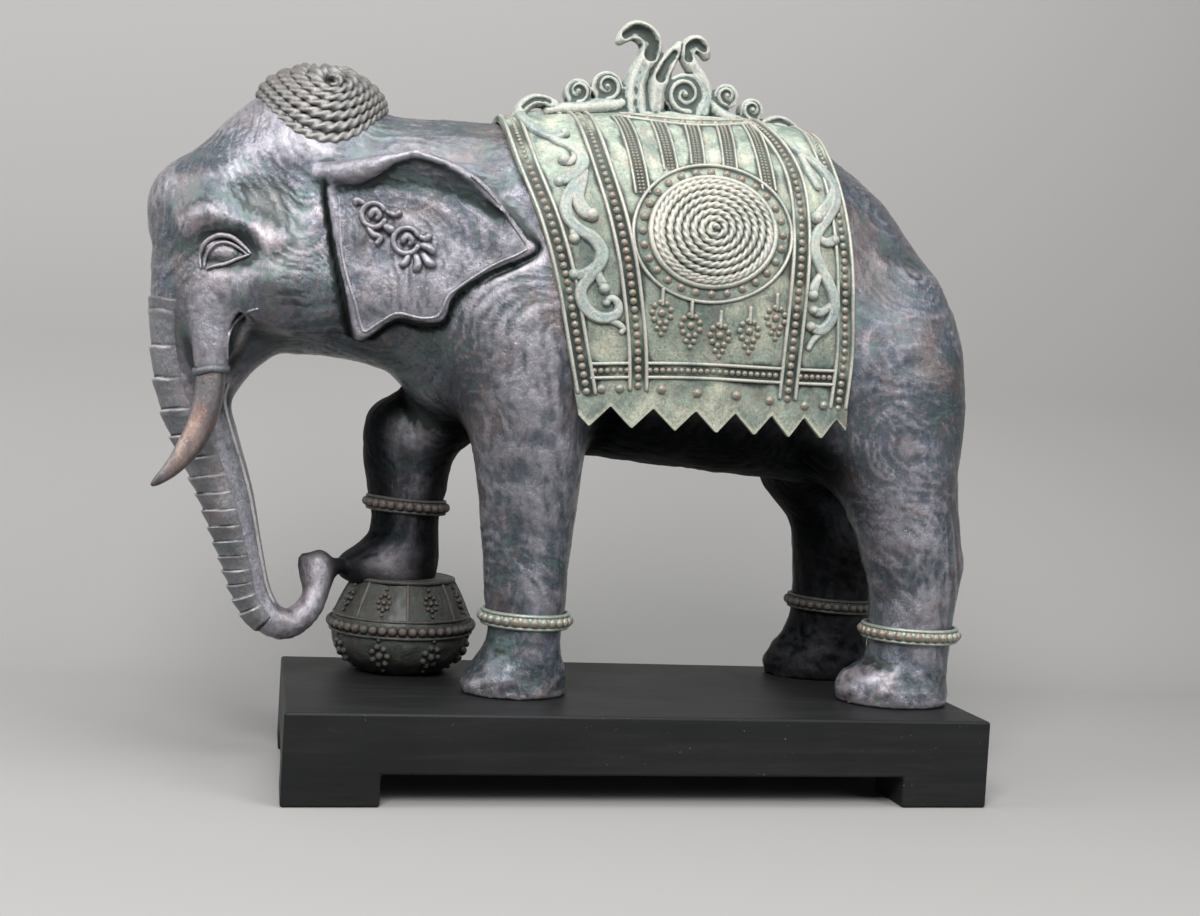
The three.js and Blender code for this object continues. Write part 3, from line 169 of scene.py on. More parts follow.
class Profile:
    """A smooth curve through rows of position and values."""

    def __init__(self, *rows: Sequence[float]) -> None:
        """Keeps the rows and the slope at each, from its two neighbours.

        Args:
            rows: position first, then one value for each column.
        """
        table = np.array(rows, float)
        self.at, self.values = table[:, 0], table[:, 1:]
        order = np.arange(len(table))
        before, after = np.maximum(order - 1, 0), np.minimum(order + 1, len(table) - 1)
        self.slopes = (self.values[after] - self.values[before]) / (self.at[after] - self.at[before])[:, None]

    def __call__(self, position: Array, column: int = 0) -> Array:
        """The column's value at each position, held level past both ends.

        Args:
            position: where to read the curve.
            column: which value.

        Returns:
            The values.
        """
        p = np.clip(position, self.at[0], self.at[-1])
        i = np.clip(np.searchsorted(self.at, p, side="right") - 1, 0, len(self.at) - 2)
        gap = self.at[i + 1] - self.at[i]
        values, slopes = self.values[:, column], self.slopes[:, column]
        return cubic(values[i], values[i + 1], slopes[i] * gap, slopes[i + 1] * gap, (p - self.at[i]) / gap)


def along_curve(points: Sequence[Sequence[float]], per_span: int) -> Array:
    """Points along a smooth open curve through a few, with cubic spans.

    Args:
        points: rows of any width that the curve passes through.
        per_span: how many points each span gets.

    Returns:
        The points as rows.
    """
    p = np.array(points, float)
    slope = (np.vstack([p[1:], p[-1:]]) - np.vstack([p[:1], p[:-1]])) / 2
    t = (np.arange(per_span) / per_span)[None, :, None]
    body = cubic(p[:-1, None], p[1:, None], slope[:-1, None], slope[1:, None], t)
    return np.vstack([body.reshape(-1, p.shape[1]), p[-1:]])


def even_curve(points: Array, step: float) -> Array:
    """The same path with its points an even step apart, by running length.

    Args:
        points: the path, with any further columns.
        step: the gap wanted.

    Returns:
        The new rows.
    """
    length = np.concatenate([[0.0], np.cumsum(np.linalg.norm(np.diff(points[:, :3], axis=0), axis=1))])
    count = max(int(round(length[-1] / step)), 2)
    at = np.linspace(0.0, length[-1], count + 1)
    return np.stack([np.interp(at, length, column) for column in points.T], axis=1)


def rounded_radii(path: Array, radii: Array) -> Array:
    """Radii that close round at both ends: each times the root of 1 less the square of what is missing.

    Args:
        path: points in order.
        radii: the full radius at each.

    Returns:
        The radii.
    """
    length = np.concatenate([[0.0], np.cumsum(np.linalg.norm(np.diff(path, axis=0), axis=1))])
    near = np.minimum(length, length[-1] - length) + 0.12
    share = np.clip(near / np.maximum(radii, 1e-6), 0.0, 1.0)
    return radii * np.sqrt(1 - (1 - share)**2)


def blended(table: Array, row: Array, column: Array) -> Array:
    """A table's value at places between its rows and columns: shares of the four nearest, by nearness.

    Args:
        table: values in rows and columns.
        row: the place down the rows, with its share of the way to the next.
        column: the place along the columns, likewise.

    Returns:
        The values, held level past the table's edges.
    """
    u = np.clip(row, 0, table.shape[0] - 1.001)
    v = np.clip(column, 0, table.shape[1] - 1.001)
    i, j = u.astype(int), v.astype(int)
    fu, fv = u - i, v - j
    near = table[i, j] * (1 - fu) + table[i + 1, j] * fu
    far = table[i, j + 1] * (1 - fu) + table[i + 1, j + 1] * fu
    return near * (1 - fv) + far * fv


class Grain:
    """Smooth random lumps: seeded values on a lattice, blended with level ends."""

    def __init__(self, seed: int) -> None:
        """Fills a lattice of 32 values a side from the seed."""
        self.lattice = np.random.default_rng(seed).uniform(-1.0, 1.0, (32, 32, 32))

    def at(self, points: Array, size: float) -> Array:
        """Values from -1 to 1 at points, with lumps of about that size.

        Args:
            points: places in rows.
            size: how large the lumps are.

        Returns:
            One value for each place.
        """
        scaled = points / size
        low = np.floor(scaled).astype(int)
        t = scaled - low
        t = t * t * (3 - 2 * t)
        total = np.zeros(len(points))
        for corner in range(8):
            bits = np.array([(corner >> axis) & 1 for axis in range(3)])
            spot = (low + bits) % 32
            weight = np.prod(np.where(bits == 1, t, 1 - t), axis=1)
            total += weight * self.lattice[spot[:, 0], spot[:, 1], spot[:, 2]]
        return total

    def layered(self, points: Array, size: float, layers: int) -> Array:
        """The sum of layers, each half as large and half as strong as the last."""
        return sum(self.at(points + 37.0 * n, size / 2**n) / 2**n for n in range(layers))


# Meshes as arrays

@dataclass
class Surface:
    """Points with faces, in millimetres, and one value of wear and of shade for each point."""

    points: Array
    faces: list[Array]
    wear: Array
    shade: Array | None = None

    def edges(self) -> Array:
        """Each pair of neighbouring points once.

        Returns:
            The pairs.
        """
        pairs = np.concatenate([
            np.stack([group, np.roll(group, -1, axis=1)], axis=2).reshape(-1, 2) for group in self.faces
        ])
        pairs.sort(axis=1)
        return np.unique(pairs, axis=0)

    def normals(self) -> Array:
        """Unit normals at the points, from the crossed diagonals of the faces around each.

        Returns:
            One direction for each point.
        """
        total = np.zeros_like(self.points)
        for group in self.faces:
            p = self.points[group]
            second, last = (2, 3) if group.shape[1] == 4 else (2, 2)
            cross = np.cross(p[:, second] - p[:, 0], p[:, last] - p[:, 1])
            for corner in range(group.shape[1]):
                for axis in range(3):
                    total[:, axis] += np.bincount(group[:, corner], cross[:, axis], len(total))
        return total / np.maximum(np.linalg.norm(total, axis=1, keepdims=True), 1e-12)


def neighbour_mean(values: Array, edges: Array) -> Array:
    """Each point's values as the mean over its neighbours.

    Args:
        values: a row for each point.
        edges: pairs of neighbouring points.

    Returns:
        The means.
    """
    count = np.bincount(edges.ravel(), minlength=len(values))
    total = np.stack([
        np.bincount(edges[:, 0], column[edges[:, 1]], len(values))
        + np.bincount(edges[:, 1], column[edges[:, 0]], len(values))
        for column in values.T
    ], axis=1)
    return total / np.maximum(count, 1)[:, None]


def smoothed(surface: Surface, rounds: int) -> None:
    """Evens a surface without shrinking it: a step to the mean, then a step back past it.

    Args:
        surface: the surface, changed in place.
        rounds: how often.
    """
    edges = surface.edges()
    for _ in range(rounds):
        for share in (0.52, -0.54):
            surface.points += share * (neighbour_mean(surface.points, edges) - surface.points)


def relief(surface: Surface, rounds: int) -> Array:
    """How far each point stands out of its surroundings, in millimetres along its normal.

    Args:
        surface: the surface.
        rounds: how far the surroundings reach.

    Returns:
        One height for each point.
    """
    edges = surface.edges()
    soft = surface.points.copy()
    for _ in range(rounds):
        soft += 0.9 * (neighbour_mean(soft, edges) - soft)
    return ((surface.points - soft) * surface.normals()).sum(axis=1)


def merged(surfaces: Iterable[Surface]) -> Surface:
    """Several surfaces as one, with their faces numbered on.

    Args:
        surfaces: what to join.

    Returns:
        One surface.
    """
    points, faces, wear, shade = [], [], [], []
    start = 0
    for surface in surfaces:
        points.append(surface.points)
        faces += [group + start for group in surface.faces]
        wear.append(surface.wear)
        shade.append(np.ones(len(surface.points)) if surface.shade is None else surface.shade)
        start += len(surface.points)
    return Surface(np.vstack(points), faces, np.concatenate(wear), np.concatenate(shade))


def grid_faces(rows: int, columns: int, ring_rows: bool = False, ring_columns: bool = False) -> Array:
    """Quads over a grid of points, row by row, closed round where asked.

    Args:
        rows: how many rows of points.
        columns: how many points in a row.
        ring_rows: whether the last row meets the first.
        ring_columns: whether each row closes on itself.

    Returns:
        The quads.
    """
    r = np.arange(rows if ring_rows else rows - 1)[:, None]
    c = np.arange(columns if ring_columns else columns - 1)[None, :]
    next_r, next_c = (r + 1) % rows, (c + 1) % columns
    quads = [r * columns + c, r * columns + next_c, next_r * columns + next_c, next_r * columns + c]
    return np.stack([np.broadcast_to(q, (r.size, c.size)) for q in quads], axis=2).reshape(-1, 4)


def piece_of(name: str, surface: Surface, place: Callable[[Array], Array], material: bpy.types.Material,
             replaces: Sequence[str] = (), sharp: float | None = None) -> bpy.types.Object:
    """Makes a smooth-shaded object from a surface and gives it to the frame.

    Args:
        name: the piece's name.
        surface: its points in the statue's millimetres.
        place: what sets them in the frame.
        material: its finish.
        replaces: solids that it stands for.
        sharp: an angle in degrees past which an edge stays sharp.

    Returns:
        The object.
    """
    mesh = bpy.data.meshes.new(name)
    points = place(surface.points)
    mesh.vertices.add(len(points))
    mesh.vertices.foreach_set("co", points.astype(np.float32).ravel())
    sizes = np.concatenate([np.full(len(group), group.shape[1]) for group in surface.faces])
    mesh.loops.add(int(sizes.sum()))
    corners = np.concatenate([group.ravel() for group in surface.faces]).astype(np.int32)
    mesh.loops.foreach_set("vertex_index", corners)
    mesh.polygons.add(len(sizes))
    mesh.polygons.foreach_set("loop_start", (np.cumsum(sizes) - sizes).astype(np.int32))
    mesh.update(calc_edges=True)
    mesh.validate()
    mesh.shade_smooth()
    if sharp is not None:
        mesh.set_sharp_from_angle(angle=math.radians(sharp))
    for label, values in (("wear", surface.wear), ("shade", surface.shade)):
        values = np.ones(len(points)) if values is None else values
        layer = mesh.attributes.new(label, "FLOAT", "POINT")
        layer.data.foreach_set("value", np.clip(values, 0.0, 1.0).astype(np.float32))
    mesh.materials.append(material)
    made = bpy.data.objects.new(name, mesh)
    bpy.context.scene.collection.objects.link(made)
    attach(made, ONE_BODY)
    if replaces:
        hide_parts(*replaces)
    log.info("%s: %d points, %d faces", name, len(mesh.vertices), len(mesh.polygons))
    return made


def cast_piece(name: str, surface: Surface, setting: Setting, material: bpy.types.Material,
               sharp: float | None = None) -> None:
    """Makes a piece of the elephant, which stands for the elephant's solid.

    Args:
        name: the piece's name.
        surface: its points in the figure's millimetres.
        setting: where the statue lies in the frame.
        material: its finish.
        sharp: an angle in degrees past which an edge stays sharp.
    """
    piece_of(name, surface, setting.figure, material, ["elephant"], sharp)


def sweep(path: Array, ups: Array, across: Array | float, rise: Array | float, sides: int = 8,
          ring: bool = False,
          strands: int = 0, strand_depth: float = 0.0, pitch: float = 10.0,
          groove: Array | float = 0.0) -> Surface:
    """A bar carried along a path: an ellipse in the plane across it, or twisted strands.

    Each point is the path's point, plus the across direction times the cosine, plus up times the sine.
    A rope's radius swells by a cosine of the strand count times the angle less the twist run so far.

    Args:
        path: points in order.
        ups: the outward direction at each.
        across: half width along the surface.
        rise: half height along the outward direction.
        sides: points round the bar.
        ring: whether the path closes on itself.
        strands: how many strands are twisted together, or none for a plain bar.
        strand_depth: how deep the lines between strands are, as a share of the radius.
        pitch: the length over which a strand goes once round.
        groove: how deep a groove runs along the top, as a share of its height.

    Returns:
        The closed surface, worn along its top.
    """
    following, previous = np.roll(path, -1, axis=0), np.roll(path, 1, axis=0)
    if not ring:
        following[-1], previous[0] = path[-1], path[0]
    along = following - previous
    along /= np.maximum(np.linalg.norm(along, axis=1, keepdims=True), 1e-9)
    aside = np.cross(along, ups)
    aside /= np.maximum(np.linalg.norm(aside, axis=1, keepdims=True), 1e-9)
    ups = np.cross(aside, along)
    turn = 2 * np.pi * np.arange(sides) / sides
    run = np.concatenate([[0.0], np.cumsum(np.linalg.norm(np.diff(path, axis=0), axis=1))])
    twist = 2 * np.pi * run / pitch
    swell = 1.0
    if strands:
        swell = 1 - strand_depth * (0.5 - 0.5 * np.cos(strands * (turn[None, :] - twist[:, None])))
    half = np.broadcast_to(np.asarray(across, float), len(path))[:, None] * np.cos(turn) * swell
    cut = np.broadcast_to(np.asarray(groove, float), len(path))[:, None]
    dip = 1 - cut * np.exp(-(np.cos(turn) / 0.42)**2)
    tall = np.broadcast_to(np.asarray(rise, float), len(path))[:, None] * np.sin(turn) * swell * dip
    points = path[:, None] + aside[:, None] * half[..., None] + ups[:, None] * tall[..., None]
    wear = 0.5 + 0.42 * np.sin(turn)[None, :] - 0.9 * (1 - dip)
    if strands:
        wear = wear + 0.9 * (swell - 1 + strand_depth / 2) / max(strand_depth, 1e-6) * 0.5
    count = len(path) * sides
    faces = [grid_faces(len(path), sides, ring_rows=ring, ring_columns=True)]
    points, wear = points.reshape(-1, 3), wear.ravel()
    if not ring:
        ends = np.stack([path[0] - along[0] * half[0].max() * 0.5,
                         path[-1] + along[-1] * half[-1].max() * 0.5])
        points = np.vstack([points, ends])
        wear = np.append(wear, [0.6, 0.6])
        n = np.arange(sides)
        m = (n + 1) % sides
        faces.append(np.stack([np.full(sides, count), m, n], axis=1))
        faces.append(np.stack([np.full(sides, count + 1), count - sides + n, count - sides + m], axis=1))
    return Surface(points, faces, wear)


def beads(centres: Array, ups: Array, radius: Array | float, squat: float = 1.0, sink: float = 0.25,
          sides: int = 8) -> Surface:
    """Round beads set on a surface, each a low dome closed underneath.

    Args:
        centres: where each sits.
        ups: the outward direction at each.
        radius: of each bead.
        squat: its height as a share of its radius.
        sink: how far its middle lies under the surface, as a share of the radius.
        sides: points round each ring.

    Returns:
        All the beads as one surface, worn on their tops.
    """
    lift = np.array([-0.7, 0.0, 0.55, 0.88])
    wide = np.array([0.7, 1.0, 0.835, 0.475])
    turn = 2 * np.pi * np.arange(sides) / sides
    ring = np.stack([wide[:, None] * np.cos(turn), wide[:, None] * np.sin(turn),
                     np.repeat(lift[:, None], sides, axis=1)], axis=2).reshape(-1, 3)
    shape = np.vstack([ring, [[0, 0, -0.8], [0, 0, 1.0]]])
    worn = np.concatenate([np.repeat([0.1, 0.22, 0.62, 0.85], sides), [0.1, 0.95]])
    sizes = np.broadcast_to(np.asarray(radius, float), len(centres))[:, None, None]
    ups = ups / np.linalg.norm(ups, axis=1, keepdims=True)
    helper = np.where(np.abs(ups[:, :1]) < 0.9, [[1.0, 0.0, 0.0]], [[0.0, 0.0, 1.0]])
    first = np.cross(ups, helper)
    first /= np.linalg.norm(first, axis=1, keepdims=True)
    second = np.cross(ups, first)
    height = shape[None, :, 2:] * squat - sink
    points = centres[:, None] + sizes * (
        first[:, None] * shape[None, :, :1] + second[:, None] * shape[None, :, 1:2] + ups[:, None] * height)
    start = (np.arange(len(centres)) * len(shape))[:, None, None]
    n = np.arange(sides)
    m = (n + 1) % sides
    low = np.stack([np.full(sides, 4 * sides), m, n], axis=1)
    top = np.stack([np.full(sides, 4 * sides + 1), 3 * sides + n, 3 * sides + m], axis=1)
    faces = [(group[None] + start).reshape(-1, group.shape[1])
             for group in (grid_faces(4, sides, ring_columns=True), low, top)]
    return Surface(points.reshape(-1, 3), faces, np.tile(worn, len(centres)))


# Fields: distances that are negative inside a form

@dataclass
class Form:
    """A field with the box outside which it need not be known."""

    low: Array
    high: Array
    distance: Callable[[Array, Array, Array], Array]

    def mirrored(self) -> "Form":
        """The same form on both sides of the middle plane.

        Returns:
            The new form.
        """
        reach = max(abs(self.low[1]), abs(self.high[1]))
        low, high = self.low.copy(), self.high.copy()
        low[1], high[1] = -reach, reach
        return Form(low, high, lambda x, y, z: self.distance(x, np.abs(y), z))


def bar(points: Sequence[Sequence[float]], flat: float = 1.0, per_span: int = 4) -> Form:
    """A round bar through rows of x, y, z and radius; flat over 1 widens it along y.

    The distance is the least over the spans of the distance to the span less its radius there.

    Args:
        points: the rows.
        flat: how much wider it is along y.
        per_span: steps between rows.

    Returns:
        The form.
    """
    path = along_curve(points, per_span)
    reach = path[:, 3:] * np.array([1.0, flat, 1.0])

    def distance(x: Array, y: Array, z: Array) -> Array:
        """The least distance to any span's side."""
        best = None
        for (ax, ay, az, ar), (bx, by, bz, br) in zip(path[:-1], path[1:]):
            step = np.array([bx - ax, (by - ay) / flat, bz - az])
            px, py, pz = x - ax, (y - ay) / flat, z - az
            t = np.clip((px * step[0] + py * step[1] + pz * step[2]) / (step @ step + 1e-9), 0.0, 1.0)
            gap = np.sqrt((px - step[0] * t)**2 + (py - step[1] * t)**2 + (pz - step[2] * t)**2)
            d = gap - ar - (br - ar) * t
            best = d if best is None else np.minimum(best, d)
        return best

    return Form((path[:, :3] - reach).min(axis=0), (path[:, :3] + reach).max(axis=0), distance)


def ball(cx: float, cy: float, cz: float, rx: float, ry: float, rz: float, lean: float = 0.0) -> Form:
    """An ellipsoid turned about y by lean radians.

    Args:
        cx, cy, cz: its middle.
        rx, ry, rz: its half widths.
        lean: how far it is turned.

    Returns:
        The form.
    """
    reach = max(rx, rz)
    cos, sin = math.cos(lean), math.sin(lean)

    def distance(x: Array, y: Array, z: Array) -> Array:
        """The scaled reach less 1, over how steeply it grows."""
        px = (x - cx) * cos - (z - cz) * sin
        pz = (x - cx) * sin + (z - cz) * cos
        q = np.sqrt((px / rx)**2 + ((y - cy) / ry)**2 + (pz / rz)**2)
        steep = np.sqrt((px / rx**2)**2 + ((y - cy) / ry**2)**2 + (pz / rz**2)**2)
        return np.where(steep < 1e-9, -min(rx, ry, rz), q * (q - 1) / np.maximum(steep, 1e-9))

    return Form(np.array([cx - reach, cy - ry, cz - reach]), np.array([cx + reach, cy + ry, cz + reach]),
                distance)


def limb(*rows: Sequence[float]) -> Form:
    """A leg as level ellipses: rows of z, front x, back x, middle y and half width.

    Args:
        rows: the ellipses from the sole up.

    Returns:
        The form.
    """
    profile = Profile(*rows)
    table = np.array(rows, float)

    def distance(x: Array, y: Array, z: Array) -> Array:
        """The same for the ellipse at each height, cut off level at both ends."""
        front, back, middle, half = (profile(z, column) for column in range(4))
        rx = (back - front) / 2
        px = (x - (back + front) / 2) / rx
        py = (y - middle) / half
        q = np.sqrt(px * px + py * py)
        steep = np.sqrt((px / rx)**2 + (py / half)**2)
        side = np.where(q < 0.05, -np.minimum(rx, half), q * (q - 1) / np.maximum(steep, 1e-9))
        return smooth_max(side, np.maximum(z - table[-1, 0], table[0, 0] - z), 8.0)

    low = [table[:, 1].min(), (table[:, 3] - table[:, 4]).min(), table[0, 0]]
    high = [table[:, 2].max(), (table[:, 3] + table[:, 4]).max(), table[-1, 0]]
    return Form(np.array(low), np.array(high), distance)


OUTLINE_STEP = 2.0


class Outline:
    """Signed depth inside a closed outline, kept on a grid and softened where it is deep."""

    def __init__(self, *points: Sequence[float]) -> None:
        """Works the depth out on a grid: the least distance to any span, positive inside.

        Args:
            points: rows of x and z round the outline.
        """
        p = np.array(points, float)
        path = along_curve(np.vstack([p[-1:], p, p[:2]]), 6)[6:-6]
        self.low = path.min(axis=0) - 60
        count = np.ceil((path.max(axis=0) + 60 - self.low) / OUTLINE_STEP).astype(int) + 2
        x = self.low[0] + OUTLINE_STEP * np.arange(count[0])[:, None]
        z = self.low[1] + OUTLINE_STEP * np.arange(count[1])[None, :]
        best = np.full(count, np.inf)
        inside = np.zeros(count, bool)
        for (ax, az), (bx, bz) in zip(path[:-1], path[1:]):
            dx, dz = bx - ax, bz - az
            t = np.clip(((x - ax) * dx + (z - az) * dz) / (dx * dx + dz * dz + 1e-12), 0.0, 1.0)
            best = np.minimum(best, (x - ax - dx * t)**2 + (z - az - dz * t)**2)
            if az != bz:
                inside ^= ((az > z) != (bz > z)) & (x < ax + (z - az) / (bz - az) * dx)
        depth = np.where(inside, np.sqrt(best), -np.sqrt(best))
        soft = depth
        for axis in (0, 1) * 3:
            padded = np.pad(soft, [(5, 5) if a == axis else (0, 0) for a in (0, 1)], mode="edge")
            total = np.cumsum(padded, axis=axis)
            total = np.insert(total, 0, 0.0, axis=axis)
            size = soft.shape[axis]
            soft = (np.take(total, np.arange(11, 11 + size), axis=axis)
                    - np.take(total, np.arange(size), axis=axis)) / 11
        self.depth = depth + (soft - depth) * ease(4.0, 26.0, depth)

    def __call__(self, x: Array, z: Array) -> Array:
        """The depth at places of any shape, blended between the grid's four nearest."""
        return blended(self.depth, (x - self.low[0]) / OUTLINE_STEP, (z - self.low[1]) / OUTLINE_STEP)


def side_distance(depth: Array, y: Array, half: Array, rounding: Array) -> Array:
    """The rounded side of a body: an ellipse across its width and its depth inside the outline.

    Args:
        depth: how deep a place lies inside the outline.
        y: places across the body.
        half: half the width there.
        rounding: how deep the rounding reaches.

    Returns:
        The distances, negative inside.
    """
    a = np.maximum(1 - depth / rounding, 0.0)
    b = y / half
    q = np.sqrt(a * a + b * b)
    steep = np.sqrt((a / rounding)**2 + (b / half)**2)
    return np.where(q < 0.05, -half, q * (q - 1) / np.maximum(steep, 1e-9))


CORNERS = np.array([[c & 1, (c >> 1) & 1, c >> 2] for c in range(8)])


def split_cells() -> Array:
    """Which of the 256 ways to fill a cell's corners would tear or pinch a closed sheet.

    Returns:
        One answer for each way.
    """
    def joined_up(mask: int) -> bool:
        """Whether the filled corners hang together along the cell's edges."""
        seen = mask & -mask
        for _ in range(4):
            for c in range(8):
                if seen >> c & 1:
                    seen |= ((1 << (c ^ 1)) | (1 << (c ^ 2)) | (1 << (c ^ 4))) & mask
        return seen == mask

    def crossed(mask: int) -> bool:
        """Whether one face has its filled corners across from each other."""
        bits = [mask >> c & 1 for c in range(8)]
        for a, b in ((1, 2), (1, 4), (2, 4)):
            for start in (0, 7 ^ a ^ b):
                one, two, three, four = bits[start], bits[start ^ a ^ b], bits[start ^ a], bits[start ^ b]
                if one == two and three == four and one != three:
                    return True
        return False

    return np.array([not joined_up(m) or not joined_up(255 ^ m) or crossed(m) for m in range(256)])


class Volume:
    """A field sampled on a box grid whose steps may vary."""

    def __init__(self, *spans: Sequence[tuple[float, float, float]]) -> None:
        """Lays the grid out.

        Args:
            spans: for each axis, the stretches as start, end and step.
        """
        self.axes = []
        for stretches in spans:
            lines = [np.linspace(a, b, max(int(round((b - a) / step)), 1), endpoint=False)
                     for a, b, step in stretches]
            self.axes.append(np.concatenate([*lines, [stretches[-1][1]]]))
        self.values = np.full([len(axis) for axis in self.axes], 50.0, np.float32)

    def block(self, form: Form, margin: float) -> tuple[tuple[slice, ...], list[Array]]:
        """The part of the grid round a form, and its coordinates shaped to broadcast.

        Args:
            form: the form.
            margin: how far past its box the part reaches.

        Returns:
            The slices, and the coordinates along each axis.
        """
        cuts, places = [], []
        for n, axis in enumerate(self.axes):
            start = max(int(np.searchsorted(axis, form.low[n] - margin)) - 1, 0)
            stop = int(np.searchsorted(axis, form.high[n] + margin)) + 2
            cuts.append(slice(start, stop))
            places.append(axis[start:stop].reshape([-1 if a == n else 1 for a in range(3)]))
        return tuple(cuts), places

    def join(self, form: Form, fillet: float) -> None:
        """Adds a form with a fillet."""
        cut, places = self.block(form, fillet + 5)
        self.values[cut] = smooth_min(self.values[cut], form.distance(*places), fillet)

    def hollow(self, form: Form, fillet: float) -> None:
        """Takes a form away with a fillet."""
        cut, places = self.block(form, fillet)
        self.values[cut] = smooth_max(self.values[cut], -form.distance(*places), fillet)

    def value(self, points: Array) -> Array:
        """The field at points, blended between the grid's eight nearest.

        Args:
            points: places in rows.

        Returns:
            One value for each place.
        """
        spots, shares = [], []
        for axis, column in zip(self.axes, points.T):
            spot = np.clip(np.searchsorted(axis, column, side="right") - 1, 0, len(axis) - 2)
            spots.append(spot)
            shares.append((column - axis[spot]) / (axis[spot + 1] - axis[spot]))
        total = np.zeros(len(points))
        for corner in CORNERS:
            weight = np.prod([share if bit else 1 - share for bit, share in zip(corner, shares)], axis=0)
            total += weight * self.values[tuple(spot + bit for spot, bit in zip(spots, corner))]
        return total

    def hit(self, inner: Array, outward: Array, reach: float) -> Array:
        """Where rays from inside points leave the form, by halving.

        Args:
            inner: where each ray starts.
            outward: its direction.
            reach: how far it may go.

        Returns:
            Where each ray ends.
        """
        low, high = np.zeros(len(inner)), np.full(len(inner), reach)
        for _ in range(15):
            mid = (low + high) / 2
            inside = self.value(inner + outward * mid[:, None]) < 0
            low, high = np.where(inside, mid, low), np.where(inside, high, mid)
        return inner + outward * low[:, None]

    def mend(self) -> None:
        """Fills corners until no cell would tear the sheet: the least outside corner goes in."""
        bad = split_cells()
        self.values[self.values == 0] = 1e-4
        for _ in range(20):
            inside = self.values < 0
            mask = np.zeros([n - 1 for n in self.values.shape], np.uint8)
            for c, (i, j, k) in enumerate(CORNERS):
                filled = inside[i:i + mask.shape[0], j:j + mask.shape[1], k:k + mask.shape[2]]
                mask |= filled.astype(np.uint8) << c
            cells = np.argwhere(bad[mask])
            if len(cells) == 0:
                return
            corner = cells[:, None] + CORNERS[None]
            values = self.values[corner[..., 0], corner[..., 1], corner[..., 2]]
            pick = corner[np.arange(len(cells)), np.where(values > 0, values, np.inf).argmin(axis=1)]
            self.values[pick[:, 0], pick[:, 1], pick[:, 2]] = -1e-3

    def surface(self) -> Surface:
        """The zero level: one point in each crossed cell, the mean of where its edges cross.

        Returns:
            The sheet as quads.
        """
        self.mend()
        inside = self.values < 0
        shape = [n - 1 for n in self.values.shape]
        filled = sum(inside[i:i + shape[0], j:j + shape[1], k:k + shape[2]].astype(np.uint8)
                     for i, j, k in CORNERS)
        cells = np.argwhere((filled > 0) & (filled < 8))
        number = np.full(shape, -1, np.int64)
        number[cells[:, 0], cells[:, 1], cells[:, 2]] = np.arange(len(cells))
        corner = cells[:, None] + CORNERS[None]
        values = self.values[corner[..., 0], corner[..., 1], corner[..., 2]].astype(float)
        places = np.stack([self.axes[n][corner[..., n]] for n in range(3)], axis=2)
        total, count = np.zeros((len(cells), 3)), np.zeros(len(cells))
        for c in range(8):
            for bit in (1, 2, 4):
                if c & bit:
                    continue
                a, b = values[:, c], values[:, c | bit]
                cross = (a < 0) != (b < 0)
                t = np.where(cross, a / np.where(cross, a - b, 1.0), 0.0)[:, None]
                total += np.where(cross[:, None], places[:, c] * (1 - t) + places[:, c | bit] * t, 0.0)
                count += cross
        faces = []
        for axis in range(3):
            near = [slice(1, -1)] * 3
            far = list(near)
            far[axis] = slice(2, None)
            here, there = inside[tuple(near)], inside[tuple(far)]
            at = np.argwhere(here != there) + 1
            outward = inside[at[:, 0], at[:, 1], at[:, 2]]
            u, v = np.eye(3, dtype=int)[(axis + 1) % 3], np.eye(3, dtype=int)[(axis + 2) % 3]
            quad = np.stack([number[tuple((at - step).T)] for step in (u + v, v, 0 * u, u)], axis=1)
            faces.append(np.where(outward[:, None], quad, quad[:, ::-1]))
        points = total / count[:, None]
        return Surface(points, [np.concatenate(faces)], np.full(len(points), 0.5))


# Shader graphs

class Graph:
    """Short calls that add shader nodes to one tree and join them."""

    def __init__(self, tree: bpy.types.NodeTree) -> None:
        """Keeps the tree and its nodes."""
        self.tree, self.nodes = tree, tree.nodes

    def node(self, kind: str, inputs: dict | None = None, **settings: object) -> bpy.types.Node:
        """A node with its settings, and its inputs linked or set.

        Args:
            kind: Blender's name for the node.
            inputs: a socket or a value for each input.
            settings: the node's own settings.

        Returns:
            The node.
        """
        made = self.nodes.new(kind)
        for key, value in settings.items():
            setattr(made, key, value)
        for key, value in (inputs or {}).items():
            if isinstance(value, bpy.types.NodeSocket):
                self.tree.links.new(value, made.inputs[key])
            else:
                made.inputs[key].default_value = value
        return made

    def math(self, operation: str, a: object, b: object = 0.0, clamp: bool = False) -> bpy.types.NodeSocket:
        """One sum on two values."""
        return self.node("ShaderNodeMath", {0: a, 1: b}, operation=operation, use_clamp=clamp).outputs[0]

    def mix(self, share: object, a: object, b: object, blend: str = "MIX") -> bpy.types.NodeSocket:
        """Two colours blended by a share.

        Args:
            share: how much of the second shows.
            a: the first.
            b: the second.
            blend: how they blend.

        Returns:
            The blended colour.
        """
        made = self.node("ShaderNodeMix", data_type="RGBA", blend_type=blend)
        for socket, value in ((made.inputs[0], share), (made.inputs[6], a), (made.inputs[7], b)):
            if isinstance(value, bpy.types.NodeSocket):
                self.tree.links.new(value, socket)
            else:
                socket.default_value = value
        return made.outputs[2]

    def noise(self, vector: object, scale: object, detail: float = 5.0, rough: float = 0.55,
              warp: float = 0.0) -> bpy.types.NodeSocket:
        """A noise value at a scale per metre."""
        settings = {"Vector": vector, "Scale": scale, "Detail": detail, "Roughness": rough,
                    "Distortion": warp}
        return self.node("ShaderNodeTexNoise", settings).outputs[0]

    def step(self, value: object, low: float, high: float) -> bpy.types.NodeSocket:
        """A mask from 0 at low to 1 at high with level ends."""
        settings = {0: value, 1: low, 2: high, 3: 0.0, 4: 1.0}
        return self.node("ShaderNodeMapRange", settings, interpolation_type="SMOOTHSTEP").outputs[0]


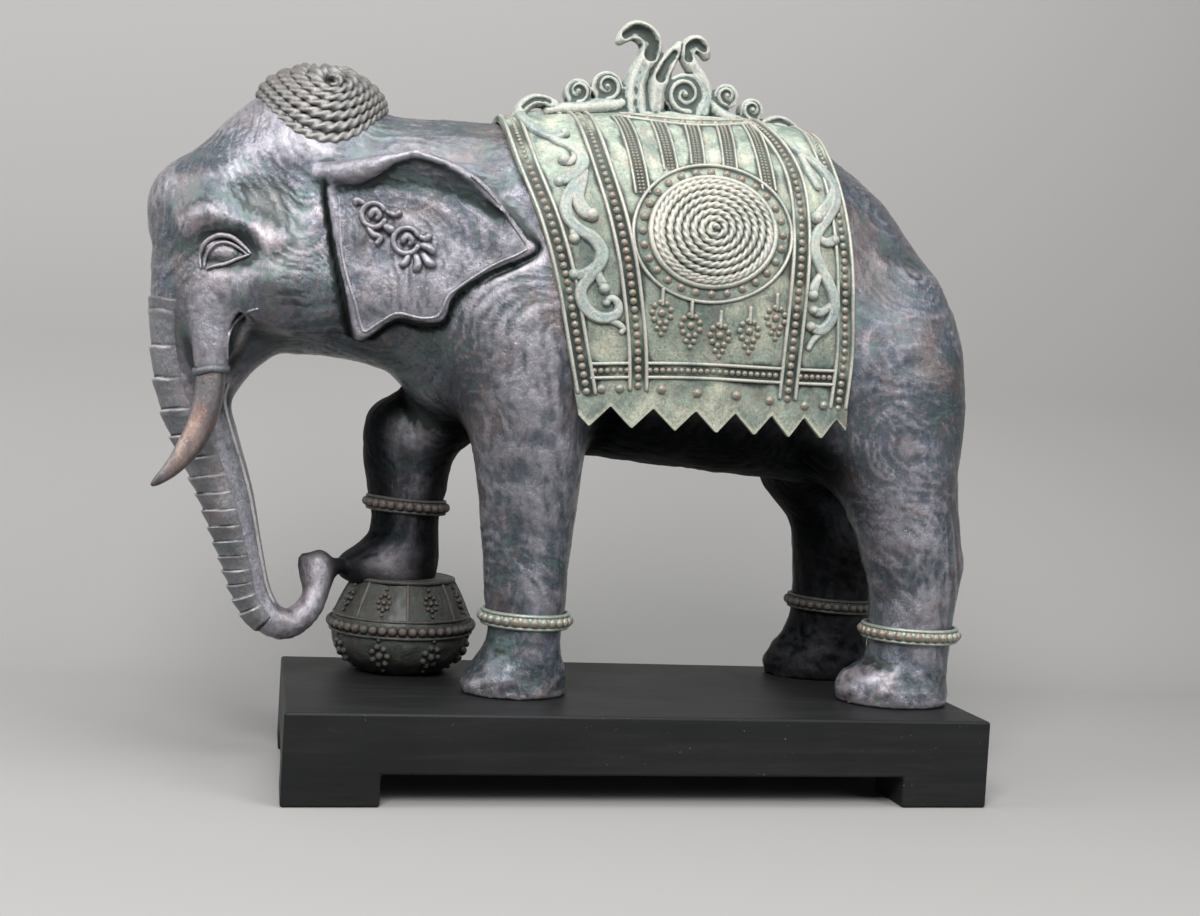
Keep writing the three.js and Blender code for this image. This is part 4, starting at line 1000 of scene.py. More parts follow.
Colour = tuple[float, float, float]


def opaque(colour: Colour) -> tuple[float, float, float, float]:
    """A colour with full cover."""
    return (*colour, 1.0)


def patina_group() -> bpy.types.NodeTree:
    """The painted patina that every cast piece shares.

    The ground drifts between two colours by broad noise. Bloom gathers in hollows where fine noise
    is high. The deep colour fills what wear marks as hollow, and the worn colour what it marks as raised.
    The shade value darkens and roughens the colour toward near black, as painted shade.

    Returns:
        The group, with Colour, Roughness and Height outputs.
    """
    tree = bpy.data.node_groups.new("patina", "ShaderNodeTree")
    face = tree.interface
    colours = ("Ground", "Drift", "Tint", "Bloom", "Deep", "Worn")
    values = ("Tint amount", "Bloom amount", "Deep amount", "Worn amount", "Scale", "Streak", "Wear", "Shade",
              "Gloss")
    face.new_socket("Vector", in_out="INPUT", socket_type="NodeSocketVector")
    for name in colours:
        face.new_socket(name, in_out="INPUT", socket_type="NodeSocketColor")
    for name in values:
        face.new_socket(name, in_out="INPUT", socket_type="NodeSocketFloat")
    face.new_socket("Colour", in_out="OUTPUT", socket_type="NodeSocketColor")
    face.new_socket("Roughness", in_out="OUTPUT", socket_type="NodeSocketFloat")
    face.new_socket("Height", in_out="OUTPUT", socket_type="NodeSocketFloat")
    graph = Graph(tree)
    given = graph.node("NodeGroupInput").outputs
    vector, scale, wear = given["Vector"], given["Scale"], given["Wear"]
    broad = graph.noise(vector, scale, 5.0, 0.6, 0.6)
    middle = graph.noise(vector, graph.math("MULTIPLY", scale, 4.2), 7.0, 0.66, 0.4)
    fine = graph.noise(vector, graph.math("MULTIPLY", scale, 22.0), 6.0, 0.7)
    drawn = graph.node("ShaderNodeMapping", {"Vector": vector, "Rotation": (0.0, 0.35, 0.0),
                                             "Scale": (2.4, 2.4, 1.0)}).outputs[0]
    streak = graph.noise(drawn, graph.math("MULTIPLY", scale, 5.0), 8.0, 0.74, 2.2)
    moved = graph.node("ShaderNodeMapping", {"Vector": vector, "Location": (3.1, 7.7, 1.3)}).outputs[0]
    stain = graph.noise(moved, graph.math("MULTIPLY", scale, 2.3), 6.0, 0.68, 0.9)
    stroke = graph.math("SUBTRACT", streak, 0.5)
    patch = graph.math("ADD", broad, graph.math("MULTIPLY", stroke, given["Streak"]))
    colour = graph.mix(graph.step(patch, 0.28, 0.74), given["Ground"], given["Drift"])
    tint = graph.math("MULTIPLY", graph.step(stain, 0.47, 0.66), given["Tint amount"], clamp=True)
    colour = graph.mix(tint, colour, given["Tint"])
    hollow = graph.math("SUBTRACT", 0.5, wear)
    settle = graph.math("ADD", middle, graph.math("MULTIPLY", hollow, 0.55))
    bloom = graph.math("MULTIPLY", graph.step(settle, 0.47, 0.70), given["Bloom amount"], clamp=True)
    colour = graph.mix(bloom, colour, given["Bloom"])
    rub = graph.math("MULTIPLY", graph.math("SUBTRACT", broad, 0.5), 0.8)
    rub = graph.math("ADD", graph.math("SUBTRACT", wear, 0.5), rub)
    rub = graph.math("ADD", rub, graph.math("MULTIPLY", stroke, 0.5))
    worn = graph.math("MULTIPLY", graph.step(rub, 0.03, 0.46), given["Worn amount"], clamp=True)
    colour = graph.mix(worn, colour, given["Worn"])
    sunk = graph.math("ADD", hollow, graph.math("MULTIPLY", graph.math("SUBTRACT", fine, 0.5), 0.22))
    deep = graph.math("MULTIPLY", graph.step(sunk, 0.04, 0.34), given["Deep amount"], clamp=True)
    colour = graph.mix(deep, colour, given["Deep"])
    speckle = graph.step(fine, 0.30, 0.62)
    pitted = graph.math("SUBTRACT", 0.34, graph.math("MULTIPLY", speckle, 0.34))
    colour = graph.mix(pitted, colour, given["Deep"])
    # painted shade: where the shade value is low, the colour is mixed toward a near-black deep colour and
    # roughened
    dim = graph.math("SUBTRACT", 1.0, given["Shade"])
    shadow = graph.mix(0.86, given["Deep"], (0, 0, 0, 1))
    colour = graph.mix(graph.math("MULTIPLY", dim, 0.94), colour, shadow)
    rough = graph.math("ADD", given["Gloss"], graph.math("MULTIPLY", bloom, 0.22))
    rough = graph.math("ADD", rough, graph.math("MULTIPLY", dim, 0.4))
    rough = graph.math("ADD", rough, graph.math("MULTIPLY", deep, 0.16))
    uneven = graph.math("MULTIPLY", graph.math("SUBTRACT", middle, 0.5), 0.28)
    rough = graph.math("ADD", rough, uneven, clamp=True)
    height = graph.math("ADD", graph.math("MULTIPLY", middle, 0.6), graph.math("MULTIPLY", fine, 0.4))
    height = graph.math("ADD", height, graph.math("MULTIPLY", streak, 0.35))
    graph.node("NodeGroupOutput", {"Colour": colour, "Roughness": rough, "Height": height})
    return tree


@dataclass(frozen=True)
class Patina:
    """One patinated finish: its colours and how much of each shows."""

    name: str
    ground: Colour
    drift: Colour
    tint: Colour
    bloom: Colour
    deep: Colour
    worn: Colour
    tint_amount: float = 0.35
    bloom_amount: float = 0.6
    deep_amount: float = 0.9
    worn_amount: float = 0.7
    scale: float = 14.0
    streak: float = 0.5
    gloss: float = 0.36
    metal: float = 0.35
    bump: float = 0.35
    depth: float = 0.0016
    coat: float = 0.15

    def material(self, group: bpy.types.NodeTree) -> bpy.types.Material:
        """The finish as a material on Object coordinates and the pieces' wear and shade.

        Args:
            group: the shared patina.

        Returns:
            The material.
        """
        made = bpy.data.materials.new(self.name)
        made.use_nodes = True
        made.node_tree.nodes.clear()
        graph = Graph(made.node_tree)
        vector = graph.node("ShaderNodeTexCoord").outputs["Object"]
        wear = graph.node("ShaderNodeAttribute", attribute_name="wear").outputs["Fac"]
        shade = graph.node("ShaderNodeAttribute", attribute_name="shade").outputs["Fac"]
        coat = graph.node("ShaderNodeGroup", node_tree=group)
        plain = {
            "Ground": opaque(self.ground), "Drift": opaque(self.drift), "Bloom": opaque(self.bloom),
            "Tint": opaque(self.tint), "Tint amount": self.tint_amount, "Deep": opaque(self.deep),
            "Worn": opaque(self.worn), "Bloom amount": self.bloom_amount,
            "Deep amount": self.deep_amount, "Worn amount": self.worn_amount, "Scale": self.scale,
            "Streak": self.streak, "Gloss": self.gloss,
        }
        for key, value in plain.items():
            coat.inputs[key].default_value = value
        for key, socket in (("Vector", vector), ("Wear", wear), ("Shade", shade)):
            graph.tree.links.new(socket, coat.inputs[key])
        bump = graph.node("ShaderNodeBump", {"Height": coat.outputs["Height"], "Strength": self.bump,
                                             "Distance": self.depth}).outputs[0]
        # painted shade: where the shade value is low, metallic rises to 1 and the coat falls away, so the
        # reflection darkens with the colour
        body = graph.node("ShaderNodeBsdfPrincipled", {
            "Base Color": coat.outputs["Colour"], "Roughness": coat.outputs["Roughness"], "Normal": bump,
            "Metallic": graph.math("SUBTRACT", 1.0, graph.math("MULTIPLY", shade, 1.0 - self.metal)),
            "Coat Weight": graph.math("MULTIPLY", shade, self.coat), "Coat Roughness": 0.32,
        })
        graph.node("ShaderNodeOutputMaterial", {"Surface": body.outputs[0]})
        return made


SKIN = Patina("skin_patina", ground=(0.030, 0.044, 0.054), drift=(0.105, 0.112, 0.138),
              tint=(0.15, 0.095, 0.078), bloom=(0.08, 0.145, 0.125), deep=(0.006, 0.009, 0.010),
              worn=(0.40, 0.37, 0.405), tint_amount=0.45, bloom_amount=0.6, worn_amount=0.45, scale=9.0,
              streak=0.65, gloss=0.27, metal=0.45, bump=0.7, depth=0.003, coat=0.35)
PLATES = Patina("trunk_bronze", ground=(0.078, 0.086, 0.098), drift=(0.20, 0.192, 0.208),
                tint=(0.17, 0.11, 0.09), bloom=(0.13, 0.165, 0.16), deep=(0.010, 0.011, 0.011),
                worn=(0.40, 0.37, 0.37), bloom_amount=0.4, worn_amount=0.85, scale=20.0, gloss=0.38,
                metal=0.3, bump=0.7, depth=0.003, coat=0.15)
CLOTH = Patina("cloth_verdigris", ground=(0.105, 0.15, 0.13), drift=(0.33, 0.36, 0.29),
               tint=(0.34, 0.235, 0.185), bloom=(0.43, 0.52, 0.42), deep=(0.016, 0.024, 0.021),
               worn=(0.66, 0.66, 0.50), tint_amount=0.36, bloom_amount=0.55, worn_amount=0.62, scale=24.0,
               gloss=0.5, metal=0.1, bump=0.8, depth=0.0024, coat=0.05)
TRIM = Patina("trim_copper", ground=(0.18, 0.21, 0.18), drift=(0.27, 0.30, 0.25), tint=(0.20, 0.12, 0.09),
              bloom=(0.34, 0.40, 0.32), deep=(0.012, 0.016, 0.014), worn=(0.165, 0.085, 0.055),
              bloom_amount=0.5, worn_amount=0.75, scale=40.0, gloss=0.36, metal=0.25, bump=0.3)
COIL = Patina("medallion_rope", ground=(0.14, 0.165, 0.145), drift=(0.23, 0.245, 0.205),
              tint=(0.24, 0.16, 0.12), bloom=(0.30, 0.35, 0.29), deep=(0.014, 0.018, 0.016),
              worn=(0.42, 0.39, 0.34), bloom_amount=0.5, worn_amount=0.6, scale=30.0, gloss=0.42, metal=0.2,
              bump=0.4)
ROPE = Patina("rope_bronze", ground=(0.055, 0.06, 0.06), drift=(0.095, 0.098, 0.093), tint=(0.11, 0.06, 0.05),
              bloom=(0.12, 0.155, 0.14), deep=(0.006, 0.008, 0.007), worn=(0.21, 0.195, 0.185),
              bloom_amount=0.45, worn_amount=0.6, scale=26.0, gloss=0.34, metal=0.4, bump=0.5)
CREST = replace(CLOTH, name="crest_verdigris", ground=(0.13, 0.18, 0.175), drift=(0.27, 0.325, 0.295),
                worn=(0.43, 0.41, 0.35), tint_amount=0.35)
# Near black: the pot's own dark colour with painted shade in it; the far anklets wear it as painted shade.
DARK_AND_SHADED = Patina("pot_dark_and_shaded", ground=(0.024, 0.027, 0.024), drift=(0.042, 0.041, 0.036), tint=(0.06, 0.038, 0.03),
              bloom=(0.058, 0.08, 0.062), deep=(0.004, 0.005, 0.004), worn=(0.135, 0.10, 0.082),
              bloom_amount=0.55, worn_amount=0.55, scale=26.0, gloss=0.5, metal=0.2, bump=0.8, depth=0.003)
TUSK = Patina("tusk_copper", ground=(0.085, 0.082, 0.088), drift=(0.13, 0.105, 0.10),
              tint=(0.17, 0.09, 0.065), bloom=(0.13, 0.14, 0.145), deep=(0.016, 0.015, 0.014),
              worn=(0.36, 0.25, 0.20), tint_amount=0.7, bloom_amount=0.4, worn_amount=0.65, scale=20.0,
              streak=0.9, gloss=0.3, metal=0.4, bump=0.5, depth=0.0024, coat=0.25)


# Carved skin of the figure

class Half(Enum):
    """The two ends that the skin is split into under the saddle cloth."""

    FRONT = "front"
    REAR = "rear"


BODY = Outline(
    (-331, 271), (-336, 296), (-337, 318), (-329, 337), (-307, 355), (-285, 379), (-262, 397),
    (-236, 404), (-210, 399), (-188, 388), (-150, 387), (-109, 388), (-60, 395), (0, 401),
    (60, 403), (105, 400), (130, 387), (166, 363), (186, 343), (206, 320), (220, 297), (231, 268),
    (238, 238), (240, 205), (233, 175), (214, 152), (178, 148), (120, 152), (60, 156), (0, 159),
    (-50, 166), (-110, 176), (-150, 191), (-180, 214), (-220, 220), (-246, 221), (-262, 210),
    (-278, 193), (-296, 197), (-318, 220), (-327, 245),
)
BODY_WIDTH = Profile(
    (-345, 40, 40), (-315, 47, 46), (-275, 53, 52), (-235, 58, 56), (-190, 60, 62), (-150, 66, 80),
    (-105, 76, 100), (-50, 83, 112), (20, 86, 116), (95, 86, 116), (150, 82, 110), (205, 74, 100),
    (255, 66, 90),
)
MUZZLE_NARROWING = 0.42
CROWN_NARROWING = 0.2


def half_width(x: Array, z: Array) -> Array:
    """Half the body's width where nothing curves in: the profile, drawn in at muzzle and crown.

    Args:
        x: places along the body.
        z: heights.

    Returns:
        The half widths.
    """
    muzzle = ease(-215, -265, x) * ease(262, 196, z)
    crown = ease(-165, -200, x) * ease(325, 392, z)
    return BODY_WIDTH(x) * (1 - MUZZLE_NARROWING * muzzle - CROWN_NARROWING * crown)


def body_distance(x: Array, y: Array, z: Array) -> Array:
    """The barrel of the body, the neck and the head."""
    return side_distance(BODY(x, z), y, half_width(x, z), BODY_WIDTH(x, 1))


TRUNK = (
    (-300, 0, 262, 33), (-307, 0, 236, 24.5), (-306, 0, 208, 22.5), (-300, 0, 181, 21.5),
    (-290, 0, 155, 19.5), (-279, 0, 128, 17.5), (-271, 0, 102, 15.5), (-264, 0, 78, 13.5),
    (-257, 0, 56, 12), (-247, 0, 41, 11.5), (-234, 2, 36, 11), (-222, 8, 43, 10),
    (-215, 14, 56, 9), (-214, 18, 68, 9.5), (-214, 20, 76, 10),
)


@dataclass
class Skin:
    """The figure's own surface, with all that is modelled on it but the dress."""

    split_x: float = 16.0
    lump_size: float = 34.0
    lump_lift: float = 1.25
    dent_lift: float = 0.8
    scratch_lift: float = 0.42
    # Painted highlights and painted shade: rows of x, z, reach and how far the wear is raised or lowered
    # there, raised for painted highlights such as on the forehead and ear, lowered for painted shade such as
    # on the cheek.
    painted_highlight_and_shade_spots: tuple[tuple[float, ...], ...] = (
        (-258, 376, 36, 0.30), (-160, 292, 44, 0.30), (-244, 262, 26, -0.42), (-84, 232, 34, 0.24),
        (-262, 318, 20, -0.18), (-292, 252, 18, 0.2), (-176, 178, 36, -0.3))
    fold_line: Profile = field(default_factory=lambda: Profile(
        (-228, 333), (-206, 330), (-176, 331), (-150, 328), (-125, 318), (-100, 306)))
    ear_stand: Profile = field(default_factory=lambda: Profile(
        (-230, 60), (-205, 67), (-180, 73), (-150, 77), (-120, 81), (-85, 84)))
    ear: Outline = field(default_factory=lambda: Outline(
        (-222, 334), (-219, 300), (-211, 266), (-203, 238), (-196, 232), (-176, 246), (-158, 244),
        (-146, 247), (-141, 262), (-122, 278), (-91, 295), (-97, 305), (-117, 328), (-140, 346),
        (-171, 351), (-196, 342)))

    def legs(self) -> list[tuple[Form, float]]:
        """The four legs and the raised knee, each with its fillet.

        Returns:
            Each form with its fillet.
        """
        near_hind = limb(
            (-8, 153, 229, -48, 32), (3, 150, 230, -48, 32.5), (10, 149, 230, -48, 32),
            (20, 154, 229, -48, 30), (29, 167, 229, -48, 28), (41, 171, 230, -48, 27.5),
            (58, 171, 232, -48, 28), (76, 170, 234, -48, 29), (99, 165, 236, -47, 31),
            (124, 154, 233, -46, 34), (155, 137, 230, -44, 38), (185, 119, 231, -43, 41),
            (225, 110, 231, -42, 42), (265, 120, 223, -40, 38), (300, 140, 205, -36, 30))
        far_hind = limb(
            (-8, 133, 213, 55, 31), (3, 130, 214, 55, 31.5), (10, 129, 213, 55, 31), (20, 134, 212, 55, 30),
            (30, 144, 211, 55, 28), (42, 149, 211, 55, 27.5), (58, 150, 211, 54, 28), (76, 149, 213, 53, 29),
            (97, 147, 216, 51, 31), (120, 140, 218, 48, 34), (145, 118, 223, 45, 38), (185, 106, 230, 43, 41),
            (225, 108, 231, 42, 42), (265, 120, 223, 40, 38), (300, 140, 205, 36, 30))
        near_fore = limb(
            (-8, -117, -45, -37, 30), (3, -118, -45, -37, 31), (8, -118, -46, -37, 30.5),
            (18, -111, -47, -37, 29), (28, -104, -49, -37, 27.5), (41, -101, -50, -37, 26.5),
            (63, -103, -48, -37, 27), (90, -106, -48, -37, 28.5), (130, -113, -45, -38, 32),
            (170, -121, -41, -40, 37), (205, -132, -36, -42, 40), (245, -146, -34, -42, 41),
            (285, -150, -50, -40, 38), (325, -140, -70, -34, 30))
        raised = limb(
            (60, -190, -132, 43, 25), (68, -198, -128, 43, 28), (76, -199, -127, 43, 29),
            (86, -189, -127, 43, 28), (97, -180, -128, 43, 26), (111, -178, -128, 43, 25.5),
            (126, -181, -125, 43, 27), (148, -185, -122, 43, 29), (160, -184, -116, 43, 31),
            (172, -180, -100, 43, 34), (186, -169, -78, 43, 37), (205, -158, -60, 43, 39),
            (245, -148, -46, 42, 40), (285, -142, -60, 40, 37), (320, -132, -80, 34, 29))
        return [(near_hind, 22), (far_hind, 22), (near_fore, 20), (raised, 18),
                (ball(-158, 43, 172, 27, 28, 22, 0.5), 14)]

    def head(self) -> list[tuple[Form, float]]:
        """The forms joined on the head: skull, cheeks, tusk sheaths and brows.

        Returns:
            Each form with its fillet.
        """
        return [
            (ball(-228, 0, 362, 42, 44, 42), 14),
            (ball(-246, 43, 262, 33, 20, 27, 0.2).mirrored(), 16),
            (bar([(-288, 30, 262, 20), (-291, 34, 240, 16), (-291, 36, 224, 13.5), (-291, 36.5, 212, 11.5)])
             .mirrored(), 12),
            (bar([(-306, 40, 299, 8), (-292, 47, 306, 10), (-272, 50, 304, 9),
                  (-258, 52, 292, 7)]).mirrored(), 12),
        ]

    def hollows(self) -> list[tuple[Form, float]]:
        """The forms taken out of the head: temples, eye sockets and the groove behind the sheaths.

        Returns:
            Each form with its fillet.
        """
        return [
            (ball(-262, 66, 330, 30, 16, 26, -0.5).mirrored(), 16),
            (ball(-287, 60, 284, 21, 12, 13, 0.1).mirrored(), 8),
            (bar([(-271, 46, 252, 3), (-276, 42, 236, 3.5), (-277, 36, 218, 4),
                  (-277, 30, 204, 4)]).mirrored(), 4),
        ]

    def ears(self) -> Form:
        """The ear plates: creased from front to back, and flared outward above the fold.

        Returns:
            The form.
        """
        def distance(x: Array, y: Array, z: Array) -> Array:
            """How far a place lies outside the plate's edge or off its stand."""
            depth = self.ear(x, z)
            crease = 2.0 * np.sin((x + 0.6 * z) / 9) * ease(0, 20, depth) * ease(320, 300, z)
            flare = 9.5 * ease(0, 17, z - self.fold_line(x)) * ease(-226, -204, x) * ease(-98, -135, x)
            out = np.abs(y) - self.ear_stand(x) + 5 * ease(262, 236, z) - 0.35 * crease - flare
            return smooth_max(smooth_max(-depth, out * 0.94, 2.2), 40 - np.abs(y), 4.0)

        return Form(np.array([-224.0, -98, 228]), np.array([-88.0, 98, 356]), distance)

    def ear_gap(self) -> Form:
        """A narrow groove round the ear's edge, as deep as the plate is thick.

        Returns:
            The form.
        """
        def distance(x: Array, y: Array, z: Array) -> Array:
            """How far a place lies from a band just outside the edge, or under it."""
            depth = self.ear(x, z)
            deep = self.ear_stand(x) - 4.5 - np.abs(y)
            return np.maximum(np.abs(depth + 2.2) - 1.9, deep) + 3 * ease(318, 330, z) * ease(-150, -200, x)

        return Form(np.array([-230.0, -96, 226]), np.array([-84.0, 96, 356]), distance)

    def added(self) -> list[tuple[Form, float]]:
        """The forms laid on last: eyes, trunk tips, ears and tail.

        Returns:
            Each form with its fillet.
        """
        return [
            (ball(-287, 44.5, 283, 15, 7.5, 9, 0.12).mirrored(), 1.5),
            (bar([(-219, 18, 66, 6), (-223, 20, 74, 5), (-225, 20, 80, 3.5)]), 5),
            (bar([(-212, 20, 68, 7), (-206, 24, 73, 6), (-200, 28, 75, 5)]), 5),
            (self.ears(), 2.5),
            (bar([(-229, 52, 338, 4), (-218, 62, 337, 7), (-205, 72, 338, 7.5), (-194, 79, 342, 5.5),
                  (-184, 84, 346, 3), (-172, 87, 349.5, 1.6)]).mirrored(), 4),
            (bar([(-172, 88, 349.5, 2), (-150, 88, 344.5, 2.2), (-130, 87, 333, 2),
                  (-112, 86, 318, 1.6)]).mirrored(),
             3),
            (bar([(213, 0, 306, 9), (227, 2, 281, 8.5), (235, 5, 250, 7.5), (237, 8, 216, 7),
                  (235, 12, 184, 6.5), (231, 17, 160, 6), (229, 22, 140, 7.5), (227, 25, 122, 6),
                  (226, 26, 110, 3.5)]), 5),
        ]

    def field(self) -> Volume:
        """The whole figure's field, with finer steps over the head.

        Returns:
            The field.
        """
        volume = Volume(
            [(-350, -150, 2.1), (-150, 270, 2.9)],
            [(-100, -28, 2.2), (-28, 28, 2.8), (28, 100, 2.2)],
            [(-12, 60, 2.5), (60, 195, 2.9), (195, 416, 2.1)])
        x, y, z = (axis.reshape([-1 if a == n else 1 for a in range(3)]) for n,
                   axis in enumerate(volume.axes))
        volume.values = body_distance(x, y, z).astype(np.float32)
        for form, fillet in self.legs() + self.head():
            volume.join(form, fillet)
        volume.join(bar(TRUNK, 1.0, 3), 14)
        for form, fillet in self.hollows():
            volume.hollow(form, fillet)
        for form, fillet in self.added():
            volume.join(form, fillet)
        hollow = bar([(-208, 74, 327, 1.8), (-190, 79, 331, 3.2), (-172, 83, 334, 4.2), (-152, 84, 330, 3),
                      (-132, 83, 322, 1.6)])
        volume.hollow(hollow.mirrored(), 2)
        volume.hollow(self.ear_gap(), 1.0)
        flat = Form(np.array([-400.0, -200, -20]), np.array([300.0, 200, 8]), lambda x, y, z: z + 0 * x * y)
        volume.hollow(flat, 1.0)
        return volume

    def surface(self, volume: Volume) -> Surface:
        """The skin meshed, evened, then given hand-worked lumps, scratches and rough feet.

        Args:
            volume: the figure's field.

        Returns:
            The skin, with its wear and shade, which carry painted highlights and painted shade.
        """
        made = volume.surface()
        smoothed(made, 2)
        broad = relief(made, 14)
        normals = made.normals()
        lumps, marks = Grain(5), Grain(11)
        p = made.points
        lean = 0.9 * lumps.at(p, 60.0)
        drawn = np.stack([p[:, 0] + lean * p[:, 2], p[:, 1], 0.42 * (p[:, 2] - lean * p[:, 0])], axis=1)
        lift = self.lump_lift * lumps.layered(p, self.lump_size, 3)
        lift = lift + self.scratch_lift * marks.layered(drawn, 8.0, 3)
        lift -= self.dent_lift * np.maximum(marks.at(p, 19.0), 0.0)
        rough_foot = ease(46, 20, p[:, 2])
        lift += rough_foot * 0.9 * marks.layered(p * np.array([1.0, 1.0, 1.5]), 9.0, 3)
        calm = ease(-236, -250, p[:, 0]) * ease(262, 240, p[:, 2])
        lift *= ease(0.0, 3.0, p[:, 2]) * (1 - 0.8 * calm)
        made.points = p + normals * lift[:, None]
        fine = relief(made, 3)
        made.wear = 0.5 + 0.26 * np.tanh(fine / 0.2) + 0.26 * np.tanh(broad / 0.9)
        p = made.points
        # Painted shade: a dark line along the ear's groove, in both wear and shade; the feet are also made a
        # little darker.
        gap = np.exp(-((self.ear(p[:, 0], p[:, 2]) + 2.2) / 1.7)**2) * (np.abs(p[:, 1]) > 40)
        gap *= ease(4, -6, p[:, 2] - self.fold_line(p[:, 0]))
        made.wear -= 0.5 * gap + 0.14 * rough_foot
        # painted highlights and painted shade, as soft spots in the wear
        for x, z, reach, amount in self.painted_highlight_and_shade_spots:
            made.wear += amount * np.exp(-((p[:, 0] - x)**2 + (p[:, 2] - z)**2) / reach**2)
        # Painted shade: the far legs' sides that face the near side, and the belly's underside, are darkened
        # through the shade attribute.
        far = ease(4, 22, p[:, 1]) * ease(245, 200, p[:, 2]) * ease(0.5, 0.05, normals[:, 1])
        under = ease(0.1, 0.7, -normals[:, 2]) * ease(232, 205, p[:, 2])
        under = under * ease(118, 150, p[:, 2]) * ease(-150, -120, p[:, 0])
        made.shade = (1 - 0.96 * far) * (1 - 0.97 * under) * (1 - 0.9 * gap)
        return made

    def build(self, setting: Setting, material: bpy.types.Material) -> Volume:
        """Splits the skin under the cloth into two closed halves and makes them.

        Args:
            setting: where the statue lies in the frame.
            material: the finish.

        Returns:
            The skin's field, for what is laid on it.
        """
        volume = self.field()
        whole = self.surface(volume)
        quads = whole.faces[0]
        front = whole.points[quads, 0].mean(axis=1) < self.split_x
        for half in Half:
            part = capped(whole, quads[front if half is Half.FRONT else ~front])
            cast_piece(f"skin_{half.value}", part, setting, material, sharp=66)
        return volume


def capped(surface: Surface, quads: Array) -> Surface:
    """The part of a surface with the given quads, its open rim closed by a fan to the rim's middle.

    Args:
        surface: the whole surface.
        quads: the faces kept.

    Returns:
        The closed part.
    """
    used, faces = np.unique(quads, return_inverse=True)
    faces = faces.reshape(quads.shape)
    size = len(used)
    sides = np.stack([faces, np.roll(faces, -1, axis=1)], axis=2).reshape(-1, 2)
    forward, backward = sides[:, 0] * size + sides[:, 1], sides[:, 1] * size + sides[:, 0]
    rim = sides[~np.isin(forward, backward)]
    middle = surface.points[used][rim.ravel()].mean(axis=0)
    fan = np.stack([rim[:, 1], rim[:, 0], np.full(len(rim), size)], axis=1)
    points = np.vstack([surface.points[used], middle])
    wear, shade = np.append(surface.wear[used], 0.5), np.append(surface.shade[used], 1.0)
    return Surface(points, [faces, fan], wear, shade)


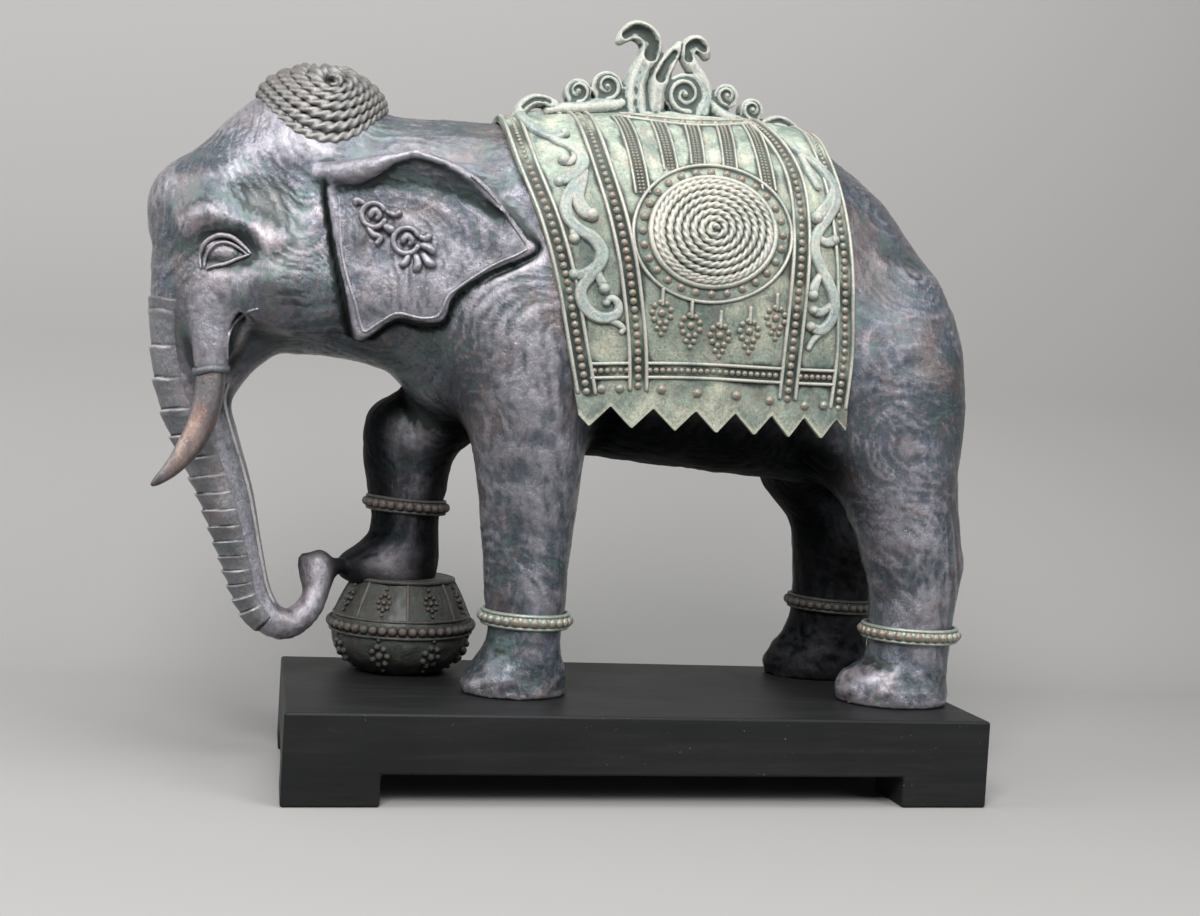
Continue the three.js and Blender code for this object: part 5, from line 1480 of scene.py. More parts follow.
@dataclass
class TrunkPlates:
    """Overlapping plates across the trunk's front, each with a ledge along its top, and the seam behind."""

    skin: Volume
    lift: float = 2.5
    bed: float = 1.1
    step: float = 0.6
    count: Profile = field(default_factory=lambda: Profile(
        (41, 0), (50, 1), (58, 2), (66, 3), (94, 6), (127, 9), (151, 11), (182, 13), (242, 16), (263, 17)))
    spread: Profile = field(default_factory=lambda: Profile(
        (40, 108), (120, 110), (160, 100), (195, 80), (262, 74)))

    def frames(self, low: float, high: float) -> tuple[Array, Array, Array]:
        """Points down the trunk's middle line, with the way to its front and its radius.

        Args:
            low: the lowest height.
            high: the highest height.

        Returns:
            The points, the ways to the front and the radii.
        """
        path = even_curve(along_curve(TRUNK[:11], 12), self.step)
        path = path[(path[:, 2] > low) & (path[:, 2] < high)]
        along = np.gradient(path[:, :3], axis=0)
        ahead = np.stack([along[:, 2], 0 * along[:, 0], -along[:, 0]], axis=1)
        ahead /= np.linalg.norm(ahead, axis=1, keepdims=True)
        ahead[:, 0] -= ease(50, 90, path[:, 2])
        return path[:, :3], ahead / np.linalg.norm(ahead, axis=1, keepdims=True), path[:, 3]

    def surface(self) -> Surface:
        """Rays from the middle line find the skin; the plates stand out by a share of the way up each.

        Returns:
            The closed sheet of plates.
        """
        middle, ahead, _ = self.frames(39.5, 250.0)
        rows, columns = len(middle), 56
        turn = np.linspace(-1, 1, columns)[None, :] * np.radians(self.spread(middle[:, 2]))[:, None]
        out = ahead[:, None] * np.cos(turn)[..., None] + np.array([0.0, 1.0, 0.0]) * np.sin(turn)[..., None]
        flat = out.reshape(-1, 3)
        skin = self.skin.hit(np.repeat(middle, columns, axis=0), flat, 60.0)
        wobble = 0.06 * Grain(31).at(skin, 12.0)
        phase = np.mod(self.count(np.repeat(middle[:, 2], columns)) + wobble, 1.0)
        tooth = (0.1 + 0.9 * phase**1.4) * ease(1.0, 0.93, phase)
        aside = np.abs(np.linspace(-1, 1, columns))
        inset = np.tile(ease(1.0, 0.94, aside), rows)
        fade = np.tile(ease(1.02, 0.6, aside), rows)
        ends = np.repeat(np.minimum(np.arange(rows), rows - 1 - np.arange(rows)), columns)
        shown = inset * ease(0, 4, ends)
        fade = fade * (0.25 + 0.75 * ease(252, 200, np.repeat(middle[:, 2], columns)))
        lift = (self.bed * (0.3 + 0.7 * fade) + self.lift * tooth * fade) * shown - 1.4 * (1 - shown)
        lift = lift + 0.25 * Grain(32).layered(skin, 6.0, 2) * shown
        outer, inner = skin + flat * lift[:, None], skin - flat * 3.5
        line = 0.5 * ease(0.84, 0.9, phase) * ease(1.0, 0.95, phase) - 0.3 * ease(0.1, 0.0, phase)
        wear = 0.46 + (line - 0.4 * ease(0.955, 0.99, phase)) * (0.25 + 0.75 * fade)
        wear = wear + 0.12 * Grain(33).layered(skin * np.array([1, 1, 0.6]), 8.0, 3)
        stack = np.concatenate([outer.reshape(rows, columns, 3), inner.reshape(rows, columns, 3)[:, ::-1]],
                               axis=1)
        worn = np.concatenate([wear.reshape(rows, columns), np.full((rows, columns), 0.3)], axis=1)
        faces = grid_faces(rows, 2 * columns, ring_columns=True)
        n = np.arange(columns - 1)
        cap = np.stack([n, n + 1, 2 * columns - 2 - n, 2 * columns - 1 - n], axis=1)
        last = cap + (rows - 1) * 2 * columns
        return Surface(stack.reshape(-1, 3), [faces, cap[:, ::-1], last], worn.ravel())

    def seam(self) -> list[Surface]:
        """A low ridge down each side of the trunk's back.

        Returns:
            The two ridges.
        """
        made = []
        for side in (-1.0, 1.0):
            middle, ahead, _ = self.frames(44.0, 196.0)
            middle, ahead = middle[::4], ahead[::4]
            turn = math.radians(146) * side
            out = ahead * math.cos(turn) + np.array([0.0, 1.0, 0.0]) * math.sin(turn)
            path = self.skin.hit(middle, out, 60.0)
            radii = rounded_radii(path, np.full(len(path), 1.5))
            made.append(sweep(path, out, radii * 1.1, radii, 8))
        return made

    def collars(self) -> list[Surface]:
        """The rolled lip of the sheath about each tusk.

        Returns:
            The two lips.
        """
        turn = 2 * np.pi * np.arange(48) / 48
        made = []
        for side in (-1.0, 1.0):
            ring = np.stack([-291 + 10.6 * np.cos(turn), side * 37.5 + 10.6 * np.sin(turn),
                             206.5 + 1.5 * np.cos(turn) + 0.5 * np.sin(3 * turn)], axis=1)
            ups = np.stack([np.cos(turn), np.sin(turn), 0 * turn], axis=1)
            lip = sweep(ring, ups, 2.4, 1.6, 8, ring=True)
            lip.wear = lip.wear * 0.5 + 0.1
            made.append(lip)
        return made

    def build(self, setting: Setting, material: bpy.types.Material) -> None:
        """Makes the plates, the seams and the collars as one piece."""
        parts = merged([self.surface(), *self.seam(), *self.collars()])
        cast_piece("trunk_plates", parts, setting, material, sharp=60)


# Saddle cloth

TABLE_STEP = 2.0
CROWD_START = 128
CROWD_REACH = np.array([269, 319])


@dataclass
class Cloth:
    """The saddle cloth: it follows the back, then hangs straight from the body's widest line."""

    thickness: float = 4.6
    shell: float = 3.6
    widest_z: float = 284.0
    hem_z: float = 184.5
    notch: float = 14.0
    column_step: float = 1.7
    rows: int = 132
    tips: Profile = field(default_factory=lambda: Profile(
        (-64, -0.5), (-50, 0), (-22, 1), (7, 2), (35, 3), (61, 4), (85, 5), (108, 6), (133, 7)))
    front: Profile = field(default_factory=lambda: Profile(
        (170, -53), (188, -56), (240, -68), (278, -77), (316, -89), (353, -103), (378, -109), (410, -112)))
    rear: Profile = field(default_factory=lambda: Profile(
        (170, 126), (188, 127), (240, 131), (278, 129), (316, 127), (353, 123), (378, 119), (410, 115)))

    def __post_init__(self) -> None:
        """Tabulates y and z over x and the run down from the ridge, by halving steps along rays."""
        self.xs = np.arange(-118.0, 139.0, TABLE_STEP)
        angle = np.linspace(0, np.pi / 2, 64)[None, :]
        x = self.xs[:, None]
        low, high = np.full((len(self.xs), 64), 30.0), np.full((len(self.xs), 64), 180.0)
        for _ in range(26):
            mid = (low + high) / 2
            y, z = mid * np.sin(angle), self.widest_z + mid * np.cos(angle)
            inside = side_distance(BODY(x + 0 * z, z), y, half_width(x, z), BODY_WIDTH(x, 1)) < self.thickness
            low, high = np.where(inside, mid, low), np.where(inside, high, mid)
        y, z = low * np.sin(angle), self.widest_z + low * np.cos(angle)
        fall = np.arange(2.0, 150.0, 2.0)[None, :]
        y = np.hstack([y, np.repeat(y[:, -1:], fall.shape[1], axis=1)])
        z = np.hstack([z, self.widest_z - fall + 0 * x])
        run = np.cumsum(np.hypot(np.diff(y, axis=1), np.diff(z, axis=1)), axis=1)
        run = np.hstack([np.zeros((len(self.xs), 1)), run])
        self.run_step = 1.5
        self.runs = np.arange(0, run[:, -1].min(), self.run_step)
        self.y = np.stack([np.interp(self.runs, r, row) for r, row in zip(run, y)])
        self.z = np.stack([np.interp(self.runs, r, row) for r, row in zip(run, z)])

    def look_up(self, table: Array, x: Array, run: Array) -> Array:
        """A table's value at places along the body and down the cloth, blended from four."""
        return blended(table, (x - self.xs[0]) / TABLE_STEP, run / self.run_step)

    def at(self, x: Array, run: Array, side: Array | float = -1.0,
           lift: Array | float = 0.0) -> tuple[Array, Array]:
        """Points and outward directions at places on the cloth.

        Args:
            x: places along the body.
            run: lengths down from the ridge.
            side: -1 for the near side, 1 for the far one.
            lift: how far off the cloth the points lie.

        Returns:
            The points and the unit outward directions.
        """
        x, run = np.asarray(x, float), np.asarray(run, float)
        y, z = self.look_up(self.y, x, run), self.look_up(self.z, x, run)
        dy = self.look_up(self.y, x, run + 2) - self.look_up(self.y, x, np.maximum(run - 2, 0))
        dz = self.look_up(self.z, x, run + 2) - self.look_up(self.z, x, np.maximum(run - 2, 0))
        slope_y = self.look_up(self.y, x + 3, run) - self.look_up(self.y, x - 3, run)
        slope_z = self.look_up(self.z, x + 3, run) - self.look_up(self.z, x - 3, run)
        down = np.stack([0 * y, dy, dz], axis=-1)
        along = np.stack([6.0 + 0 * y, slope_y, slope_z], axis=-1)
        normal = np.cross(along, down)
        normal *= np.sign(normal[..., 1:2] + 1e-9 + normal[..., 2:] * 1e-3)
        normal /= np.linalg.norm(normal, axis=-1, keepdims=True)
        normal = np.where(run[..., None] < 1.0, [0.0, 0.0, 1.0], normal)
        flip = np.stack([np.ones_like(y), np.sign(side) + 0 * y, np.ones_like(y)], axis=-1)
        points = np.stack([x + 0 * y, y, z], axis=-1) + normal * np.asarray(lift)[..., None]
        return points * flip, normal * flip

    def run_at(self, x: Array, z: Array) -> Array:
        """How far down from the ridge the cloth reaches a height, by halving.

        Args:
            x: places along the body.
            z: the height reached at each.

        Returns:
            The runs.
        """
        x, z = np.broadcast_arrays(np.asarray(x, float), np.asarray(z, float))
        low, high = np.zeros(x.shape), np.full(x.shape, self.runs[-1])
        for _ in range(18):
            mid = (low + high) / 2
            above = self.look_up(self.z, x, mid) > z
            low, high = np.where(above, mid, low), np.where(above, high, mid)
        return (low + high) / 2

    def saw(self, x: Array) -> Array:
        """1 at a tip of the hem and 0 at a notch."""
        return np.abs(np.mod(self.tips(x), 1.0) - 0.5) * 2

    def hem(self, x: Array) -> Array:
        """How low the hem reaches."""
        return self.hem_z + self.notch * (1 - self.saw(x))

    def lay(self, share: Array, run: Array) -> Array:
        """The x of a share of the width at a run, settled in a few rounds as the edges slant.

        Args:
            share: the shares of the width.
            run: lengths down the cloth from the ridge.

        Returns:
            The places along the body.
        """
        x = -112 + 230 * share + 0 * run
        for _ in range(4):
            z = self.look_up(self.z, x, run)
            x = self.front(z) + (self.rear(z) - self.front(z)) * share
        return x

    def crowd(self, laid: list[tuple[Array, Array]], x: Array, run: Array) -> Array:
        """How much raised work lies about each place: a count on a 1 mm grid, spread by two box means.

        Args:
            laid: lines of raised work, as x and run.
            x: places along the body.
            run: lengths down the cloth from the ridge.

        Returns:
            From 0 where it is clear to 1 where it is crowded.
        """
        def cell(across: Array, down: Array) -> tuple[Array, Array]:
            """The grid's row and column for each place."""
            rows = np.clip(np.round(across + CROWD_START).astype(int), 0, CROWD_REACH[0])
            return rows, np.clip(np.round(down).astype(int), 0, CROWD_REACH[1])

        grid = np.zeros(CROWD_REACH + 1)
        for across, down in laid:
            grid[cell(across, down)] = 1.0
        for axis in (0, 1) * 2:
            grid = sum(np.roll(grid, shift, axis=axis) for shift in (-2, -1, 0, 1, 2)) / 5
        return np.minimum(grid[cell(x, run)] * 2.6, 1.0)

    def shell_surface(self, laid: list[tuple[Array, Array]]) -> Surface:
        """The closed sheet: near and far sides outside, the hem's edge, and the same inside.

        Args:
            laid: lines of raised work, as x and run.

        Returns:
            The sheet, with its wear and shade.
        """
        columns = int(240 / self.column_step)
        share = np.linspace(0, 1, columns)[None, :]
        level = np.linspace(1, 0, self.rows)[:, None]
        x = self.lay(share, 220 * level)
        for _ in range(3):
            x = self.lay(share, self.run_at(x[:1], self.hem(x[:1])) * level)
        run = self.run_at(x[:1], self.hem(x[:1])) * level
        from_hem = self.look_up(self.z, x, run) - self.hem(x)
        fold = 3.4 * self.saw(x) * ease(22, 2, from_hem)
        fold = fold + 1.1 * ease(0.2, 0.0, self.saw(x)) * ease(18, 3, from_hem)
        opened = np.stack([x, run, 0 * x], axis=2).reshape(-1, 3)
        ripple = 0.5 * Grain(3).layered(opened, 26.0, 3).reshape(x.shape)
        lift = fold + ripple * ease(0, 30, run)
        sides = []
        for side in (-1.0, 1.0):
            outer, _ = self.at(x, run, side, lift)
            inner, _ = self.at(x, run, side, lift - self.shell)
            sides.append((outer, inner))
        near, far = sides
        stack = np.concatenate([near[0], far[0][::-1][1:], far[1], near[1][::-1][1:]], axis=0)
        drawn = Grain(9).layered(opened, 16.0, 3).reshape(x.shape)
        edge = 0.42 * ease(4.5, 0, from_hem) + 0.16 * self.saw(x) * ease(20, 4, from_hem)
        # Painted shade: the cloth is darker where raised work crowds about it.
        trim_shade = self.crowd(laid, x, run) * ease(3, 8, from_hem)
        worn = 0.56 + 0.2 * drawn + edge + 0.14 * ease(60, 0, run) - 0.68 * trim_shade
        wears = np.concatenate([worn, worn[::-1][1:], worn, worn[::-1][1:]], axis=0)
        # Painted shade: the cloth is darker lower down its fall, through the shade attribute.
        dim = 1 - 0.34 * ease(70, 150, run)
        shades = np.concatenate([dim, dim[::-1][1:], dim, dim[::-1][1:]], axis=0)
        rows = stack.shape[0]
        faces = grid_faces(rows, columns, ring_rows=True)
        index = np.arange(rows * columns).reshape(rows, columns)
        outside = 2 * self.rows - 1
        start = np.stack([index[:outside, 0], index[outside:, 0][::-1]], axis=1)
        end = np.stack([index[:outside, -1], index[outside:, -1][::-1]], axis=1)
        closing = [np.stack([e[:-1, 0], e[1:, 0], e[1:, 1], e[:-1, 1]], axis=1) for e in (start, end)]
        faces = np.concatenate([faces[:, ::-1], closing[0], closing[1][:, ::-1]])
        return Surface(stack.reshape(-1, 3), [faces], wears.ravel(), shades.ravel())

    def build(self, setting: Setting, material: bpy.types.Material, laid: list[tuple[Array, Array]]) -> None:
        """Makes the sheet, with painted shade beside the raised work."""
        cast_piece("saddle_cloth", self.shell_surface(laid), setting, material, sharp=50)


# Raised work on the cloth

@dataclass
class Trim:
    """Ribs, bead rows, vine scrolls, the medallion and its tassels, all laid on the cloth."""

    cloth: Cloth
    rib: float = 1.4
    border_inset: float = 7.6
    border_half: float = 5.8
    band_half: float = 5.6
    medallion_x: float = 26.5
    medallion_reach: float = 54.0
    medallion_top_z: float = 362.0
    medallion_low_z: float = 270.0
    disk_share: float = 0.76
    turns: int = 8
    stud_count: int = 28
    band_front: Profile = field(default_factory=lambda: Profile(
        (200, -18), (240, -21), (282, -28), (320, -37), (356, -47), (380, -52), (405, -56)))
    band_rear: Profile = field(default_factory=lambda: Profile(
        (200, 83), (240, 85), (282, 87), (320, 88), (356, 86), (380, 79), (405, 66)))
    low_band: Profile = field(default_factory=lambda: Profile(
        (-60, 219.5), (-20, 222.5), (20, 224.5), (80, 225), (120, 226)))
    laid: list[tuple[Array, Array]] = field(default_factory=list)
    rails: list[Surface] = field(default_factory=list)

    def track(self, line: Callable[[Array], Array], low_z: float,
              top_run: float = 0.0) -> tuple[Array, Array]:
        """The places along a line that is given by height, from the ridge down to a height.

        Args:
            line: x as a function of height.
            low_z: the height where it ends.
            top_run: the run where it starts.

        Returns:
            The places along the body and the runs.
        """
        end = self.cloth.run_at(line(np.array([low_z])), np.array([low_z]))[0]
        run = np.linspace(top_run, end, 150)
        x = line(np.full(150, 380.0))
        for _ in range(4):
            x = line(self.cloth.look_up(self.cloth.z, x, run))
        return x, run

    def mark(self, x: Array, run: Array) -> None:
        """Notes a line of raised work, closely enough for a 1 mm grid.

        Args:
            x: places along the body.
            run: lengths down the cloth from the ridge.
        """
        index = np.arange(len(x))
        fine = np.linspace(0, len(x) - 1, 4 * len(x))
        self.laid.append((np.interp(fine, index, x), np.interp(fine, index, run)))

    def bead_size(self, run: Array) -> Array:
        """Beads grow from the ridge down."""
        return 1.6 + 1.0 * ease(30, 115, run)

    def bead_row(self, x: Array, run: Array, side: float, size: Array | float | None = None,
                 gap: float = 2.12) -> Surface:
        """Beads spaced by their own size along a line: each stands where the running count is whole.

        Args:
            x: places along the body.
            run: lengths down the cloth from the ridge.
            side: -1 for the near side, 1 for the far one.
            size: the beads' radius, or none for the usual one.
            gap: the spacing as a share of the radius.

        Returns:
            The beads.
        """
        points, ups = self.cloth.at(x, run, side)
        self.mark(x, run)
        size = self.bead_size(run) if size is None else size + 0 * run
        length = np.linalg.norm(np.diff(points, axis=0), axis=1)
        count = np.concatenate([[0.0], np.cumsum(length / (gap * (size[1:] + size[:-1]) / 2))])
        at = np.arange(0.5, count[-1], 1.0)

        def pick(values: Array) -> Array:
            """Rows of values where the count is whole."""
            return np.stack([np.interp(at, count, column) for column in values.T], axis=1)

        return beads(pick(points), pick(ups), np.interp(at, count, size), squat=0.95, sink=0.1)

    def rail(self, x: Array, run: Array, side: float, radius: float | None = None) -> Surface:
        """A raised rib along a line.

        Args:
            x: places along the body.
            run: lengths down the cloth from the ridge.
            side: -1 for the near side, 1 for the far one.
            radius: of the rib, or none for the usual one.

        Returns:
            The rib.
        """
        points, ups = self.cloth.at(x, run, side, 0.3)
        self.mark(x, run)
        radius = self.rib if radius is None else radius
        self.rails.append(sweep(points, ups, radius, radius * 1.2, 7))
        return self.rails[-1]

    def banded(self, line: Callable[[Array], Array], half: float, side: float, low_z: float) -> list[Surface]:
        """A bead row between two ribs down the cloth.

        Args:
            line: x as a function of height.
            half: from the beads to either rib.
            side: -1 for the near side, 1 for the far one.
            low_z: the height where it ends.

        Returns:
            The bead row.
        """
        for offset in (-half, half):
            x, run = self.track(lambda z, o=offset: line(z) + o, low_z + 1.5)
            self.rail(x, run, side)
        x, run = self.track(line, low_z)
        return [self.bead_row(x, run, side)]

    def bands(self, side: float) -> list[Surface]:
        """The two borders, the two inner bands and the low band across.

        Args:
            side: -1 for the near side, 1 for the far one.

        Returns:
            The bead rows.
        """
        cloth, inset = self.cloth, self.border_inset
        made = self.banded(lambda z: cloth.front(z) + inset, self.border_half, side, 204.0)
        made += self.banded(lambda z: cloth.rear(z) - inset, self.border_half, side, 204.0)
        made += self.banded(self.band_front, self.band_half, side, 208.0)
        made += self.banded(self.band_rear, self.band_half, side, 208.0)
        clear = self.border_half + inset
        stops = [(cloth.front(222.0) + clear, self.band_front(222.0) - self.band_half),
                 (self.band_front(222.0) + self.band_half, self.band_rear(222.0) - self.band_half),
                 (self.band_rear(222.0) + self.band_half, cloth.rear(222.0) - clear)]
        for start, end in stops:
            x = np.linspace(float(start), float(end), 60)
            z = self.low_band(x)
            made.append(self.bead_row(x, cloth.run_at(x, z), side, 2.0, 2.15))
            for rise in (-4.6, 4.6):
                self.rail(x, cloth.run_at(x, z + rise), side, 1.25)
        return made

    def yoke(self, side: float) -> list[Surface]:
        """The curved row of studs under the crest and the short bead bands down to the medallion.

        Args:
            side: -1 for the near side, 1 for the far one.

        Returns:
            The studs and bead rows.
        """
        made = []
        x = np.linspace(-27, 68, 60)
        run = 40 - 13 * ((x - 20) / 46)**2
        for drop in (-4.8, 4.8):
            self.rail(x, run + drop, side, 1.1)
        spot = np.linspace(-22, 62, 8)
        points, ups = self.cloth.at(spot, 40 - 13 * ((spot - 20) / 46)**2, side)
        made.append(beads(points, ups, 3.1, squat=0.8, sink=0.1))
        middle = (self.medallion_top_z + self.medallion_low_z) / 2
        half = (self.medallion_top_z - self.medallion_low_z) / 2
        for top_x, low_x in ((-29, -21), (-4, -1), (19, 18), (42, 40), (62, 66)):
            ring_z = middle + half * math.sqrt(1 - ((low_x - self.medallion_x) / self.medallion_reach)**2)
            low_run = self.cloth.run_at(np.array([low_x]), np.array([ring_z]))[0] - 1.0
            run = np.linspace(40 - 13 * ((top_x - 20) / 46)**2 + 5, low_run, 40)
            x = np.linspace(top_x, low_x, 40)
            made += [self.bead_row(x + aside, run, side, 1.15, 2.3) for aside in (-1.3, 1.3)]
            for aside in (-4.6, 4.6):
                self.rail(x + aside, run, side, 1.0)
        return made

    def vine(self, points: Sequence[tuple[float, float, float]], side: float) -> Surface:
        """A tapering scroll through rows of x, z and radius, grooved along it and round at its ends.

        Args:
            points: the rows.
            side: -1 for the near side, 1 for the far one.

        Returns:
            The scroll.
        """
        rows = along_curve(points, 8)
        run = self.cloth.run_at(rows[:, 0], rows[:, 1])
        self.mark(rows[:, 0], run)
        base, ups = self.cloth.at(rows[:, 0], run, side)
        radii = rounded_radii(base, rows[:, 2])
        groove = 0.42 * ease(2.2, 3.4, rows[:, 2])
        return sweep(base + ups * radii[:, None] * 0.2, ups, radii * 1.12, radii * 1.1, 14, groove=groove)

    def bulb(self, x: float, z: float, size: float, side: float) -> Surface:
        """The round end of a curled leaf.

        Args:
            x: its place along the body.
            z: its height.
            size: its radius.
            side: -1 for the near side, 1 for the far one.

        Returns:
            The bulb.
        """
        run = self.cloth.run_at(np.array([x]), np.array([z]))
        points, ups = self.cloth.at(np.array([x]), run, side)
        return beads(points, ups, size, squat=1.15, sink=-0.05, sides=12)

    def vines(self, side: float) -> list[Surface]:
        """The two long scrolls between the bands, with their leaves and bulbs.

        Args:
            side: -1 for the near side, 1 for the far one.

        Returns:
            The scrolls and bulbs.
        """
        front = [
            [(-66, 398, 2.6), (-78, 402, 3.4), (-89, 400, 3.6), (-95, 391, 3.4), (-92, 383, 3.4),
             (-86, 377, 3.2), (-78, 374, 3.2), (-70, 377, 3.6)],
            [(-84, 378, 1.8), (-76, 371, 2.8), (-68, 368, 3.2), (-62, 363, 3.8), (-60, 356, 4.2),
             (-64, 349, 4), (-71, 344, 3.6), (-76, 342, 3)],
            [(-66, 366, 1.6), (-65, 360, 2.2), (-69, 356, 2.8), (-73, 358, 2.8)],
            [(-58, 358, 1.8), (-61, 348, 3), (-68, 337, 3.8), (-72, 327, 4), (-70, 318, 3.8), (-63, 311, 3.6),
             (-54, 306, 4), (-48, 298, 4.2), (-49, 290, 4), (-55, 281, 3.6), (-60, 272, 3.6), (-58, 263, 3.6),
             (-51, 256.5, 3.6), (-43, 255, 3.4), (-36, 258, 3), (-35, 264, 2.6), (-39, 268, 2.3),
             (-43.5, 266, 2.2)],
            [(-58, 352, 2), (-61, 342, 3.2), (-64, 332, 4), (-61, 324, 4.4), (-55, 320, 4)],
            [(-69, 318, 1.8), (-67, 312, 2.2), (-66, 306, 3)],
            [(-50, 292, 2), (-54, 286, 2.8), (-60, 282, 3.2), (-65, 282, 3)],
            [(-49, 290, 1.8), (-49, 282, 2.6), (-45, 275, 3.4)],
            [(-44, 254, 1.8), (-36, 252.5, 2), (-31, 249, 1.8), (-33, 245.5, 1.8)],
        ]
        rear = [
            [(84, 388, 2.4), (91, 380, 3), (99, 374, 3.4), (108, 366, 3.6), (115, 355, 3.8), (114, 343, 3.8),
             (107, 332, 3.4), (99, 321, 3.4), (97, 310, 3.6), (102, 298, 3.4), (109, 286, 3.6),
             (113, 275, 3.6), (111, 264, 3.4), (104, 257, 3.4), (97, 259, 3)],
            [(115, 356, 2.2), (109, 344, 3.2), (100, 333, 4.2)],
            [(97, 322, 1.8), (105, 316, 2.8), (112, 318, 3.4)],
            [(103, 296, 1.8), (98, 287, 2.8), (97, 281, 3.2)],
            [(112, 276, 1.8), (104, 269, 2.8), (98, 270, 3)],
            [(106, 256, 1.6), (99, 250, 2), (96, 243, 1.6)],
            [(92, 379, 1.8), (97, 364, 2.8), (103, 352, 2.4)],
        ]
        bulbs = [(-72, 357, 4.4), (-70, 377, 4), (-55, 321, 5), (-66, 305, 4), (-65, 282, 4), (-45, 274, 4.2),
                 (-76, 342, 3.8), (-43, 265, 3), (99, 332, 5), (112, 318, 4), (97, 280, 4), (98, 270, 3.6),
                 (97, 259, 3.8)]
        scrolls = [self.vine(points, side) for points in front + rear]
        return scrolls + [self.bulb(*spot, side) for spot in bulbs]

    def oval(self, reach: float, count: int) -> tuple[Array, Array]:
        """Places round the medallion: the cosine along the body and the sine down the cloth.

        Args:
            reach: how far from the medallion's middle.
            count: how many places.

        Returns:
            The places along the body and the runs.
        """
        x = self.medallion_x
        top = self.cloth.run_at(x, self.medallion_top_z)
        low = self.cloth.run_at(x, self.medallion_low_z)
        turn = 2 * np.pi * np.arange(count) / count
        share = reach / self.medallion_reach
        return x + reach * np.cos(turn), (top + low) / 2 + (low - top) / 2 * share * np.sin(turn)

    def medallion(self, side: float) -> tuple[list[Surface], list[Surface]]:
        """Two rims, a ring of studs, and a rope coiled inward on a low dome.

        Args:
            side: -1 for the near side, 1 for the far one.

        Returns:
            The metal parts, and the dome with its rope.
        """
        metal = []
        for reach, radius in ((self.medallion_reach, 1.3),
                              (self.medallion_reach * self.disk_share + 1.4, 2.1)):
            x, run = self.oval(reach, 120)
            points, ups = self.cloth.at(x, run, side, 0.5)
            self.rails.append(sweep(points, ups, radius, radius * 1.2, 8, ring=True))
            self.mark(x, run)
        x, run = self.oval(self.medallion_reach * 0.885, self.stud_count)
        self.laid.append((x, run))
        points, ups = self.cloth.at(x, run, side)
        metal.append(beads(points, ups, 2.9, squat=1.0, sink=0.05, sides=10))
        outer = self.medallion_reach * self.disk_share - 1.6
        steps = self.turns * 110
        turn = 2 * np.pi * np.arange(steps) / 110
        reach = np.interp(np.arange(steps), [0, 100, steps - 1], [outer - 0.6, outer - 0.9, 1.4])
        centre_x, centre_run = self.medallion_x, self.oval(1e-6, 4)[1].mean()
        squash = (self.oval(1.0, 4)[1].max() - centre_run)
        dome = 2.6 * (1 - (reach / outer)**2)
        points, ups = self.cloth.at(centre_x + reach * np.cos(turn),
                                    centre_run + squash * reach * np.sin(turn),
                                    side, 0.9 + dome)
        path = even_curve(np.hstack([points, ups]), 0.85)
        half = outer / self.turns / 2 * 1.08
        rope = sweep(path[:, :3], path[:, 3:], half, half * 1.1, 12, strands=3, strand_depth=0.3, pitch=17.0)
        rings, spokes = 8, 60
        share = np.linspace(1.0, 0.02, rings)[:, None]
        around = 2 * np.pi * np.arange(spokes)[None, :] / spokes
        top, _ = self.cloth.at(centre_x + outer * share * np.cos(around),
                               centre_run + squash * outer * share * np.sin(around), side,
                               0.7 + 2.6 * (1 - share**2))
        base, _ = self.cloth.at(centre_x + outer * np.cos(around),
                                centre_run + squash * outer * np.sin(around),
                                side, -1.0 + 0 * around)
        low, _ = self.cloth.at(np.array([centre_x]), np.array([centre_run]), side, -1.0)
        points = np.vstack([base.reshape(-1, 3), top.reshape(-1, 3), top[-1].mean(axis=0)[None],
                            low.reshape(-1, 3)])
        faces = grid_faces(rings + 1, spokes, ring_columns=True)
        n, m = np.arange(spokes), (np.arange(spokes) + 1) % spokes
        crown = np.stack([rings * spokes + n, rings * spokes + m, np.full(spokes, (rings + 1) * spokes)],
                         axis=1)
        floor = np.stack([m, n, np.full(spokes, (rings + 1) * spokes + 1)], axis=1)
        groups = [faces, crown, floor] if side > 0 else [faces[:, ::-1], crown[:, ::-1], floor[:, ::-1]]
        return metal, [Surface(points, groups, np.full(len(points), 0.12)), rope]

    def tassels(self, side: float) -> list[Surface]:
        """Five bead flowers hung from the medallion, each with a drop.

        Args:
            side: -1 for the near side, 1 for the far one.

        Returns:
            The beads.
        """
        places, sizes = [], []
        made = []
        for x, z in ((-6, 261), (14, 254), (34, 249), (54, 253), (72, 263)):
            turn = 2 * np.pi * (np.arange(9) + 0.5) / 9
            places += [(x, z)] + list(zip(x + 6.4 * np.cos(turn), z + 6.9 * np.sin(turn)))
            sizes += [2.9] + [2.15] * 9
            places += [(x - 2.6, z - 10.2), (x + 2.6, z - 10.2), (x + 0.4, z - 14)]
            sizes += [2.0, 2.0, 1.8]
            run = self.cloth.run_at(np.full(12, float(x)), np.linspace(z + 16, z + 5, 12))
            self.rail(np.full(12, float(x)), run, side, 1.5)
        for x, z in ((-43, 209), (-31, 210), (-3, 211), (21, 210), (48, 210), (71, 208), (96, 206),
                     (110, 207)):
            places.append((x, z))
            sizes.append(3.3)
        spots = np.array(places, float)
        self.laid.append((spots[:, 0], self.cloth.run_at(spots[:, 0], spots[:, 1])))
        points, ups = self.cloth.at(spots[:, 0], self.cloth.run_at(spots[:, 0], spots[:, 1]), side)
        made.append(beads(points, ups, np.array(sizes), squat=1.0, sink=0.0))
        return made

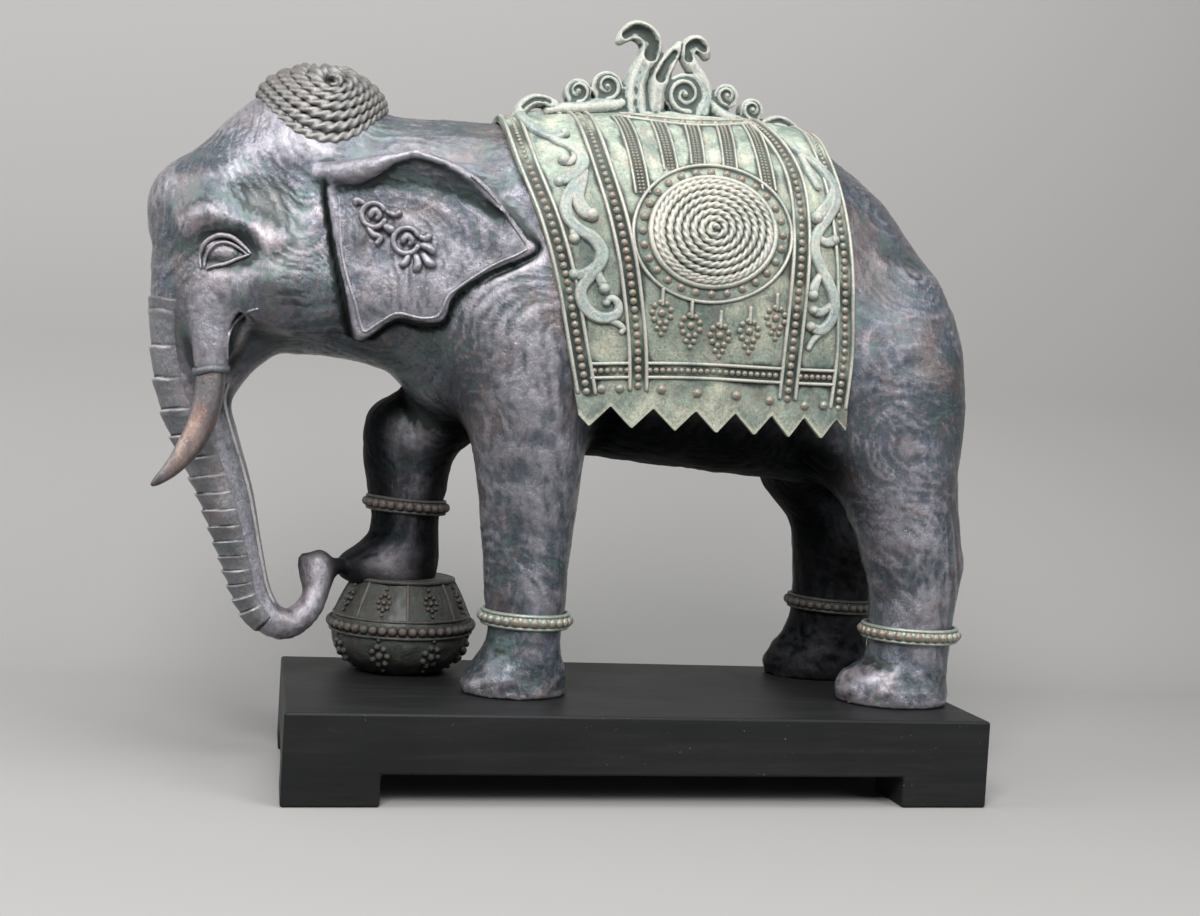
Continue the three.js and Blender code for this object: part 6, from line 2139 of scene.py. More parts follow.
    def build(self, setting: Setting, copper: bpy.types.Material, rope: bpy.types.Material,
              green: bpy.types.Material, leaf: bpy.types.Material) -> None:
        """Makes the ribs and beads, the scrolls, and the coiled rope on both sides.

        Args:
            setting: where the statue lies in the frame.
            copper: the beads' finish.
            rope: the rope's and ribs' finish.
            green: the cloth's finish.
            leaf: the scrolls' finish.
        """
        lines, scrolls, ropes = [], [], []
        for side in (-1.0, 1.0):
            metal, coil = self.medallion(side)
            lines += self.bands(side) + self.yoke(side) + metal + self.tassels(side)
            scrolls += self.vines(side)
            ropes += coil
        self.cloth.build(setting, green, self.laid)
        cast_piece("cloth_ribs", merged(self.rails), setting, rope)
        cast_piece("cloth_beadwork", merged(lines), setting, copper)
        cast_piece("cloth_scrolls", merged(scrolls), setting, leaf)
        cast_piece("medallion_rope", merged(ropes), setting, rope)


# Crest, cap, anklets and pot

def volute(x: float, z: float, radius: float, start: float, turns: float, thick: float) -> list[tuple]:
    """Rows of a scroll that winds inward: its reach shrinks evenly with the turn, and so does its bar.

    Args:
        x: its middle along the body.
        z: its middle's height.
        radius: its reach.
        start: where it starts, in turns.
        turns: how often it winds.
        thick: the bar's radius.

    Returns:
        The rows of x, z and radius.
    """
    steps = math.ceil(abs(turns) * 10)
    share = np.arange(steps + 1) / steps
    angle = 2 * np.pi * (start + turns * share)
    out = (radius - thick) * (1 - 0.9 * share)
    return list(zip(x + out * np.cos(angle), z + out * np.sin(angle), thick * (1 - 0.35 * share)))


@dataclass
class Crest:
    """Leaf scrolls along the ridge of the back, with hollow hoods and raised spirals on flat rounds."""

    step: float = 1.05
    disc_half: float = 6.6
    rounds: tuple[tuple[float, ...], ...] = (
        (23, 421, 15.5, -0.2, -1.7, 2.9), (-33.5, 421, 11.5, -0.25, 1.45, 2.5),
        (-54, 415.5, 9.8, -0.25, 1.35, 2.2),
        (53.5, 423, 9.4, 0.75, -1.35, 2.2), (73, 415, 9.2, 0.75, -1.35, 2.2))

    def leaves(self) -> list[tuple[list[tuple], float]]:
        """The big leaves as rows of x, z and half width, with how flat each is.

        Returns:
            Each leaf's rows and flatness.
        """
        return [
            ([(-12, 402, 11.5), (-13.5, 414, 10), (-13, 426, 8.4), (-8.5, 438, 7.8), (-3.5, 447, 8),
              (-3, 455.5, 8.4),
              (-8.5, 461.5, 8.2), (-15.5, 463, 7), (-21.5, 459.5, 5.2), (-25.5, 455, 3.4)], 1.25),
            ([(2, 402, 8.5), (2, 418, 7.6), (4.5, 432, 7.6), (9, 442, 6.8), (14, 450, 5), (18, 456.5, 2.8)],
             1.4),
            ([(33, 404, 8), (39, 418, 6.4), (36.5, 430, 6), (29.5, 440, 5.6), (24.5, 448, 5.8),
              (25, 455.5, 6.4), (30, 458.5, 6.4), (35, 456, 5.4), (37.8, 451, 3.8)], 1.3),
        ]

    def stems(self) -> list[list[tuple]]:
        """The running stems along the ridge and the arched end leaves.

        Returns:
            Each stem's rows.
        """
        return [
            [(-19, 413, 4), (-26, 408, 6.4), (-38, 405.5, 7.6), (-52, 403, 6.8), (-64, 402, 5.6),
             (-74, 400, 4)],
            [(-64, 402, 3.6), (-74, 406.5, 4.4), (-84, 407, 4.8), (-92, 401, 4.8), (-97, 391, 4.2)],
            [(43, 417, 4), (49, 410, 6), (60, 404.5, 7), (72, 402.5, 6.4), (82, 401, 4.4)],
            [(76, 400, 4), (84, 406, 4.8), (94, 409, 5.2), (104, 405, 5.2), (111, 396, 4.8)],
        ]

    def disc(self, x: float, z: float, radius: float) -> Form:
        """The flat round that a spiral lies on.

        Args:
            x: its middle along the body.
            z: its middle's height.
            radius: the spiral's reach.

        Returns:
            The form.
        """
        def distance(px: Array, py: Array, pz: Array) -> Array:
            """How far a place lies past the rim or past a face, whichever is more."""
            return np.maximum(np.hypot(px - x, pz - z) - radius + 0.6, np.abs(py) - self.disc_half)

        reach = np.array([radius, 6.0, radius])
        middle = np.array([x, 0.0, z])
        return Form(middle - reach, middle + reach, distance)

    def surface(self) -> Surface:
        """Joins the forms, hollows the hoods from both faces, and lays each spiral on its round.

        Returns:
            The crest.
        """
        volume = Volume([(-106, 122, self.step)], [(-18, 18, self.step)], [(384, 475, self.step)])
        volume.join(bar([(-70, 0, 393, 6), (-20, 0, 400, 7), (30, 0, 402, 7), (90, 0, 398, 6)], 2, 3), 3)
        for rows, flat in self.leaves():
            volume.join(bar([(x, 0, z, r) for x, z, r in rows], flat, 4), 0.8)
        for rows in self.stems():
            volume.join(bar([(x, 0, z, r) for x, z, r in rows], 2.0, 3), 1.0)
        big, middle, right = (rows for rows, _ in self.leaves())
        shallow = [(big[:5], 1.35, 0.55), (middle[:4], 1.6, 0.5), (right[:5], 1.45, 0.45)]
        for rows, flat, share in shallow:
            volume.hollow(bar([(x, r * (flat + 0.18), z, r * share) for x, z, r in rows], 0.8, 3).mirrored(),
                          2.0)
        deep = [(big[4:9], 1.35, 0.66), (middle[2:5], 1.6, 0.6), (right[4:8], 1.45, 0.62)]
        for rows, flat, share in deep:
            volume.hollow(bar([(x, r * flat, z - 0.8, r * share) for x, z, r in rows], 1.9, 3).mirrored(),
                          0.8)
        for rows in self.stems()[1::2]:
            volume.hollow(bar([(x, r * 2.1, z, r * 0.5) for x, z, r in rows[1:-1]], 1.4, 3).mirrored(), 0.8)
        for x, z, radius, start, turns, thick in self.rounds:
            volume.join(self.disc(x, z, radius), 2.5)
            spiral = [(px, 0, pz, r) for px, pz, r in volute(x, z, radius, start, turns, thick)]
            volume.join(bar(spiral, 10.5 / thick, 2), 0.5)
            volume.join(ball(x, 0, z, 2.6, 10.5, 2.6), 0.5)
        made = volume.surface()
        smoothed(made, 1)
        normals = made.normals()
        made.points += normals * (0.22 * Grain(8).layered(made.points, 5.0, 2))[:, None]
        fine, broad = relief(made, 3), relief(made, 12)
        made.wear = 0.5 + 0.34 * np.tanh(fine / 0.12) + 0.42 * np.tanh(broad / 0.45)
        return made

    def build(self, setting: Setting, material: bpy.types.Material) -> None:
        """Makes the crest."""
        cast_piece("crest_scrolls", self.surface(), setting, material, sharp=70)


@dataclass
class RopeCap:
    """A rope coiled into a cap on the crown of the head, closer together on the near side."""

    centre: tuple[float, float] = (-228.0, 0.0)
    half: tuple[float, float] = (43.0, 51.0)
    ridge_z: float = 390.0
    sag: float = 0.0128
    crown_z: float = 410.5
    pole: tuple[float, float] = (5.0, -31.0)
    turns: float = 6.4

    def place(self, share: Array, turn: Array) -> tuple[Array, Array]:
        """A point of the dome between its pole and its rim, with the way out of it.

        The rim sags by a square of y, as the head's ridge does, and the dome over it is elliptical.

        Args:
            share: how far from the pole to the rim.
            turn: the angle about it.

        Returns:
            The points and the ways out.
        """
        cx, cy = self.centre
        rx, ry = self.half
        px = self.pole[0] * (1 - share) + rx * share * np.cos(turn)
        py = self.pole[1] * (1 - share) + ry * share * np.sin(turn)

        def height(px: Array, py: Array) -> Array:
            """The dome over its sagging rim."""
            reach = np.sqrt((px / rx)**2 + (py / ry)**2)
            rim_y = py / np.maximum(reach, 0.05)
            rim = self.ridge_z - self.sag * np.minimum(np.abs(rim_y), ry)**2
            return rim + (self.crown_z - rim) * np.sqrt(np.clip(1 - reach**2, 0.0, 1.0))

        lean_x = height(px * 0.985 + 1, py * 0.985) - height(px * 0.985 - 1, py * 0.985)
        lean_y = height(px * 0.985, py * 0.985 + 1) - height(px * 0.985, py * 0.985 - 1)
        ups = np.stack([-lean_x / 2, -lean_y / 2, np.ones_like(lean_x)], axis=-1)
        ups /= np.linalg.norm(ups, axis=-1, keepdims=True)
        return np.stack([cx + px, cy + py, height(px, py)], axis=-1), ups

    def surface(self) -> Surface:
        """The coil wound inward from the rim, over a plain dome that closes the gaps.

        Returns:
            The cap.
        """
        steps = int(self.turns * 130)
        turn = -2 * np.pi * np.arange(steps) / 130 + 0.6
        slope = np.linspace(np.pi / 2, 0.04, steps)
        points, ups = self.place(np.sin(slope), turn)
        inner, _ = self.place(np.sin(np.maximum(slope - 1.52 / self.turns, 0.0)), turn)
        gap = np.linalg.norm(points - inner, axis=1)
        half = np.clip(gap * 0.56, 2.8, 9.5)
        path = even_curve(np.hstack([points, ups, half[:, None]]), 1.15)
        rope = sweep(path[:, :3] - path[:, 3:6] * 0.8, path[:, 3:6], path[:, 6], path[:, 6] * 0.82, 14,
                     strands=3, strand_depth=0.34, pitch=24.0)
        around = np.linspace(0, 2 * np.pi, 64, endpoint=False)[None, :]
        level = np.linspace(1.0, 0.04, 12)[:, None]
        dome, out = self.place(level + 0 * around, around + 0 * level)
        dome = (dome - out * 2.2).reshape(-1, 3)
        points = np.vstack([dome, dome[-64:].mean(axis=0), [*self.centre, self.ridge_z - 40]])
        n, m = np.arange(64), (np.arange(64) + 1) % 64
        groups = [grid_faces(12, 64, ring_columns=True), np.stack([11 * 64 + n, 11 * 64 + m, 0 * n + 768],
                                                                  axis=1),
                  np.stack([m, n, 0 * n + 769], axis=1)]
        return merged([rope, Surface(points, groups, np.full(len(points), 0.1))])

    def build(self, setting: Setting, material: bpy.types.Material) -> None:
        """Makes the cap."""
        cast_piece("crown_rope", self.surface(), setting, material)


@dataclass
class Anklets:
    """A ring of beads between two thin rims on each leg."""

    bead: float = 3.5
    rings: tuple[tuple[float, ...], ...] = (
        (-75.5, -37, 51, 29, 28, -0.02), (201, -48, 50, 33, 30, -0.01),
        (180, 55, 56, 32, 30, -0.03), (-153, 43, 119, 27.5, 27, -0.05))

    def ring(self, x: float, y: float, z: float, rx: float, ry: float, tilt: float) -> list[Surface]:
        """One anklet: beads on an ellipse about the leg, and rims above and below.

        Args:
            x: its middle along the body.
            y: its middle across the body.
            z: its height.
            rx: half its length.
            ry: half its width.
            tilt: how much it rises along the body.

        Returns:
            The rims, the band and the beads.
        """
        made = []

        def around(count: int, grow: float, rise: float) -> tuple[Array, Array]:
            """Points on the ellipse about the leg, and the ways straight out of it."""
            turn = 2 * np.pi * np.arange(count) / count
            px, py = (rx + grow) * np.cos(turn), (ry + grow) * np.sin(turn)
            ups = np.stack([np.cos(turn) / rx, np.sin(turn) / ry, 0 * turn], axis=1)
            ups /= np.linalg.norm(ups, axis=1)[:, None]
            return np.stack([x + px, y + py, z + rise + tilt * px], axis=1), ups

        for rise, thick in ((-4.2, 1.35), (4.2, 1.35)):
            points, ups = around(90, -0.4, rise)
            made.append(sweep(points, ups, thick, thick * 1.5, 8, ring=True))
        points, ups = around(90, -1.5, 0.0)
        made.append(sweep(points, ups, 4.4, 3.4, 10, ring=True))
        for part in made:
            part.wear = part.wear * 0.6
        count = int(2 * np.pi * (rx + ry) / 2 / (self.bead * 1.72))
        points, ups = around(count, 1.6, 0.0)
        made.append(beads(points, ups, self.bead, squat=0.95, sink=0.2, sides=10))
        return made

    def build(self, setting: Setting, light: bpy.types.Material, dark: bpy.types.Material) -> None:
        """Makes the near pair in the lighter finish and the far pair in the dark one, which paints shade on
        the far side.

        Args:
            setting: where the statue lies in the frame.
            light: the near pair's finish.
            dark: the far pair's finish, dark as painted shade.
        """
        near = [part for ring in self.rings if ring[1] < 0 for part in self.ring(*ring)]
        far = [part for ring in self.rings if ring[1] > 0 for part in self.ring(*ring)]
        cast_piece("near_anklets", merged(near), setting, light)
        # painted shade: the far pair take the dark finish because they stand in shade
        cast_piece("far_anklets", merged(far), setting, dark)


@dataclass
class Pot:
    """The round pot under the raised foot, with panels above and bosses below its bead ring."""

    x: float = -152.0
    y: float = 43.0
    top: float = 67.0
    ring_z: float = 34.0
    panels: int = 8
    sides: int = 128
    girth: Profile = field(default_factory=lambda: Profile(
        (0, 30), (4, 36), (11, 44), (20, 48.5), (29, 50), (36, 49.5), (48, 45), (60, 39), (67, 34.5)))

    def out(self, turn: Array, z: Array, lift: float = 0.0) -> tuple[Array, Array]:
        """Points on the pot and the way out of it.

        Args:
            turn: angles about the pot.
            z: heights.
            lift: how far off its side.

        Returns:
            The points and the ways out.
        """
        reach = self.girth(z) + lift
        slope = (self.girth(z + 1) - self.girth(z - 1)) / 2
        ups = np.stack([np.cos(turn), np.sin(turn), -slope + 0 * turn], axis=-1)
        points = np.stack([self.x + reach * np.cos(turn), self.y + reach * np.sin(turn), z + 0 * turn],
                          axis=-1)
        return points, ups / np.linalg.norm(ups, axis=-1, keepdims=True)

    def body(self) -> Surface:
        """A turned profile, flattened into panels above the ring and closed at both ends.

        Returns:
            The pot.
        """
        z = np.linspace(0.0, self.top, 44)[:, None]
        turn = 2 * np.pi * np.arange(self.sides)[None, :] / self.sides
        flat = 1 - 0.035 * ease(37, 43, z) * (1 - np.abs(np.cos(self.panels / 2 * turn)))
        reach = self.girth(z) * flat
        plain = np.stack([reach * np.cos(turn), reach * np.sin(turn), z + 0 * turn], axis=2)
        lump = 0.6 * Grain(14).layered(plain.reshape(-1, 3), 9.0, 3)
        reach = reach + lump.reshape(reach.shape) * ease(0, 4, z)
        rows = np.stack([self.x + reach * np.cos(turn), self.y + reach * np.sin(turn), z + 0 * turn], axis=2)
        points = np.vstack([rows.reshape(-1, 3), [[self.x, self.y, 0.0], [self.x, self.y, self.top + 1]]])
        n, m = np.arange(self.sides), (np.arange(self.sides) + 1) % self.sides
        last = 44 * self.sides
        groups = [grid_faces(44, self.sides, ring_columns=True), np.stack([m, n, 0 * n + last], axis=1),
                  np.stack([last - self.sides + n, last - self.sides + m, 0 * n + last + 1], axis=1)]
        return Surface(points, groups, 0.42 + 0.1 * np.sin(points[:, 0] * 1.3))

    def dress(self) -> list[Surface]:
        """The bead ring, the rims, the ribs between panels, bead flowers on them and bosses below.

        Returns:
            The raised work.
        """
        made = []
        turn = 2 * np.pi * np.arange(140) / 140
        for z, reach, thick in ((self.ring_z + 6.2, 0.2, 1.1), (self.ring_z - 5.0, 0.4, 1.2),
                                (self.top - 1.2, 0.4, 1.6)):
            points, ups = self.out(turn, np.full(140, z), reach)
            made.append(sweep(points, ups, thick, thick * 1.1, 7, ring=True))
        for part in made:
            part.wear = part.wear * 0.8
        spot = 2 * np.pi * np.arange(46) / 46
        points, ups = self.out(spot, np.full(46, self.ring_z), 1.0)
        made.append(beads(points, ups, 3.7, squat=0.9, sink=0.1, sides=10))
        for n in range(self.panels):
            edge = 2 * np.pi * n / self.panels
            z = np.linspace(self.ring_z + 7, self.top - 2, 14)
            points, ups = self.out(np.full(14, edge), z, 0.0)
            made.append(sweep(points, ups, 1.0, 1.0, 6))
            middle = edge + np.pi / self.panels
            made.append(self.flower(middle, 52.5, 5.0, 1.75, 8))
            made.append(self.flower(middle, 16.0, 6.6, 2.6, 7))
        return made

    def flower(self, turn: float, z: float, reach: float, bead: float, count: int) -> Surface:
        """Beads round a middle bead on the pot's side, with a drop above and below.

        Args:
            turn: the angle about the pot.
            z: its middle's height.
            reach: its radius.
            bead: each bead's radius.
            count: how many beads are round it.

        Returns:
            The beads.
        """
        angle = 2 * np.pi * np.arange(count) / count
        up = np.concatenate([[0.0], reach * np.sin(angle), [reach * 1.75, -reach * 1.7]])
        aside = np.concatenate([[0.0], reach * 0.85 * np.cos(angle), [0.0, 0.0]])
        z_all = np.clip(z + up, 2.0, self.top - 2)
        points, ups = self.out(turn + aside / self.girth(z_all), z_all, -0.6)
        return beads(points, ups, bead * np.concatenate([[1.25], np.ones(count), [0.8, 0.8]]), sink=0.0)

    def build(self, setting: Setting, material: bpy.types.Material) -> None:
        """Makes the pot with all its work."""
        cast_piece("foot_pot", merged([self.body(), *self.dress()]), setting, material, sharp=60)


@dataclass
class HeadWork:
    """Lids about the eyes and a scroll of flowers on each ear."""

    skin: Volume

    def out_to(self, x: Array, z: Array, side: float) -> Array:
        """Points on the skin at places seen from the side."""
        inner = np.stack([x, 0 * x, z], axis=1)
        return self.skin.hit(inner, np.tile([0.0, side, 0.0], (len(x), 1)), 97.0)

    def cord(self, rows: Sequence[tuple[float, float, float]], side: float, lift: float = 0.0,
             tall: float = 1.0) -> Surface:
        """A tapering ridge through rows of x, z and radius, laid on the skin.

        Args:
            rows: the rows.
            side: -1 for the near side, 1 for the far one.
            lift: how far off the skin.
            tall: its height over its width.

        Returns:
            The ridge.
        """
        path = along_curve(rows, 8)
        points = self.out_to(path[:, 0], path[:, 1], side)
        soft = np.convolve(np.pad(points[:, 1], 3, mode="edge"), np.ones(7) / 7, mode="valid")
        points[:, 1] = soft + side * lift
        ups = np.tile([0.0, side, 0.0], (len(points), 1))
        radii = rounded_radii(points, path[:, 2])
        return sweep(points, ups, radii, radii * tall, 9)

    def eyes(self, side: float) -> list[Surface]:
        """The double rim of the upper lid and the lower lid.

        Args:
            side: -1 for the near side, 1 for the far one.

        Returns:
            The rims.
        """
        return [
            self.cord([(-300, 270, 1.0), (-301, 279, 1.4), (-298, 287, 1.7), (-291, 292, 1.9),
                       (-283, 292, 1.8), (-276, 288, 1.5), (-269, 281.5, 1.0)], side, 0.6),
            self.cord([(-298, 271, 0.7), (-297, 279, 1.0), (-292, 286, 1.1), (-285, 288, 1.1),
                       (-278, 285.5, 1.0), (-272, 281.5, 0.7)], side, 1.4),
            self.cord([(-297, 270, 0.8), (-292, 272.5, 1.2), (-285, 274.5, 1.3), (-278, 278, 1.2),
                       (-270, 281.5, 0.8)], side, 1.0),
        ]

    def lines(self, side: float) -> list[Surface]:
        """The mouth's rim and the ear's rim.

        Args:
            side: -1 for the near side, 1 for the far one.

        Returns:
            The rims.
        """
        rows = [
            [(-281, 213, 1.0), (-281.5, 224, 1.2), (-280, 233, 1.3), (-276, 240, 1.3), (-269, 245, 1.2),
             (-263, 247, 0.7)],
            [(-216.5, 322, 0.8), (-215, 308, 1.1), (-213.5, 290, 1.1), (-208.5, 270, 1.1), (-202.5, 254, 1.1),
             (-198.5, 241, 1.1), (-195, 237, 1.1), (-186, 243.5, 1.1), (-176, 249.5, 1.1), (-160, 247.5, 1.1),
             (-149.5, 250.5, 1.1), (-145, 262, 1.1), (-139, 268, 1.1), (-127, 277.5, 1.1), (-115, 285.5, 1.1),
             (-103, 291.5, 1.1), (-96, 296, 0.9)],
            [(-97, 299, 0.8), (-103, 307, 1.0), (-113, 319, 1.0), (-124, 330, 1.0), (-136, 339, 0.8)],
        ]
        return [self.cord(path, side, -0.15) for path in rows]

    def ear_flowers(self, side: float) -> list[Surface]:
        """Two round flowers with curled leaves between and about them.

        Args:
            side: -1 for the near side, 1 for the far one.

        Returns:
            The flowers and leaves.
        """
        made = []
        for x, z, reach in ((-194, 311, 7.6), (-173, 296, 8.2)):
            turn = np.linspace(0.3, 2 * np.pi - 0.2, 9)
            ring = [(x + reach * math.cos(t), z + reach * math.sin(t), 2.1) for t in turn]
            made.append(self.cord(ring, side, 1.0, 1.3))
            made.append(self.cord([(x - 3, z - 2, 2.2), (x, z + 3, 2.6), (x + 3.4, z, 2.2),
                                   (x + 1, z - 3, 1.8)],
                                  side, 1.2, 1.3))
        leaves = [
            [(-199, 317, 1.6), (-205, 320, 2.8), (-206, 316, 2.2)],
            [(-187, 314, 1.5), (-181, 312, 2.2), (-177, 315, 2.8)],
            [(-198, 304, 1.6), (-194, 299, 2.4), (-189, 297, 2.2), (-192, 292, 1.8)],
            [(-188, 305, 2.0), (-184, 303, 3.2), (-180, 301, 2.6)],
            [(-166, 300, 1.6), (-161, 298, 2.6), (-158, 302, 2.8)],
            [(-165, 294, 2.0), (-158, 292, 3.2), (-155, 288, 2.2)],
            [(-171, 288, 1.8), (-173, 282, 2.8), (-177, 281, 2.6)],
            [(-167, 288, 2.0), (-165, 281, 3.2), (-168, 277, 2.2)],
            [(-163, 289, 2.0), (-158, 283, 3.4), (-153, 282, 2.4)],
        ]
        return made + [self.cord(rows, side, 0.9, 1.2) for rows in leaves]

    def build(self, setting: Setting, skin: bpy.types.Material) -> None:
        """Makes the lids and the flowers on both sides.

        Args:
            setting: where the statue lies in the frame.
            skin: the finish.
        """
        lids = [part for side in (-1.0, 1.0) for part in self.eyes(side) + self.lines(side)]
        flowers = [part for side in (-1.0, 1.0) for part in self.ear_flowers(side)]
        cast_piece("head_lines", merged(lids), setting, skin)
        cast_piece("ear_flowers", merged(flowers), setting, skin)


# Tusks and plinth

@dataclass
class Tusks:
    """Two tusks, each set in its socket."""

    sides: int = 28
    root_z: float = 222.0

    def build(self, setting: Setting, material: bpy.types.Material) -> None:
        """Sweeps each tusk along its path with a rounded tip.

        Args:
            setting: where the statue lies in the frame.
            material: the finish.
        """
        path = along_curve([
            (-291, 37, self.root_z, 8.6), (-291, 38, 205, 9.3), (-292, 39, 188, 9.4), (-296, 40.5, 170, 8.8),
            (-303, 42, 155, 7.6), (-312, 43.5, 142, 5.4), (-320, 44.5, 134, 3.2), (-323.5, 45, 131, 1.6),
            (-324.3, 45.1, 130.4, 0.7)], 8)
        for name, side in (("tusk_left", -1.0), ("tusk_right", 1.0)):
            flip = np.array([1.0, side, 1.0])
            ups = np.tile([0.0, side, 0.0], (len(path), 1))
            made = sweep(path[:, :3] * flip, ups, path[:, 3], path[:, 3], self.sides)
            made.wear = 0.5 + 0.3 * Grain(21).layered(made.points * np.array([1, 1, 0.3]), 12.0, 3)
            piece_of(f"{name}_cast", made, setting.figure, material, [name])


@dataclass
class Plinth:
    """The black slab on four corner feet."""

    length: float = 470.0
    depth: float = 200.0
    recess: float = 20.5
    foot_length: float = 61.0
    foot_depth: float = 48.0
    rounding: float = 2.0

    def surface(self, height: float) -> Surface:
        """A block of cells in three by three by two, less the middle cells below the recess.

        Args:
            height: of the block.

        Returns:
            The block.
        """
        xs, ys = (np.array([-whole / 2, foot - whole / 2, whole / 2 - foot, whole / 2])
                  for whole, foot in ((self.length, self.foot_length), (self.depth, self.foot_depth)))
        zs = np.array([0.0, self.recess, height])
        filled = np.zeros((5, 5, 4), bool)
        filled[1:4, 1:4, 2] = True
        filled[1:4:2, 1:4:2, 1] = True
        faces = []
        for axis in range(3):
            step = np.eye(3, dtype=int)[axis]
            u, v = np.eye(3, dtype=int)[(axis + 1) % 3], np.eye(3, dtype=int)[(axis + 2) % 3]
            for way in (1, -1):
                cells = np.argwhere(filled & ~np.roll(filled, -way, axis=axis)) - 1
                base = cells + step * (way == 1)
                quad = [base, base + u, base + u + v, base + v][::way]
                faces.append(np.stack([(q[:, 0] * 4 + q[:, 1]) * 3 + q[:, 2] for q in quad], axis=1))
        i, j, k = np.meshgrid(np.arange(4), np.arange(4), np.arange(3), indexing="ij")
        points = np.stack([xs[i], ys[j], zs[k]], axis=3).reshape(-1, 3)
        used, numbered = np.unique(np.concatenate(faces), return_inverse=True)
        return Surface(points[used], [numbered.reshape(-1, 4)], np.full(len(used), 0.5))

    def build(self, setting: Setting, material: bpy.types.Material) -> None:
        """Makes the block with rounded edges.

        Args:
            setting: where the statue lies in the frame.
            material: the finish.
        """
        made = piece_of("plinth_block", self.surface(setting.plinth_top), setting.plinth, material,
                        ["plinth"], sharp=40)
        bevel = made.modifiers.new("rounded edges", "BEVEL")
        bevel.width = self.rounding / 1000
        bevel.segments = 3
        bevel.limit_method = "ANGLE"
        bevel.harden_normals = True


def plinth_material() -> bpy.types.Material:
    """Satin black paint with brushed drift and pale specks of dust in cloudy patches.

    Returns:
        The material.
    """
    made = bpy.data.materials.new("plinth_black")
    made.use_nodes = True
    made.node_tree.nodes.clear()
    graph = Graph(made.node_tree)
    vector = graph.node("ShaderNodeTexCoord").outputs["Object"]
    brushed = graph.node("ShaderNodeMapping", {"Vector": vector, "Scale": (0.35, 3.0, 5.0)}).outputs[0]
    brush = graph.noise(brushed, 30.0, 6.0, 0.6)
    cloud = graph.noise(vector, 11.0, 6.0, 0.6, 0.4)
    speck = graph.noise(vector, 420.0, 4.0, 0.6)
    colour = graph.mix(cloud, opaque((0.0055, 0.0058, 0.0063)), opaque((0.0125, 0.013, 0.0135)))
    colour = graph.mix(graph.math("MULTIPLY", graph.step(brush, 0.4, 0.75), 0.5), colour,
                       opaque((0.019, 0.0185, 0.018)))
    dust = graph.math("MULTIPLY", graph.step(speck, 0.68, 0.74), graph.step(cloud, 0.5, 0.62))
    colour = graph.mix(graph.math("MULTIPLY", dust, 0.5), colour, opaque((0.2, 0.2, 0.2)))
    rough = graph.math("ADD", 0.34, graph.math("MULTIPLY", cloud, 0.24))
    height = graph.math("ADD", graph.math("MULTIPLY", brush, 0.6), graph.math("MULTIPLY", cloud, 0.8))
    bump = graph.node("ShaderNodeBump", {"Height": height, "Strength": 0.16, "Distance": 0.002}).outputs[0]
    body = graph.node("ShaderNodeBsdfPrincipled", {
        "Base Color": colour, "Roughness": rough, "Normal": bump, "Specular IOR Level": 0.12})
    graph.node("ShaderNodeOutputMaterial", {"Surface": body.outputs[0]})
    return made


# Studio

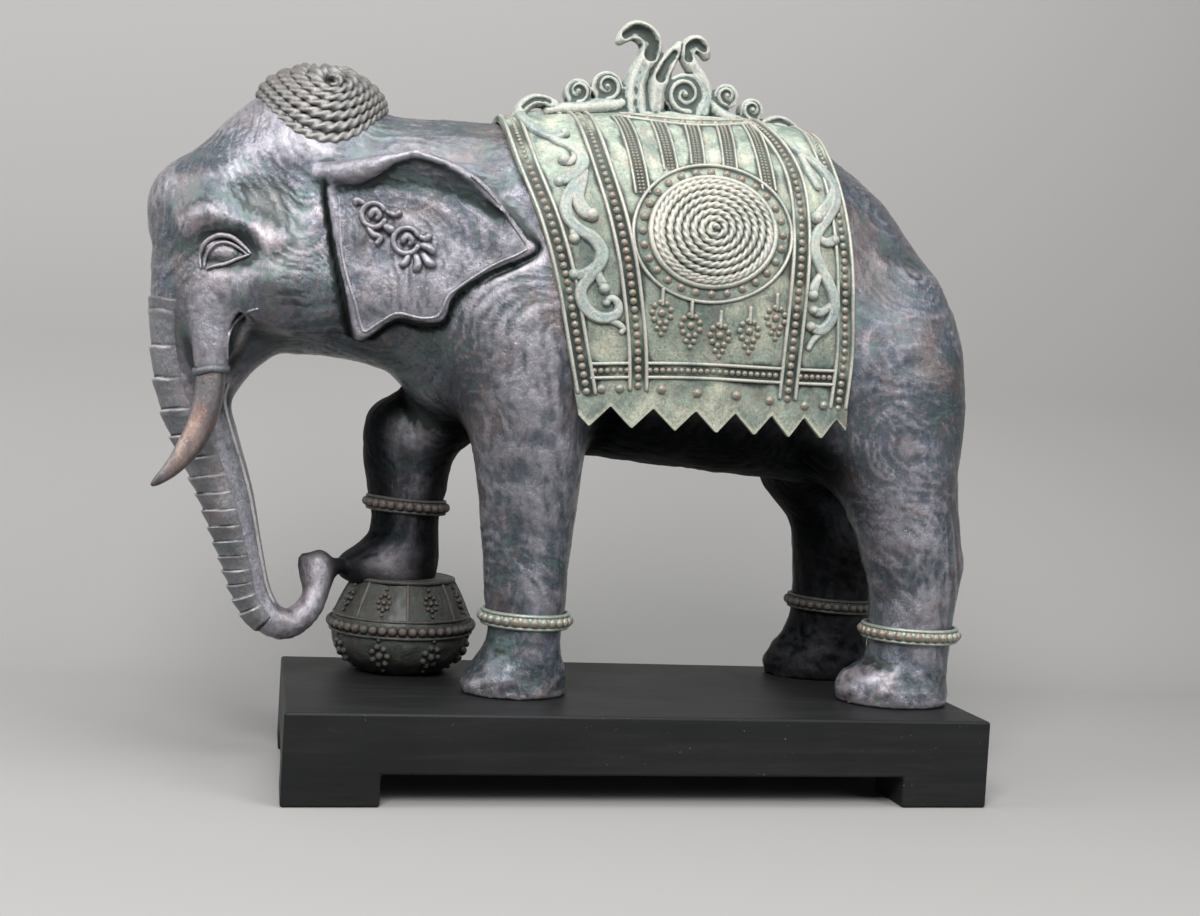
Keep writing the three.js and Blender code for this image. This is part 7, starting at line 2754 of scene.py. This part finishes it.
@dataclass(frozen=True)
class Studio:
    """A plain pale floor that sweeps up behind the statue, and soft lights."""

    wall_y: float = 0.62
    sweep: float = 0.3
    reach: float = 4.0

    def paper(self) -> bpy.types.Material:
        """Pale paper that shows from its front only, so that a view from behind looks through the wall.

        Returns:
            The material.
        """
        made = bpy.data.materials.new("studio_paper")
        made.use_nodes = True
        made.node_tree.nodes.clear()
        graph = Graph(made.node_tree)
        front = graph.node("ShaderNodeBsdfPrincipled", {"Base Color": (0.225, 0.22, 0.213, 1),
                                                        "Roughness": 0.85})
        behind = graph.node("ShaderNodeNewGeometry").outputs["Backfacing"]
        both = graph.node("ShaderNodeMixShader", {
            0: behind, 1: front.outputs[0], 2: graph.node("ShaderNodeBsdfTransparent").outputs[0]})
        graph.node("ShaderNodeOutputMaterial", {"Surface": both.outputs[0]})
        return made

    def sheet(self, name: str, y: Array, z: Array, material: bpy.types.Material) -> None:
        """A profile carried along x, with its front up and towards the camera.

        Args:
            name: the sheet's name.
            y: the profile's places across.
            z: the profile's heights.
            material: the paper.
        """
        x = np.array([-self.reach, self.reach])
        points = np.stack(np.broadcast_arrays(x[:, None], y[None, :], z[None, :]), axis=2).reshape(-1, 3)
        mesh = bpy.data.meshes.new(name)
        mesh.from_pydata(points.tolist(), [], grid_faces(2, len(y)).tolist())
        mesh.update()
        if mesh.polygons[0].normal.z < 0:
            mesh.flip_normals()
        mesh.shade_smooth()
        mesh.materials.append(material)
        made = bpy.data.objects.new(name, mesh)
        bpy.context.scene.collection.objects.link(made)

    def floor(self) -> None:
        """A level floor on all sides, and a wall that a quarter circle joins to it."""
        paper = self.paper()
        self.sheet("studio_floor", np.array([-4.0, 4.0]), np.zeros(2), paper)
        turn = np.linspace(0, np.pi / 2, 24)
        y = np.concatenate([self.wall_y - self.sweep + self.sweep * np.sin(turn), [self.wall_y]])
        z = np.concatenate([self.sweep - self.sweep * np.cos(turn), [4.0]])
        self.sheet("studio_wall", y, z, paper)

    def light(self, name: str, place: Sequence[float], size: float, watts: float, colour: Colour) -> None:
        """A square soft light that faces the statue's middle.

        Args:
            name: the lamp's name.
            place: where it stands.
            size: the length of its side.
            watts: its power.
            colour: its colour.
        """
        data = bpy.data.lights.new(name, "AREA")
        data.shape, data.size, data.energy, data.color = "SQUARE", size, watts, colour
        lamp = bpy.data.objects.new(name, data)
        spot = np.array(place, float)
        back = spot - np.array([0.0, 0.0, 0.28])
        back /= np.linalg.norm(back)
        right = np.cross([0.0, 0.0, 1.0], back)
        right /= np.linalg.norm(right)
        turn = Matrix([list(row) for row in np.stack([right, np.cross(back, right), back], axis=1)])
        lamp.matrix_world = Matrix.Translation(spot) @ turn.to_4x4()
        bpy.context.scene.collection.objects.link(lamp)

    def build(self) -> None:
        """The floor, a key light before the statue, a window beyond its head, a top light and a fill."""
        self.floor()
        self.light("key", (-0.45, -1.25, 1.3), 0.7, 44.0, (1.0, 0.985, 0.99))
        self.light("window", (-1.35, -0.1, 0.95), 0.8, 15.0, (0.97, 0.98, 1.0))
        self.light("top", (0.15, -0.35, 1.7), 0.9, 22.0, (0.98, 1.0, 0.985))
        self.light("fill", (1.25, -1.3, 1.1), 0.9, 24.0, (0.97, 0.985, 1.0))
        world = bpy.data.worlds.new("studio_air")
        world.use_nodes = True
        world.node_tree.nodes["Background"].inputs["Color"].default_value = (0.9, 0.94, 1.0, 1)
        world.node_tree.nodes["Background"].inputs["Strength"].default_value = 0.16
        bpy.context.scene.world = world
        bpy.context.scene.view_settings.view_transform = "Standard"


def main() -> None:
    """Builds the statue in the frame."""
    logging.basicConfig(level=logging.INFO, format="%(name)s: %(message)s")
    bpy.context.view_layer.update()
    setting = Setting.from_frame()
    PhotoView().build(setting)
    Studio().build()
    group = patina_group()
    skin, green, copper = SKIN.material(group), CLOTH.material(group), TRIM.material(group)
    rope, dark = ROPE.material(group), DARK_AND_SHADED.material(group)
    field_of_skin = Skin().build(setting, skin)
    TrunkPlates(field_of_skin).build(setting, PLATES.material(group))
    HeadWork(field_of_skin).build(setting, skin)
    leaf = CREST.material(group)
    Trim(Cloth()).build(setting, copper, COIL.material(group), green, leaf)
    Crest().build(setting, leaf)
    RopeCap().build(setting, rope)
    Anklets().build(setting, copper, dark)
    Pot().build(setting, dark)
    Tusks().build(setting, TUSK.material(group))
    Plinth().build(setting, plinth_material())


if __name__ == "__main__":
    main()
